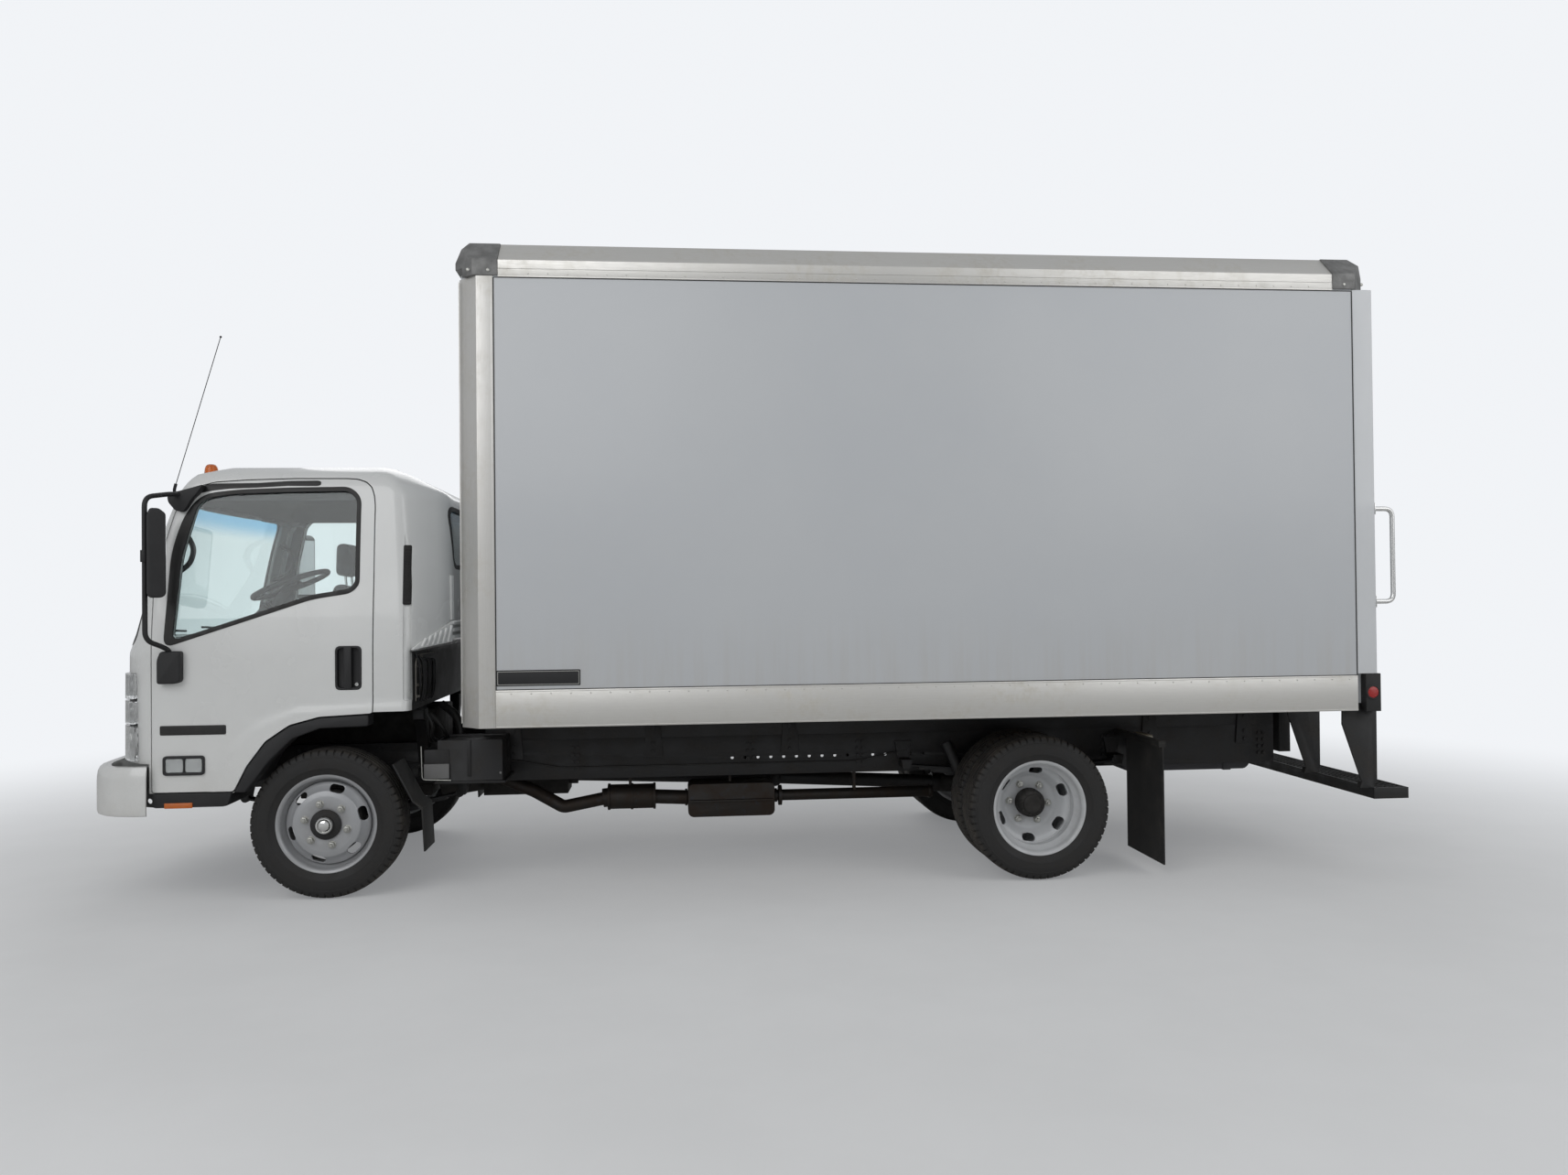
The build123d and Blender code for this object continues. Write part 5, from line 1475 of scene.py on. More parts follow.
    def front(self) -> None:
        """The front wheels: a disc that stands out, silver grey, and a black hub with a bright cap."""
        centre = spot(*FRONT_WHEEL)
        paint = WheelPaint("wheel_silver_paint", "wheel_silver", (0.43, 0.44, 0.455), 0.36, tuple(centre), 0.25)
        rim = Bench.smooth(Bench.lathe("rim_front", self.rim, centre, Axis.Y, self.steps), 36)
        disc = self.holed("disc_front", self.front_disc, centre, 15)
        wheel = Bench.join("wheel_front", [rim, disc])
        nuts = self.nuts("nuts_front", centre, 100, -16)
        hub = Bench.lathe("hub_front", [
            (0, 58), (134, 58), (134, 87.6), (69, 87.6), (69, 104), (76, 104.5), (79, 108), (77, 112),
            (66, 115), (54, 117), (48, 121), (46, 128), (0, 128)], centre, Axis.Y, 72)
        drum = Bench.lathe("drum_front",
                           [(32, -28), (168, -28), (172, -24), (172, 50), (168, 57.6), (32, 57.6)],
                           centre, Axis.Y, 72)
        ring = Bench.lathe("ring_front", [
            (30, 127), (44, 127), (45, 131), (43.5, 141), (40, 145), (35, 145.6), (33, 143), (32, 139),
            (30, 137)],
            centre, Axis.Y, 64)
        cap = Bench.lathe("cap_front", [(0, 127), (28, 127), (28, 141), (26, 147), (20, 150.4), (0, 151.6)],
                          centre, Axis.Y, 48)
        bright = Bench.join("hub_bright_front", [ring, cap])
        for piece, finish, node in ((wheel, paint, "front_wheel"), (nuts, ZINC, ""), (hub, STEP_BLACK, ""),
                                    (drum, CAST_IRON, ""), (bright, PLATED, "")):
            mount_pair(Bench.smooth(piece, 36), "front_wheel", finish, node, 36)

    def rear(self) -> None:
        """The twin rear wheels: deeply dished white discs back to back on a dark hub."""
        x, y, z = REAR_WHEEL
        outer, middle = spot(x, y, z), spot(x, y - TWIN_GAP / 2, z)
        paint = WheelPaint("wheel_white_paint", "wheel_white", (0.62, 0.635, 0.65), 0.38, tuple(outer))
        rim = Bench.smooth(Bench.lathe("rim_rear", self.rim, outer, Axis.Y, self.steps), 36)
        disc = self.holed("disc_rear", self.rear_disc, outer, 7)
        single = Bench.join("wheel_rear", [rim, disc])
        turn = Matrix.Translation(middle) @ Matrix.Scale(-1, 4, (0, 1, 0)) @ Matrix.Translation(-middle)
        wheel = Bench.join("wheels_rear", [single, Bench.copy(single, "wheel_rear_inner", turn)])
        nuts = self.nuts("nuts_rear", outer, -115, -26)
        hub = Bench.lathe("hub_rear", [
            (0, -139), (149, -139), (149, -13), (80, -12.4), (71, -11), (71, 14), (79, 16), (80, 24),
            (78, 66), (75, 78), (66, 86), (52, 90), (50, 94), (0, 95.6)], middle, Axis.Y, 72)
        bolt = about_wheel(middle, 62, 12, 84)
        stud = Bench.lathe("hub_bolt", [(0, -6), (8, -6), (8, 6), (6.6, 8), (0, 8)], bolt, Axis.Y, 12)
        bolts = [stud] + [Bench.turned(stud, "hub_bolt_copy", middle, Axis.Y,
                                       -math.radians(45 * k)) for k in range(1, 8)]
        hub = Bench.join("hub_rear", [hub] + bolts)
        for piece, finish, node in ((wheel, paint, "rear_wheels"), (nuts, ZINC, ""), (hub, CAST_IRON, "")):
            mount_pair(Bench.smooth(piece, 36), "rear_wheels", finish, node, 36)

    def build(self) -> None:
        """Makes the front and rear wheels."""
        self.front()
        self.rear()


@dataclass
class Cab:
    """The tilting cab: skin, doors, glass, seals, lamps and trim."""

    nodes: dict[str, Piece]
    skin: CabSkin
    metal: float = 34.0
    door: tuple[Point2, ...] = (
        (851, 589), (851, 1595), (824, 1783), (758, 2036), (700, 2142), (640, 2176), (573, 2196), (407, 2208),
        (161, 2215), (-105, 2214), (-160, 2210), (-204, 2194), (-234, 2166), (-250, 2120), (-256, 2060),
        (-256, 978), (-218, 976), (11, 965), (163, 925), (285, 842), (378, 717), (442, 589),
    )
    window: tuple[Point2, ...] = (
        (752, 1366), (720, 1800), (652, 2070), (606, 2112), (489, 2135), (183, 2146), (-122, 2150),
        (-166, 2104), (-166, 1660), (-132, 1626), (56, 1597), (285, 1520),
    )
    seal: tuple[Point2, ...] = (
        (792, 1330), (770, 1800), (750, 1899), (716, 2005), (674, 2080), (630, 2122), (577, 2142), (441, 2158),
        (183, 2168), (-126, 2172), (-187, 2114), (-187, 1648), (-142, 1604), (52, 1575), (285, 1497),
    )
    strip: tuple[Point2, ...] = (
        (700, 2150), (662, 2164), (611, 2185), (577, 2191), (355, 2193), (192, 2204), (45, 2206), (29, 2200),
        (29, 2181), (45, 2176), (200, 2177), (355, 2168), (492, 2163), (577, 2153), (640, 2138), (690, 2110),
    )
    screen: tuple[Point2, ...] = ((-862, 1362), (862, 1362), (782, 2098), (-782, 2098))
    back_window: tuple[Point2, ...] = ((-650, 1757), (650, 1757), (700, 2064), (-700, 2064))
    vent: tuple[Point2, ...] = ((-408, 1541), (-408, 1858), (-446, 1858), (-446, 1541))
    back_edge: Point2 = (-437.0, 994.0)
    back_turn: float = 53.5
    arch: tuple[Point2, ...] = ((440, 583), (376, 713), (285, 836), (163, 919), (11, 959), (-218, 970))
    lamp: tuple[Point2, ...] = ((935, 742), (1200, 742), (1200, 1200), (950, 1200))

    def front_cut(self, name: str, outline: Sequence[Point2], x_low: float, x_high: float) -> Piece:
        """A prism along the truck from a front view outline of y and z in millimetres."""
        points = [(y / 1000, z / 1000) for y, z in outline]
        return Bench.prism(name, points, Axis.X, AXLE_X + x_low / 1000, AXLE_X + x_high / 1000)

    def nose_cut(self, half: float, low: float, high: float, radius: float, steps: int = 5) -> Piece:
        """A rectangle with rounded corners through the nose.

        Args:
            half: Half its width in millimetres.
            low: Its lower edge above the ground.
            high: Its upper edge.
            radius: How far each corner is cut back.
            steps: Steps in each rounding.

        Returns:
            The prism.
        """
        corners = [(-half, low), (half, low), (half, high), (-half, high)]
        return self.front_cut("nose_cut", rounded(corners, radius, steps), 1000, 1250)

    def layer(self, name: str, outer: float, inner: float) -> Piece:
        """A shell that follows the skin between two depths.

        Args:
            name: The shell's name.
            outer: Depth of its outer face in millimetres.
            inner: Depth of its inner face.

        Returns:
            The shell.
        """
        shell = self.skin.solid(name, outer)
        Bench.cut(shell, [self.skin.solid(name + "_core", inner)])
        return shell

    def patch(self, name: str, layer: Piece, shape: Piece, *holes: Piece) -> Piece:
        """The part of a layer that lies within a shape and outside its holes.

        Args:
            name: The patch's name.
            layer: The layer, which stays as it is.
            shape: What it is crossed with.
            holes: What is cut from it.

        Returns:
            The patch.
        """
        piece = Bench.copy(layer, name)
        Bench.cut(piece, [shape], "INTERSECT")
        return Bench.cut(piece, holes)

    def body(self) -> None:
        """The white shell with its openings, and the two doors cut from the same skin."""
        shell = self.layer("cab_body", 0.0, self.metal)
        under = [(1300, 300), (1300, 734), (868, 734), (868, 582), (440, 582), *self.arch[1:],
                 (-264, 984), (-800, 990), (-800, 300)]
        Bench.cut(shell, [Bench.side_prism("under", under, -1200, 1200),
                          self.front_cut("screen", rounded(self.screen, 70), 640, 1250),
                          self.front_cut("back_window", rounded(self.back_window, 70), -760, -470)])
        door = self.patch("door_skin", shell,
                          Bench.side_prism("door_shape", rounded(self.door, 12, 2), 560, 1200),
                          Bench.side_prism("window", rounded(self.window, 46), 500, 1250))
        recess = Bench.plate("recess", (-200, -71), (1103, 1327), (930, 1200), 26)
        Bench.cut(recess, [self.skin.solid("dish", 26.0)])
        Bench.cut(door, [recess])
        opening = rounded(grown(self.door, 6.5), 12, 2)
        Bench.cut(shell, [Bench.side_prism("opening", opening, *ends) for ends in ((560, 1200), (-1200, -560))])
        self.pockets(shell)
        for piece in (shell, door):
            Bench.soften(piece, 0.003, 2, 52)
        mount(shell, "cab", CAB_WHITE, "cab_shell", "cab_header", "cab_roof")
        mount_pair(door, "door", CAB_WHITE, "door")

    def pockets(self, shell: Piece) -> None:
        """Sinks the lamps' pockets, the grooves behind the doors, the vents and the grille's mouth.

        Args:
            shell: The cab's shell, which they are cut from.
        """
        deep = self.skin.solid("cup", 24.0)
        shallow = self.skin.solid("groove_floor", 9.0)
        groove = rounded([(-412, 1040), (-412, 2130), (-450, 2110), (-450, 1040)], 14, 4)
        table = ((self.lamp, 640, [deep]), (groove, 930, [shallow]), (rounded(self.vent, 9), 890, []))
        for side in (-1, 1):
            for outline, inner_y, core in table:
                pocket = Bench.side_prism("pocket", outline, *sorted((side * inner_y, side * 1100)))
                Bench.cut(pocket, core, keep=True)
                Bench.cut(shell, [pocket])
        mouth = self.nose_cut(600, 850, 1075, 22)
        Bench.cut(mouth, [deep], keep=True)
        Bench.cut(shell, [mouth])
        Bench.drop(deep, shallow)

    def inside(self) -> None:
        """The floor with its tunnel and wheel houses, the doors' inner panels and the roof's lining."""
        deck = Bench.flattened(self.nodes["cab_floor"], "cab_deck")
        Bench.cut(deck, [self.skin.solid("deck_core", self.metal - 0.5)], "INTERSECT")
        mount(Bench.smooth(deck, 30), "cab", CABIN_GREY, "cab_floor")
        lining = self.layer("lining", self.metal + 0.4, self.metal + 22)
        trim = self.patch("door_lining", lining,
                          Bench.side_prism("panel", rounded(grown(self.door, -30), 20, 3), 560, 1200),
                          Bench.side_prism("panel_hole", rounded(grown(self.window, 6), 46), 500, 1250))
        parts = [Bench.smooth(trim, 40)]
        for name, outline, y_low, y_high, width in (
                ("arm_rest", ((420, 1240), (420, 1290), (-90, 1330), (-90, 1262)), 866, 925, 0.012),
                ("door_pocket", ((600, 760), (600, 930), (470, 930), (490, 760)), 880, 930, 0.008)):
            parts.append(Bench.soften(Bench.side_prism(name, rounded(outline, 20), y_low, y_high), width, 3))
        mount_pair(Bench.join("door_lining", parts), "door", CABIN_GREY)
        head = Bench.block("roof_room", (-700, -1100, 2100), (1200, 1100, 2400))
        cloth = self.patch("roof_lining", lining, head)
        mount(Bench.smooth(cloth, 40), "cab", CABIN_GREY)
        Bench.drop(lining)

    def glass(self) -> None:
        """The panes, set back in their openings, with the windscreen's tinted top band."""
        pane = self.layer("pane", 11.0, 16.0)
        side = self.patch("pane_left", pane,
                          Bench.side_prism("pane_cut", rounded(grown(self.window, -1), 46), 700, 1250))
        panes = [self.patch(name, pane, self.front_cut("pane_cut", rounded(grown(outline, -1), 70), *ends))
                 for name, outline, ends in (("pane_front", self.screen, (640, 1250)),
                                             ("pane_back", self.back_window, (-760, -470)))]
        mount_pair(Bench.smooth(side, 40), "door", WINDOW, "door_glass")
        mount(Bench.smooth(Bench.join("panes_cab", panes), 40), "cab", SCREEN_GLASS, "cab_glass")
        Bench.drop(pane)

    def seals(self) -> None:
        """Black bands round the windows, the drip strip, the bare badge strip and the vent slots."""
        rubber = self.layer("rubber", -2.2, 11.0)
        seal = self.patch("window_seal", rubber,
                          Bench.side_prism("seal_out", rounded(self.seal, 60), 700, 1250),
                          Bench.side_prism("seal_in", rounded(grown(self.window, -2), 44), 500, 1250))
        strip = self.patch("drip_strip", rubber,
                           Bench.side_prism("strip_cut", rounded(self.strip, 8, 3), 600, 1250))
        badge = self.patch("badge_place", rubber,
                           Bench.plate("badge_cut", (480, 808), (882, 931), (700, 1250), 8, 3))
        trim = Bench.join("door_seals", [seal, strip, badge])
        mount_pair(Bench.soften(trim, 0.0016, 2, 50), "door", SEAL_BLACK)
        frames = []
        for name, outline, low, high in (("screen", self.screen, 600, 1250),
                                         ("back", self.back_window, -780, -440)):
            outer = self.front_cut(name + "_out", rounded(grown(outline, 20), 84), low, high)
            inner = self.front_cut(name + "_in", rounded(grown(outline, -4), 68), low, high)
            frames.append(self.patch(name + "_seal", rubber, outer, inner))
        slot = Bench.side_prism("vent_fill", rounded(self.vent, 9), 896, 988)
        Bench.cut(slot, [self.skin.solid("vent_room", 2.5)], "INTERSECT")
        slats = [Bench.block("louvre", (-445, 900, z), (-409, 991, z + 6)) for z in range(1550, 1850, 15)]
        louvres = Bench.join("louvres", slats)
        Bench.cut(louvres, [self.skin.solid("vent_face", -1.5)], "INTERSECT")
        frames.append(Bench.both(Bench.join("vent_fill", [slot, louvres])))
        mount(Bench.soften(Bench.join("screen_seals", frames), 0.0016, 2, 50), "cab", SEAL_BLACK)
        low = Bench.side_prism("back_low", [(-449, 985), (-449, 1296), (-800, 1296), (-800, 985)], -1200, 1200)
        mount(Bench.smooth(self.patch("back_cover", rubber, low), 40), "cab", SEAL_BLACK)
        Bench.drop(rubber)

    def back_hoses(self) -> None:
        """Hoses, brackets and bolts on the dark lower part of the cab's back."""
        hoses, metal = [], []
        for index in range(6):
            y, bow = 905 - index * 64, 14 + (index * 7) % 12
            route = [(-456, y, 1286 - index * 12), (-460 - bow, y - 6, 1236),
                     (-462 - bow, y - 24 + index * 5, 1130),
                     (-458 - bow * 0.6, y - 40, 1050), (-458, y - 46, 1018)]
            hoses.append(Bench.tube("back_hose", route, 0.0065 + 0.0018 * (index % 3), 0.05))
        bolt = [(0, 3), (9, 3), (9, -5), (6, -8), (0, -8)]
        for index, z in enumerate((1046, 1104, 1158, 1206, 1256)):
            y = 912 - (index * 37) % 80
            metal += [Bench.block("back_bracket", (-470, y - 34, z), (-452, y, z + 16), 0.003),
                      Bench.lathe("back_bolt", bolt, spot(-470, y - 16, z + 8), Axis.X, 12)]
            metal.append(Bench.moved(metal[-1], "back_bolt", (16, -150 - index * 22, 22)))
        rail = [(-462, 420, 1268), (-462, 880, 1276), (-462, 925, 1240), (-462, 925, 1030)]
        metal.append(Bench.tube("back_rail", rail, 0.004, 0.03, 3))
        mount(Bench.join("back_hoses", hoses), "cab", TRIM_BLACK)
        mount(Bench.smooth(Bench.join("back_metal", metal), 36), "cab", ZINC_DARK)

    def back_ribs(self) -> None:
        """The pressed shoulder with slanting ribs low on the cab's back, and beads beside its window."""
        x, y = self.back_edge
        edge = rounded([(x - 74, 1340), (x - 296, 1446), (x - 296, 1338), (x - 20, 1304)], 8, 3)
        straight = [Bench.side_prism("shoulder", edge, y - 6, y + 14)]
        for index in range(6):
            start = 84 + index * 36
            rise = 1345 + (start + 10) * 0.36
            rib = [(x - start, y + 12, 1318 + index * 4), (x - start - 26, y + 15, rise - 18)]
            straight.append(Bench.tube("shoulder_rib", rib, 0.009, 0.01, 3))
        flat = Bench.join("shoulder_flat", straight)
        piece = Bench.turned(flat, "back_shoulder", spot(x, y, 0), Axis.Z, math.radians(self.back_turn))
        Bench.drop(flat)
        Bench.soften(piece, 0.003, 2, 50)
        beads = [Bench.tube("back_bead", [(-612, side, 1456), (-611, side, 1700)], 0.008, 0.01, 3)
                 for side in (732, 690)]
        across = [Bench.block("back_swage", (-632, -745, z), (-606, 745, z + 22), 0.008) for z in (1352, 1390,
                                                                                                   1428)]
        ribs = Bench.join("back_ribs", [Bench.both(piece), *[Bench.both(bead) for bead in beads], *across])
        mount(Bench.smooth(ribs, 40), "cab", CAB_WHITE)

    def lower_trim(self) -> None:
        """Black sills with steps under the doors, side reflectors and the wide arch flares."""
        edge = [(848, 582.4), (455, 582.4), (462, 552), (476, 514), (500, 509), (830, 509), (848, 514)]
        sill = Bench.side_prism("sill", edge, 640, 986)
        Bench.cut(sill, [Bench.block("step_room", (520, 762, 538), (800, 970, 584))])
        outline = [(x - 0.5, z - 0.6) for x, z in self.arch] + [
            (-236, 968), (-236, 912), (-218, 909), (11, 903), (149, 852), (268, 738), (346, 632), (386, 580)]
        flare = Bench.side_prism("flare", outline, 884, 998)
        pieces = [Bench.both(Bench.soften(sill, 0.005, 3)), Bench.both(Bench.soften(flare, 0.009, 3))]
        mount(Bench.join("lower_trim", pieces), "cab", TRIM_BLACK, "cab_lower_trim")
        marker = Bench.block("side_reflector", (648, 984, 506), (787, 991, 534), 0.003)
        mount(Bench.both(marker), "cab", AMBER_LENS)

    def handles(self) -> None:
        """The doors' recessed handles with their bars and bright lock cylinders."""
        cup = Bench.plate("handle_cup", (-203, -68), (1100, 1330), (966, 998), 28)
        Bench.cut(cup, [Bench.plate("handle_hole", (-191, -80), (1112, 1318), (974, 1010), 22)])
        bar = Bench.plate("handle_bar", (-152, -112), (1104, 1326), (984, 1002), 6)
        black = Bench.join("door_handle", [Bench.soften(cup, 0.004, 3), Bench.soften(bar, 0.006, 3)])
        profile = [(0, -4), (11, -4), (11, 2), (9, 4), (3, 4), (2, 2), (0, 2)]
        lock = Bench.lathe("lock", profile, spot(-174, 978, 1128), Axis.Y, 24)
        mount_pair(black, "door", TRIM_BLACK)
        mount_pair(Bench.smooth(lock, 40), "door", PLATED)

    def side_lamps(self) -> None:
        """The two-part side lamps low on the doors."""
        bezel = Bench.plate("lamp_bezel", (585, 791), (676, 776), (966, 999), 20)
        lenses = []
        for x_low, x_high in ((690, 779), (597, 682)):
            Bench.cut(bezel, [Bench.plate("lamp_hole", (x_low, x_high), (690, 762), (972, 1010), 12)])
            lens = Bench.plate("lamp_lens", (x_low + 1, x_high - 1), (691, 761), (988, 995), 11)
            lenses.append(Bench.soften(lens, 0.003, 3))
        Bench.soften(bezel, 0.003, 3)
        profile = [(0, 0), (17, 0), (15, 6), (9, 11), (0, 13)]
        glow = Bench.smooth(Bench.lathe("lamp_bulb", profile, spot(636, 974, 727), Axis.Y, 24), 40)
        shine = Bench.side_prism("lamp_back", [(776, 694), (776, 758), (600, 758), (600, 694)], 972.4, 974)
        for piece, finish in ((bezel, TRIM_BLACK), (Bench.join("side_lamp_lens", lenses), CLEAR_LENS),
                              (Bench.join("side_lamp_reflector", [glow, shine]), PLATED)):
            mount_pair(piece, "door", finish)

    def front_lamps(self) -> None:
        """Stacks of three lamps that wrap round the front corners, with bowls and reflectors behind."""
        cover = self.layer("cover", -18.0, 4.0)
        back = self.layer("lamp_back", 14.0, 23.4)
        black = self.layer("lamp_web", 2.0, 22.0)
        covers, webs = [], []
        for index, (low, high) in enumerate(((746, 924), (936, 1054), (1066, 1196))):
            edge = rounded([(940 + index * 5, low), (1200, low), (1200, high), (942 + index * 5, high)], 12, 3)
            lens = self.patch("lamp_cover", cover, Bench.side_prism("lens_cut", edge, 646, 1100))
            covers.append(Bench.soften(lens, 0.007, 3, 50))
        bowls = [self.patch("lamp_frame", back,
                            Bench.side_prism("frame_cut", grown(self.lamp, -1.5), 642, 1100))]
        for z, size in ((836, 62), (995, 40), (1130, 40)):
            profile = [(8, -6), (size * 0.55, 2), (size * 0.86, 16), (size, 34), (size - 4, 34),
                       (size * 0.8, 17),
                       (size * 0.5, 6), (8, -2)]
            bowls.append(Bench.lathe("lamp_bowl", profile, spot(1014, 742, z), Axis.X, 40))
        for z in (930, 1060):
            edge = [(936, z - 5), (1200, z - 5), (1200, z + 5), (940, z + 5)]
            webs.append(self.patch("lamp_divider", black, Bench.side_prism("web_cut", edge, 642, 1100)))
        for name, parts, finish, nodes in (("lamp_covers", covers, HEAD_LENS, ["head_lamps"]),
                                           ("lamp_bowls", bowls, PLATED, []),
                                           ("lamp_dividers", webs, TRIM_BLACK, [])):
            mount(Bench.both(Bench.smooth(Bench.join(name, parts), 40)), "cab", finish, *nodes)
        Bench.drop(cover, back, black)

    def grille(self) -> None:
        """The slatted grille between the lamps, with a dark plate behind its slots."""
        frame = self.layer("grille_frame", -3.0, 22.0)
        back = self.layer("grille_back", 15.0, 22.5)
        slots = [self.nose_cut(570, z, z + 32, 12, 3) for z in (870, 920, 970, 1020)]
        piece = self.patch("grille_frame_cut", frame, self.nose_cut(598, 852, 1073, 20), *slots)
        mesh = self.front_cut("mesh_cut", [(-590, 858), (590, 858), (590, 1068), (-590, 1068)], 1000, 1250)
        plate = self.patch("grille_mesh", back, mesh)
        mount(Bench.soften(piece, 0.003, 2, 50), "cab", CAB_WHITE, "front_grille")
        mount(Bench.smooth(plate, 40), "cab", TRIM_BLACK)
        Bench.drop(frame, back)

    def clearance_lamps(self) -> None:
        """Five ribbed amber domes on dark feet along the roof's front edge."""
        dome = [(0, 0)]
        for turn in range(32):
            angle = math.radians(90 * turn / 32)
            rib = 0.8 if turn % 3 == 1 and turn < 28 else 0
            dome.append((35 * math.cos(angle) ** 0.5 + rib, 50 * math.sin(angle)))
        dome.append((0, 51))
        foot = [(0, -52), (38, -52), (40, -4), (36, 0), (0, 0)]
        places = [spot(x, y, 2272) for x, y in ((688, 620), (688, -620), (672, 250), (672, -250), (667, 0))]
        feet = [Bench.lathe("lamp_foot", foot, place, Axis.Z, 32) for place in places]
        domes = [Bench.lathe("lamp_dome", dome, place, Axis.Z, 40) for place in places]
        mount(Bench.smooth(Bench.join("clearance_domes", domes), 30), "cab", AMBER_LENS, "roof_lamps")
        mount(Bench.smooth(Bench.join("clearance_feet", feet), 30), "cab", TRIM_BLACK)

    def antenna(self) -> None:
        """The thin mast with its bead, on a bent base at the left pillar."""
        turns = [math.radians(turn) for turn in range(20, 180, 20)]
        bead = [(0, -6), *[(6 * math.sin(turn), -6 * math.cos(turn)) for turn in turns], (0, 6)]
        parts = [Bench.tube("antenna_mast", [(782, 850, 2180), (534, 890, 2962)], 0.0021, 0.01, 3),
                 Bench.tube("antenna_base", [(786, 790, 2120), (792, 846, 2150), (779, 851, 2192)], 0.008,
                            0.02),
                 Bench.lathe("antenna_bead", bead, spot(534, 890, 2962), Axis.Z, 16)]
        mount(Bench.join("antenna_rod", parts), "cab", TRIM_BLACK, "antenna")

    def wipers(self) -> None:
        """Two wipers that follow the windscreen's lower part."""
        table = (
            ("wiper_arm", 0.006, 0.02, ((0, 1326, -6), (0, 1330, 16), (-60, 1354, 20), (-330, 1406, 20))),
            ("wiper_blade", 0.007, 0.05, ((-60, 1416, 10), (-330, 1408, 10), (-580, 1398, 10))),
            ("wiper_link", 0.008, 0.005, ((-322, 1404, 20), (-338, 1408, 8))),
        )

        def on_screen(y: float, z: float, lift: float) -> Point3:
            """A place that stands a lift in front of the windscreen."""
            return (1094 - y * y / 9500 - (z - 1352) * 0.3 + lift, y, z)

        wipers = []
        for pivot in (560, -170):
            for name, radius, bend, places in table:
                route = [on_screen(pivot + along, z, lift) for along, z, lift in places]
                wipers.append(Bench.tube(name, route, radius, bend, 3))
        mount(Bench.join("wipers", wipers), "cab", TRIM_BLACK)

    def build(self) -> None:
        """Makes the whole cab."""
        for make in (self.body, self.inside, self.glass, self.seals, self.back_hoses, self.back_ribs,
                     self.lower_trim, self.handles, self.side_lamps, self.front_lamps, self.grille,
                     self.clearance_lamps, self.antenna, self.wipers):
            make()


@dataclass
class Seats:
    """A driver's seat and a passenger bench of padded cloth, on dark plinths."""

    capped: float = 0.012

    def pad(self, name: str, outline: Sequence[Point2], y_low: float, y_high: float, crown: float) -> Piece:
        """One cushion: a rounded block that pressure swells, with its corners pulled in.

        Args:
            name: The cushion's name.
            outline: Its side view in millimetres.
            y_low: Its right side.
            y_high: Its left side.
            crown: How far it may swell in metres.

        Returns:
            The cushion.
        """
        pad = Bench.side_prism(name, rounded(outline, 26, 4), y_low + 6, y_high - 6)
        Bench.soften(pad, 0.024, 4)
        Bench.apply(pad, "REMESH", mode="VOXEL", voxel_size=0.009)
        rest = [vertex.co.copy() for vertex in pad.data.vertices]
        cloth = pad.modifiers.new("cloth", "CLOTH")
        cloth.settings.use_pressure = True
        cloth.settings.uniform_pressure_force = 4.0
        cloth.settings.effector_weights.gravity = 0.0
        cloth.point_cache.frame_start = 1
        cloth.point_cache.frame_end = 12
        scene = bpy.context.scene
        for frame in range(1, 13):
            scene.frame_set(frame)
        Bench.take(pad)
        bpy.ops.object.modifier_apply(modifier=cloth.name)
        scene.frame_set(1)
        for vertex, place in zip(pad.data.vertices, rest):
            way = vertex.co - place
            if way.length > crown:
                vertex.co = place + way.normalized() * crown
        Bench.apply(pad, "SMOOTH", factor=0.5, iterations=3)
        return Bench.smooth(pad, 60)

    def seat(self, name: str, y_low: float, y_high: float, heads: Sequence[float]) -> None:
        """One seat with its plinth, cushion, back and head rests.

        Args:
            name: The seat's name.
            y_low: Its right side in millimetres.
            y_high: Its left side.
            heads: Middles of its head rests.
        """
        cushion = self.pad(name + "_cushion", [(-95, 1196), (400, 1206), (416, 1296), (-80, 1290)], y_low,
                           y_high, self.capped)
        back = self.pad(name + "_back", [(-62, 1306), (40, 1306), (14, 1655), (-52, 1665), (-108, 1500)],
                        y_low, y_high, self.capped)
        pads = [cushion, back]
        posts = []
        for index, middle in enumerate(heads):
            pads.append(self.pad(f"{name}_head_{index + 1}",
                                 [(-44, 1706), (34, 1706), (28, 1884), (-34, 1884)], middle - 124,
                                 middle + 124, 0.006))
            for y in (middle - 60, middle + 60):
                posts.append(Bench.tube("post", [(-12, y, 1640), (-6, y, 1716)], 0.0065, 0.01, 3))
        for pad in pads:
            mount(pad, "cab", SEAT_CLOTH)
        mount(Bench.join(name + "_posts", posts), "cab", PLATED)
        plinth = Bench.block(name + "_plinth", (-88, y_low + 42, 1005.6), (356, y_high - 42, 1192), 0.012)
        mount(plinth, "cab", CABIN_GREY)

    def build(self) -> None:
        """Makes both seats."""
        self.seat("driver_seat", 270, 750, (510,))
        self.seat("bench_seat", -780, 200, (-540, -60))
        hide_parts("seats")


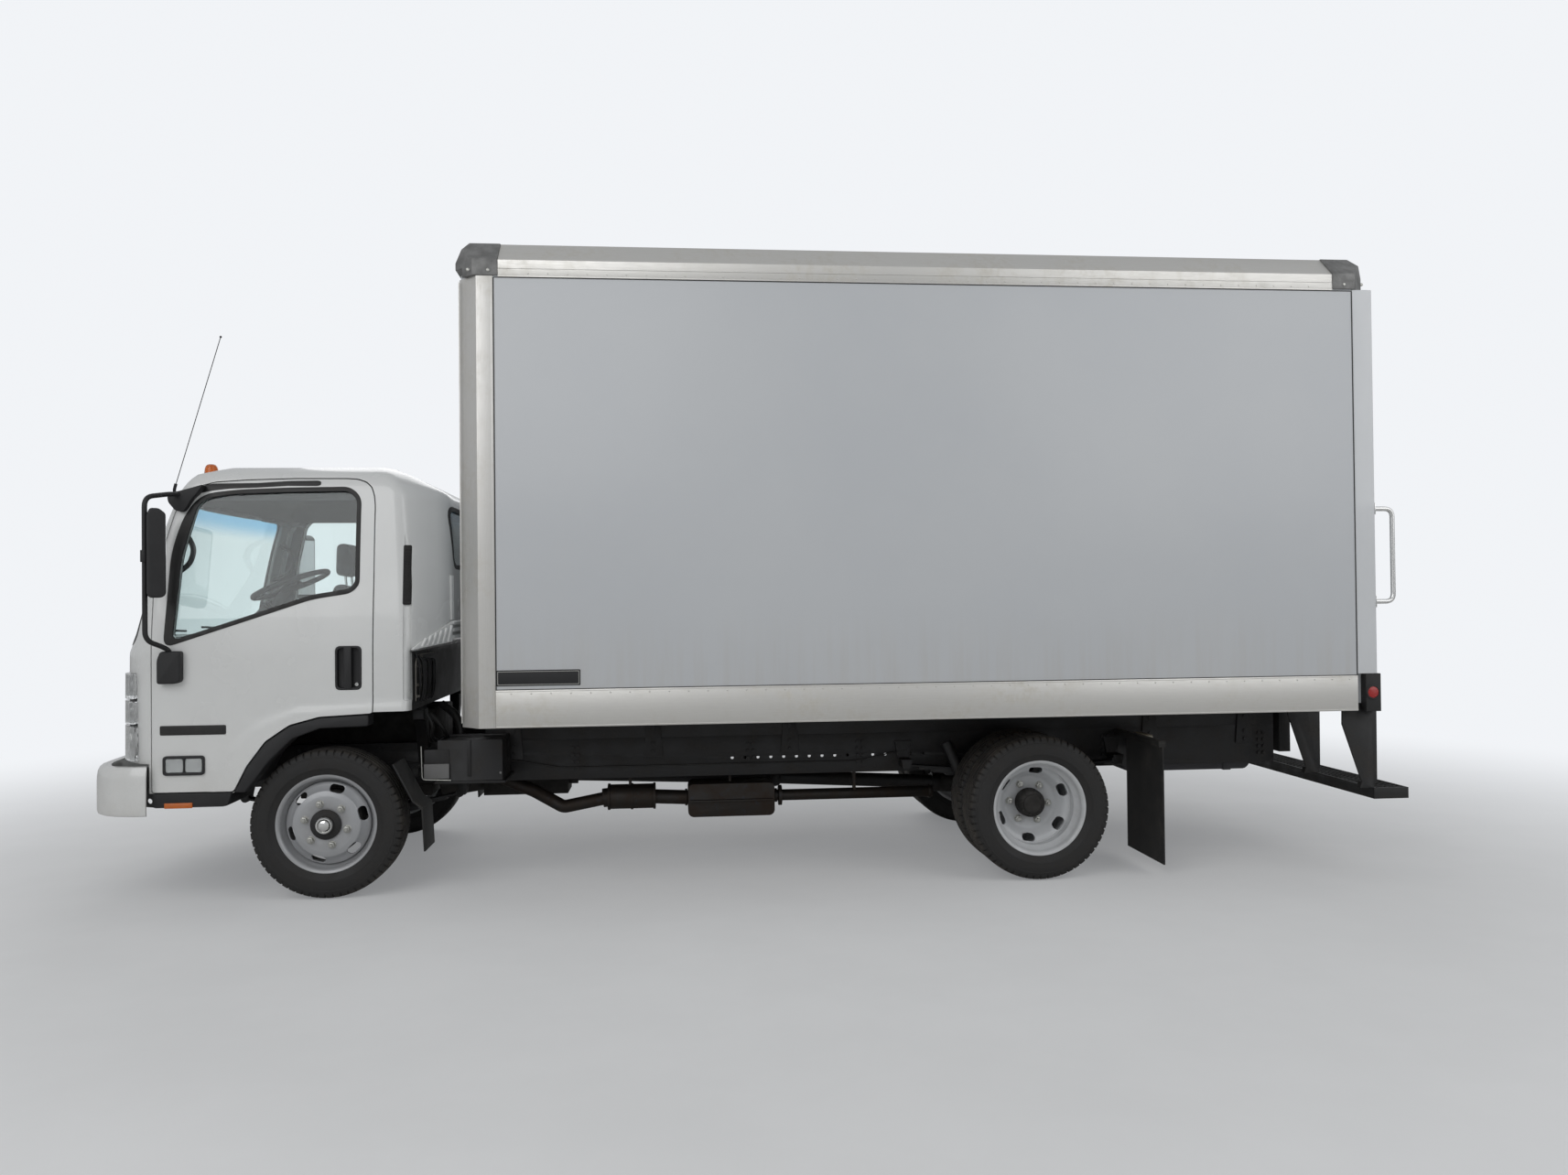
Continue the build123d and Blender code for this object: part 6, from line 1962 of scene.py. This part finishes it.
@dataclass
class CabinFittings:
    """The dashboard, the steering wheel, the pillar handles and the sun visors."""

    wheel_middle: Point3 = (310.0, 500.0, 1660.0)
    tilt: float = 21.0

    def wheel(self) -> Piece:
        """The steering wheel with three spokes and a padded boss."""
        x, y, z = self.wheel_middle
        middle = spot(x, y, z)
        turns = [math.radians(turn) for turn in range(0, 360, 30)]
        rim = [(205 + 15 * math.cos(turn), 15 * math.sin(turn)) for turn in turns]
        boss = [(0, -32), (52, -32), (60, -20), (60, -4), (50, 6), (0, 10)]
        spoke = Bench.block("spoke", (x + 40, y - 17, z - 15), (x + 200, y + 17, z - 2), 0.005)
        whole = Bench.join("steering_wheel_flat", [
            Bench.lathe("wheel_rim", rim, middle, Axis.Z, 64),
            Bench.lathe("wheel_boss", boss, middle, Axis.Z, 40),
            *[Bench.turned(spoke, "spoke_turned", middle, Axis.Z, math.radians(turn)) for turn in (0, 120,
                                                                                                   240)]])
        tipped = Bench.turned(whole, "steering_wheel", middle, Axis.Y, math.radians(self.tilt))
        Bench.drop(spoke, whole)
        return Bench.smooth(tipped, 40)

    def dashboard(self) -> None:
        """The dashboard with its dial hood and vents, and the steering column with its cowl and stalk."""
        edge = [(1030, 1016), (830, 1016), (716, 1170), (676, 1280), (722, 1341), (860, 1352), (1000, 1338),
                (1030, 1300)]
        board = Bench.side_prism("dash_board", rounded(edge, 22, 3), -866, 866)
        Bench.cut(board, [CabSkin().solid("dash_room", 64.0)], "INTERSECT")
        edge = [(700, 1300), (672, 1372), (700, 1398), (800, 1392), (900, 1345)]
        hood = Bench.side_prism("dial_hood", rounded(edge, 16, 3), 330, 660)
        parts = [Bench.soften(board, 0.006, 2, 40), Bench.soften(hood, 0.012, 3)]
        for name, radius, sides, places in (
                ("column", 0.026, 5, [(317, 500, 1642), (440, 500, 1500), (700, 500, 1243)]),
                ("column_cowl", 0.046, 5, [(400, 500, 1546), (450, 500, 1490), (690, 500, 1252)]),
                ("stalk", 0.007, 3, [(420, 540, 1530), (390, 690, 1556)])):
            parts.append(Bench.tube(name, places, radius, 0.02, sides))
        parts += [Bench.block("dash_vent", (664, y - 70, 1196), (700, y + 70, 1262), 0.008)
                  for y in (-700, -120, 120, 740)]
        mount(Bench.smooth(Bench.join("dash_trim", parts), 40), "cab", CABIN_GREY, "dashboard")

    def build(self) -> None:
        """Makes the fittings."""
        self.dashboard()
        mount(self.wheel(), "cab", TRIM_BLACK)
        route = [(798, 800, 1940), (742, 800, 1922), (706, 800, 1850), (728, 800, 1772), (784, 800, 1728),
                 (838, 800, 1714)]
        mount(Bench.both(Bench.tube("pillar_handle", route, 0.014, 0.035, 5)), "cab", TRIM_BLACK)
        visors = [Bench.block("visor", (600, y - 300, 2060), (690, y + 300, 2078), 0.008) for y in (-430, 430)]
        mount(Bench.join("sun_visors", visors), "cab", CABIN_GREY)


@dataclass
class Mirrors:
    """Tall mirrors on bent tubes, turned a little towards the driver."""

    tube_radius: float = 0.0125
    tube_place: Point2 = (815.0, 1130.0)
    turn: float = 25.0
    bracket: tuple[Point2, ...] = (
        (786, 2120), (764, 2141), (734, 2144), (664, 2163), (607, 2180), (632, 2141), (667, 2101),
        (692, 2057), (709, 2035), (747, 2044), (782, 2088),
    )
    head_outline: tuple[Point2, ...] = (
        (-90.5, 1606), (-90.5, 2010), (-59.5, 2036), (-20.5, 2036), (-8.5, 2010), (-8.5, 1606), (-24.5, 1590),
        (-74.5, 1590),
    )

    def build(self) -> None:
        """Makes the left mirror and its twin."""
        x, y = self.tube_place
        route = [(724, 915, 2128), (747, 985, 2126), (x, y, 2098), (x, y, 1376), (770, 1040, 1340),
                 (750, 1004, 1318),
                 (750, 990, 1260)]
        arm = Bench.tube("mirror_arm", route, self.tube_radius, 0.05, 6)
        outline = rounded([(x + along, z) for along, z in self.head_outline], 12, 4)
        straight = Bench.side_prism("mirror_head_straight", outline, y - 80, y + 110)
        Bench.soften(straight, 0.016, 4, 50)
        pane = Bench.block("mirror_pane", (x - 91.6, y - 68, 1618), (x - 89.4, y + 98, 1996), 0.001)
        head, face = [Bench.turned(piece, name, spot(x, y, 0), Axis.Z, math.radians(self.turn))
                      for piece, name in ((straight, "mirror_head"), (pane, "mirror_glass"))]
        Bench.drop(straight, pane)
        edge = rounded([(691, 1160), (691, 1315), (790, 1315), (807, 1270), (807, 1148), (720, 1148)], 14, 4)
        base = Bench.soften(Bench.side_prism("mirror_base", edge, 972, 1030), 0.012, 4, 50)
        edge = rounded(self.bracket, 12, 4)
        bracket = Bench.soften(Bench.side_prism("mirror_bracket", edge, 884, 942), 0.012, 3, 50)
        profile = [(12, -30), (19, -30), (20, -26), (20, 26), (19, 30), (12, 30)]
        clamp = Bench.lathe("mirror_clamp", profile, spot(x, y, 1800), Axis.Z, 24)
        black = Bench.join("mirror_black", [arm, head, base, bracket, clamp])
        mount_pair(Bench.smooth(black, 40), "door", TRIM_BLACK, "mirror")
        mount_pair(face, "door", MIRROR_FACE)


@dataclass
class BoxBody:
    """The insulated load space with its drawn rails, cast corners, rear frame and fittings."""

    nodes: dict[str, Piece]
    half: float = 1219.0
    face: float = 1215.0
    door_edges: Point2 = (1075.3, 3026.7)

    def dress(self) -> None:
        """Carries the flat panels and drawn rails over with rounded edges and their own finishes."""
        table = (
            ("side_wall_left", PANEL_WHITE, 0.0012), ("side_wall_right", PANEL_WHITE, 0.0012),
            ("front_wall", PANEL_WHITE, 0.0012), ("roof_panel", PANEL_WHITE, 0.004),
            ("body_floor", FLOOR_WOOD, 0.0012),
            ("top_rails", RAIL_X, 0.0022), ("lower_rails", RAIL_X, 0.0018), ("corner_posts", RAIL_Z, 0.005),
            ("corner_caps", CAST_GREY, 0.008), ("rear_door_frame", POST_WHITE, 0.005),
            ("roll_up_door", PANEL_WHITE, 0.003),
        )
        for name, finish, width in table:
            piece = Bench.carried(self.nodes[name], "dressed_" + name, width, 3 if width > 0.003 else 2)
            mount(piece, "chassis", finish, name)

    def seams(self) -> None:
        """Dark sealant lines between panel, rails and posts, and the lip under the top rail."""
        face, half = self.face, self.half
        seams = [Bench.block("seam", (x_low, face - 1, z_low), (x_high, face + rise, z_high))
                 for x_low, x_high, z_low, z_high, rise in (
                     (-5549, -922, 1100.6, 1104.6, 1.6), (-5546, -926, 3208, 3212, 1.8),
                     (-927, -922, 1104, 3208, 1.8), (-5549, -5544, 1104, 3208, 1.8))]
        mount(Bench.both(Bench.join("panel_seams", seams)), "chassis", SEAL_BLACK)
        lips = [Bench.block("lip", (x_low, half - 1, z_low), (x_high, half + rise, z_high), width)
                for x_low, x_high, z_low, z_high, rise, width in (
                    (-5432, -950, 3254, 3260, 2.4, 0.001), (-5432, -950, 3212, 3218, 1.6, 0.001),
                    (-5549, -922, 913, 917, 1.2, 0.0006), (-5549, -922, 1092, 1096, 1.2, 0.0006))]
        mount(Bench.both(Bench.join("rail_ribs", lips)), "chassis", RAIL_X)

    def post_lines(self) -> None:
        """The grooved strip on each corner post."""
        strips = []
        for y in (self.half - 88, self.half - 70):
            strips.append(Bench.block("bead", (-742, y - 2, 930), (-738.6, y + 2, 3200), 0.0006))
        flat = Bench.block("post_bead", (-918, self.half - 1, 912), (-912, self.half + 1.2, 3216), 0.0006)
        mount(Bench.both(Bench.join("post_beads", strips + [flat])), "chassis", RAIL_Z)

    def sign_place(self) -> None:
        """The bare dark plate low on each side, with its thin bright border."""
        face = self.face
        plate = Bench.plate("sign_plate", (-1348, -925), (1121, 1202), (face - 1, face + 2), 5, 3)
        outer = Bench.plate("sign_border", (-1342, -931), (1127, 1196), (face, face + 2.6), 4, 3)
        inner = Bench.plate("sign_room", (-1339, -934), (1130, 1193), (face - 2, face + 6), 3, 3)
        Bench.cut(outer, [inner])
        mount(Bench.both(Bench.soften(plate, 0.0006, 2)), "chassis", TRIM_BLACK)
        mount(Bench.both(outer), "chassis", ZINC)

    def fasteners(self) -> None:
        """Pop rivets along the rails and posts, and the bolts of the corner caps."""
        profile = [(0, -1), (4.6, -1), (4.4, 0.9), (3, 2), (0, 2.4)]
        rivet = Bench.lathe("rivet", profile, spot(-1000, self.half, 1082), Axis.Y, 8)
        low = [Bench.moved(rivet, "rivet", (-100 * index, 0, 0)) for index in range(1, 46)]
        high = [Bench.moved(copy, "rivet", (0, 0, 2148)) for copy in low[:43]]
        mount(Bench.both(Bench.join("rail_rivets", [rivet, *low, *high])), "chassis", RAIL_X)
        profile = [(0, -1), (9, -1), (8.6, 2.4), (5, 4), (0, 4)]
        bolts = [Bench.lathe("cap_bolt", profile, spot(x, 1224, 3244), Axis.Y, 16) for x in (-800, -900,
                                                                                             -5600, -5500)]
        mount(Bench.both(Bench.join("cap_bolts", bolts)), "chassis", ZINC)

    def grab_handles(self) -> None:
        """The bright handles at the rear corners, on pads with two bolts each."""
        x, y = -5661.4, 1199
        route = [(x, y, 1504), (-5773, y, 1504), (-5773, y, 2014), (x, y, 2014)]
        parts = [Bench.tube("grab_handle", route, 0.0128, 0.045, 6)]
        bolt = [(0, 0), (6, 0), (5.6, -3), (3, -4.4), (0, -4.4)]
        for z in (1504, 2014):
            parts.append(Bench.block("pad", (-5667.6, y - 18, z - 32), (x, y + 18, z + 32), 0.002))
            parts += [Bench.lathe("pad_bolt", bolt, spot(-5667, y, z + way), Axis.X, 12) for way in (-23, 23)]
        mount(Bench.both(Bench.join("grab_handles_bright", parts)), "chassis", HANDLE_BRIGHT, "grab_handles")

    def door_hardware(self) -> None:
        """The roll-up door's hinges, latch and pull strap."""
        low, high = self.door_edges
        parts = []
        for z in (low + index * (high - low) / 6 for index in range(1, 6)):
            for y in (-900, -450, 0, 450, 900):
                parts += [Bench.block("door_hinge", (-5631, y - 34, z - 26), (-5625.8, y + 34, z + 26), 0.0012),
                          Bench.lathe("hinge_pin", [(0, -36), (5, -36), (5, 36), (0, 36)], spot(-5631, y, z),
                                      Axis.Y, 10)]
        route = [(-5634, -46, 1150), (-5652, -46, 1150), (-5652, 60, 1205), (-5634, 60, 1205)]
        parts += [Bench.block("latch_plate", (-5632, -70, 1120), (-5626, 70, 1250), 0.002),
                  Bench.tube("latch_handle", route, 0.007, 0.012)]
        mount(Bench.join("door_hardware", parts), "chassis", ZINC)
        mount(Bench.block("pull_strap", (-5633, 118, 1080), (-5629, 150, 1330), 0.0015), "chassis", FLAP_BLACK)

    def red_lamps(self) -> None:
        """The side markers and the twin tail lamps, ribbed lenses in rubber rings."""
        ribs = [(31 - k * 2.4,
                 3 + 6 * math.sin(k / 12 * math.pi / 2) + (0.6 if k % 2 else 0)) for k in range(12)]
        profile = [(0, 0), (31, 0), *ribs, (0, 9.6)]
        flat = [(radius * 1.72, -place * 1.1) for radius, place in profile]
        marker_ring = [(31, -1), (40, -1), (40, 3), (37, 6), (31.4, 6)]
        tail_ring = [(53, 2), (66, 2), (66, -7), (61, -12), (53.6, -12)]
        lenses = [Bench.lathe("marker_lens", profile, spot(-5635, 1216, 1008), Axis.Y, 40)]
        rings = [Bench.lathe("marker_ring", marker_ring, spot(-5635, 1215.4, 1008), Axis.Y, 40)]
        for y in (700, 860):
            lenses.append(Bench.lathe("tail_lens", flat, spot(-5668, y, 1040), Axis.X, 48))
            rings.append(Bench.lathe("tail_ring", tail_ring, spot(-5663.4, y, 1040), Axis.X, 48))
        mount(Bench.both(Bench.smooth(Bench.join("red_lenses", lenses), 30)), "chassis", RED_LENS, "tail_lamps")
        mount(Bench.both(Bench.smooth(Bench.join("lamp_rings", rings), 40)), "chassis", SEAL_BLACK)

    def step(self) -> None:
        """The rear step's frame with its expanded metal tread, and the bare plate holder with its lamp."""
        frame = Bench.flattened(self.nodes["rear_step"], "rear_step_frame")
        Bench.cut(frame, [Bench.block("step_window", (-5846, -1161, 440), (-5674, 1161, 500))])
        mount(Bench.soften(frame, 0.002, 2), "chassis", STEP_BLACK, "rear_step")
        across, along, level = 5, 60, 0.474
        Bench.clear()
        bpy.ops.mesh.primitive_grid_add(x_subdivisions=across, y_subdivisions=along, size=1.0)
        grating = bpy.context.object
        grating.name = "step_grating"
        low, high = spot(-5850, -1165, 470), spot(-5670, 1165, 470)
        for index, vertex in enumerate(grating.data.vertices):
            row, column = divmod(index, across + 1)
            row = min(along, row + (0.5 if column % 2 else 0.0))
            vertex.co = (low.x + (high.x - low.x) * column / across, low.y + (high.y - low.y) * row / along,
                         level)
        Bench.apply(grating, "WIREFRAME", thickness=0.0075, use_replace=True, use_even_offset=False, offset=0.0)
        for vertex in grating.data.vertices:
            vertex.co.z = level + (vertex.co.z - level) * 0.3
        mount(grating, "chassis", STEP_BLACK)
        holder = Bench.carried(self.nodes["plate_holder"], "dressed_plate_holder", 0.0016)
        mount(holder, "chassis", STEP_BLACK, "plate_holder")
        mount(Bench.block("plate_lamp", (-5712, -40, 782), (-5684, 40, 802), 0.005), "chassis", TRIM_BLACK)

    def build(self) -> None:
        """Makes the whole box body."""
        for make in (self.dress, self.seams, self.post_lines, self.sign_place, self.fasteners,
                     self.grab_handles,
                     self.door_hardware, self.red_lamps, self.step):
            make()


@dataclass
class Bumper:
    """The white front bumper: one pressed section swept round the nose, with its lamps and intake."""

    plan: tuple[Point2, ...] = ((862, 1026), (930, 1030), (1080, 990), (1190, 860), (1223, 600), (1233, 300),
                                (1235, 0))
    shelf: tuple[Point2, ...] = ((0, 88), (500, 84), (850, 76), (950, 50), (1000, 24), (1030, 18))
    section: tuple[Point2, ...] = (
        (12, 473), (4, 477), (0.4, 490), (0, 520), (0, 636), (1.5, 668), (6, 694), (14, 712), (26, 723),
        (40, 728.4), (88, 729), (88, 716), (40, 714), (28, 706), (19, 690), (15, 664), (14, 520), (15, 484),
        (18, 474),
    )

    def path(self) -> list[Point2]:
        """The plan line as a smooth run of points from left to right."""
        half = rounded([(800, 1024), *self.plan[:-1], (1235, 0), (1233, -300)], 240, 10)
        half = [(x, y) for x, y in half if y > 2 and x >= 862]
        half = [(862, 1026)] + half
        return half + [(1235, 0)] + [(x, -y) for x, y in reversed(half)]

    def skin(self) -> Piece:
        """The section swept along the plan line, as deep at each place as the shelf allows."""
        line = [Vector(point) for point in self.path()]
        line = [line[0]] + [b for a, b in zip(line, line[1:]) if (b - a).length > 1.0]
        places, reaches = zip(*self.shelf)
        rings = []
        for index, point in enumerate(line):
            before, after = line[max(0, index - 1)], line[min(len(line) - 1, index + 1)]
            run = (after - before).normalized()
            inward = Vector((run.y, -run.x))
            limit = glide(places, reaches, abs(point.y))
            rings.append([spot(*(point + inward * min(reach, limit)), z) for reach, z in self.section])
        return Bench.loft("bumper_skin", rings)

    def build(self) -> None:
        """Makes the bumper, its lamps, the bars in its intake and its stays."""
        hole = [(0, -140), (46, -140), (46, 120), (0, 120)]
        holes = [Bench.lathe("fog_hole", hole, spot(1170, y, 580), Axis.X, 32) for y in (-720, 720)]
        skin = self.skin()
        Bench.cut(skin, [Bench.block("intake", (1100, -430, 506), (1300, 430, 566)),
                         Bench.block("plate_dip", (1231, -160, 590), (1300, 160, 690)), *holes])
        Bench.soften(skin, 0.0022, 2, 44)
        mount(skin, "chassis", CAB_WHITE, "front_bumper")
        cup = [(0, -20), (44, -20), (47, 0), (47, 62), (43, 62), (41, 4), (30, -10), (0, -14)]
        lens = [(0, 44), (40, 40), (42, 42), (40, 46), (0, 51)]
        for name, profile, finish in (("fog_cups", cup, PLATED), ("fog_lenses", lens, CLEAR_LENS)):
            pair = [Bench.lathe("fog_part", profile, spot(1150, y, 580), Axis.X, 32) for y in (-720, 720)]
            mount(Bench.smooth(Bench.join(name, pair), 40), "chassis", finish)
        bars = [Bench.block("intake_bar", (1180, -440, z), (1198, 440, z + 10), 0.003) for z in (510, 530, 550)]
        bars.append(Bench.block("intake_back", (1170, -445, 500), (1176, 445, 572), 0.001))
        mount(Bench.join("intake_bars", bars), "chassis", TRIM_BLACK)
        stays = [Bench.block("bumper_stay", (950.6, y - 25, 560), (1206, y + 25, 640), 0.003) for y in (-400,
                                                                                                        400)]
        stays.append(Bench.block("bumper_beam", (950.4, -424, 562), (962, 424, 638), 0.003))
        mount(Bench.join("bumper_stays", stays), "chassis", FRAME_BLACK)


@dataclass
class Chassis:
    """The ladder frame and everything that hangs on it."""

    nodes: dict[str, Piece]
    table: tuple[tuple[str, str, Finish, float], ...] = (
        ("chassis_frame", "chassis", FRAME_BLACK, 0.0016), ("body_subframe", "chassis", FRAME_BLACK, 0.0012),
        ("leaf_springs", "chassis", FRAME_BLACK, 0.0012), ("front_axle", "chassis", CAST_IRON, 0.004),
        ("rear_axle", "chassis", CAST_IRON, 0.006), ("engine_block", "chassis", CAST_IRON, 0.008),
        ("gearbox", "chassis", CAST_IRON, 0.006), ("propshaft", "chassis", FRAME_BLACK, 0.002),
        ("radiator", "chassis", STEP_BLACK, 0.003), ("fuel_tank", "chassis", TANK_BLACK, 0.006),
        ("battery_box", "chassis", FRAME_BLACK, 0.004), ("mudguards", "chassis", FLAP_BLACK, 0.002),
        ("cab_mounts", "chassis", FRAME_BLACK, 0.003), ("exhaust", "chassis", HOT_STEEL, 0.003),
        ("knuckle_left", "knuckle_left", CAST_IRON, 0.003),
        ("knuckle_right", "knuckle_right", CAST_IRON, 0.003),
        ("tie_rod", "tie_rod", FRAME_BLACK, 0.0015),
    )

    def dress(self) -> None:
        """Carries the frame, axles and drive over with rounded edges and their finishes."""
        for name, body, finish, width in self.table:
            mount(Bench.carried(self.nodes[name], "dressed_" + name, width), body, finish, name)

    def frame_bolts(self) -> None:
        """Bolt heads and rivets on the rails' outer webs, and the brackets between rail and body."""
        turns = [math.radians(60 * k) for k in range(6)]
        hexagon = [(AXLE_X + math.cos(turn) * 0.011, 0.56 + math.sin(turn) * 0.011) for turn in turns]
        head = Bench.prism("bolt_head", hexagon, Axis.Y, 0.4249, 0.4335)
        members = (880, -1280, -2300, -2950, -4450, -5440)
        places = [(x + way, z) for x in members for way in (14, 46) for z in (20, 60, 100, 140)]
        places += [(x, 10 + (k % 2) * 150) for k, x in enumerate(range(-700, 900, 110))]
        parts = [Bench.moved(head, "bolt_head", (x, 0, z)) for x, z in places]
        for x in (-900, -1700, -2500, -4700, -5300):
            edge = rounded([(x - 55, 640), (x + 55, 640), (x + 40, 842), (x - 40, 842)], 12, 3)
            parts.append(Bench.soften(Bench.side_prism("body_bracket", edge, 425.6, 433), 0.0015, 2))
            parts += [Bench.moved(head, "bracket_bolt", (x, 8.4, z - 560)) for z in (668, 716, 806)]
        Bench.drop(head)
        mount(Bench.both(Bench.join("frame_bolts", parts)), "chassis", FRAME_BLACK)

    def pipes(self) -> None:
        """Brake pipes, the wiring conduit, hoses at the cab's back and the shock absorbers."""
        table = (
            ("conduit", 0.014, 0.1, 3,
             ((-700, 402, 735), (-1500, 402, 738), (-2600, 402, 736), (-3300, 402, 738))),
            ("brake_pipe", 0.004, 0.05, 3,
             ((700, 434, 640), (-900, 434, 640), (-1180, 434, 590), (-2900, 434, 590),
                                            (-3200, 434, 650))),
            ("hose_a", 0.024, 0.08, 4,
             ((-470, 300, 960), (-560, 330, 900), (-600, 360, 790), (-560, 380, 700))),
            ("hose_b", 0.012, 0.07, 4,
             ((-470, 600, 930), (-540, 620, 860), (-560, 560, 780), (-620, 440, 720))),
            ("hose_c", 0.009, 0.06, 4,
             ((-470, 690, 940), (-505, 700, 880), (-480, 640, 800), (-540, 500, 740))),
        )
        lines = [Bench.tube(name, places, radius, bend, sides) for name, radius, bend, sides, places in table]
        mount(Bench.join("hoses", lines), "chassis", SEAL_BLACK)
        shocks = []
        for foot, head in (((-3560, 600, 350), (-3410, 540, 700)), ((120, 470, 330), (180, 410, 700))):
            middle = tuple(Vector(foot).lerp(Vector(head), 0.55))
            shocks.append(Bench.tube("shock_low", [foot, middle], 0.027, 0.01, 5))
            shocks.append(Bench.tube("shock_high", [middle, head], 0.033, 0.01, 5))
        mount(Bench.both(Bench.join("shock_absorbers", shocks)), "chassis", FRAME_BLACK)

    def silencer(self) -> None:
        """The exhaust's clamps and the silencer's seams."""
        parts = []
        for x, z, radius in ((-1436, 392, 74), (-1702, 392, 74), (-1570, 392, 73.4), (-1890, 378, 46),
                             (-2425, 376, 37), (-3360, 376, 36)):
            profile = [(radius - 4, -7), (radius + 3, -7), (radius + 4, 0), (radius + 3, 7), (radius - 4, 7)]
            parts.append(Bench.lathe("clamp", profile, spot(x, 300, z), Axis.X, 40))
        for x in (-1960, -2080, -2200, -2320):
            edge = rounded([(x - 8, 274.6), (x + 8, 274.6), (x + 8, 280), (x - 8, 280)], 2, 2)
            parts.append(Bench.side_prism("silencer_rib", edge, 215, 385))
        mount(Bench.smooth(Bench.join("exhaust_clamps", parts), 40), "chassis", HOT_STEEL)

    def fittings(self) -> None:
        """The grey battery bracket, the expansion tank, whose pale tan colour is painted sunlight, and the air
        intake behind the cab.
        """
        grey = [Bench.block("relay_front", (-600, 752, 592), (-466, 764, 672), 0.003),
                Bench.block("relay_bolt", (-880, 752, 610), (-868, 757, 622), 0.002)]
        dark = [Bench.block("relay_body", (-602, 560, 590), (-464, 754, 750), 0.006),
                Bench.block("battery_strap", (-716, 752, 600), (-696, 755, 800), 0.001)]
        edge = [Bench.tube("relay_edge", [(-452, 762, 770), (-456, 762, 588), (-610, 762, 582)], 0.004, 0.02,
                           3),
                Bench.tube("body_rod", [(-600, 640, 773), (-850, 640, 770)], 0.004, 0.01, 3)]
        # This block's pale tan colour is painted sunlight.
        tank = [Bench.block("expansion_tank", (-4640, 470, 600), (-4560, 640, 730), 0.02)]
        duct = [Bench.block("air_box", (-700, -700, 1000), (-648, -430, 1420), 0.02),
                Bench.tube("air_pipe", [(-672, -560, 1010), (-672, -560, 880), (-560, -440, 800)], 0.05, 0.12,
                           6)]
        for name, parts, finish in (("relay_box_front", grey, BRACKET_GREY), ("relay_box", dark, FRAME_BLACK),
                                    ("bright_edges", edge, ZINC), ("expansion_tank", tank, TANK_PAINTED_SUNLIGHT),
                                    ("air_intake", duct, TRIM_BLACK)):
            mount(Bench.join(name, parts), "chassis", finish)

    def build(self) -> None:
        """Makes the chassis and its fittings."""
        for make in (self.dress, self.frame_bolts, self.pipes, self.silencer, self.fittings):
            make()


def main() -> None:
    """Loads the frame and builds every sub-assembly in order."""
    logging.basicConfig(level=logging.INFO, format="%(message)s")
    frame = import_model()
    nodes = frame["nodes"]
    for assembly in (Studio(), Tyres(), Wheels(), Cab(nodes, CabSkin()), Seats(), CabinFittings(), Mirrors(),
                     BoxBody(nodes), Bumper(), Chassis(nodes)):
        assembly.build()


if __name__ == "__main__":
    main()
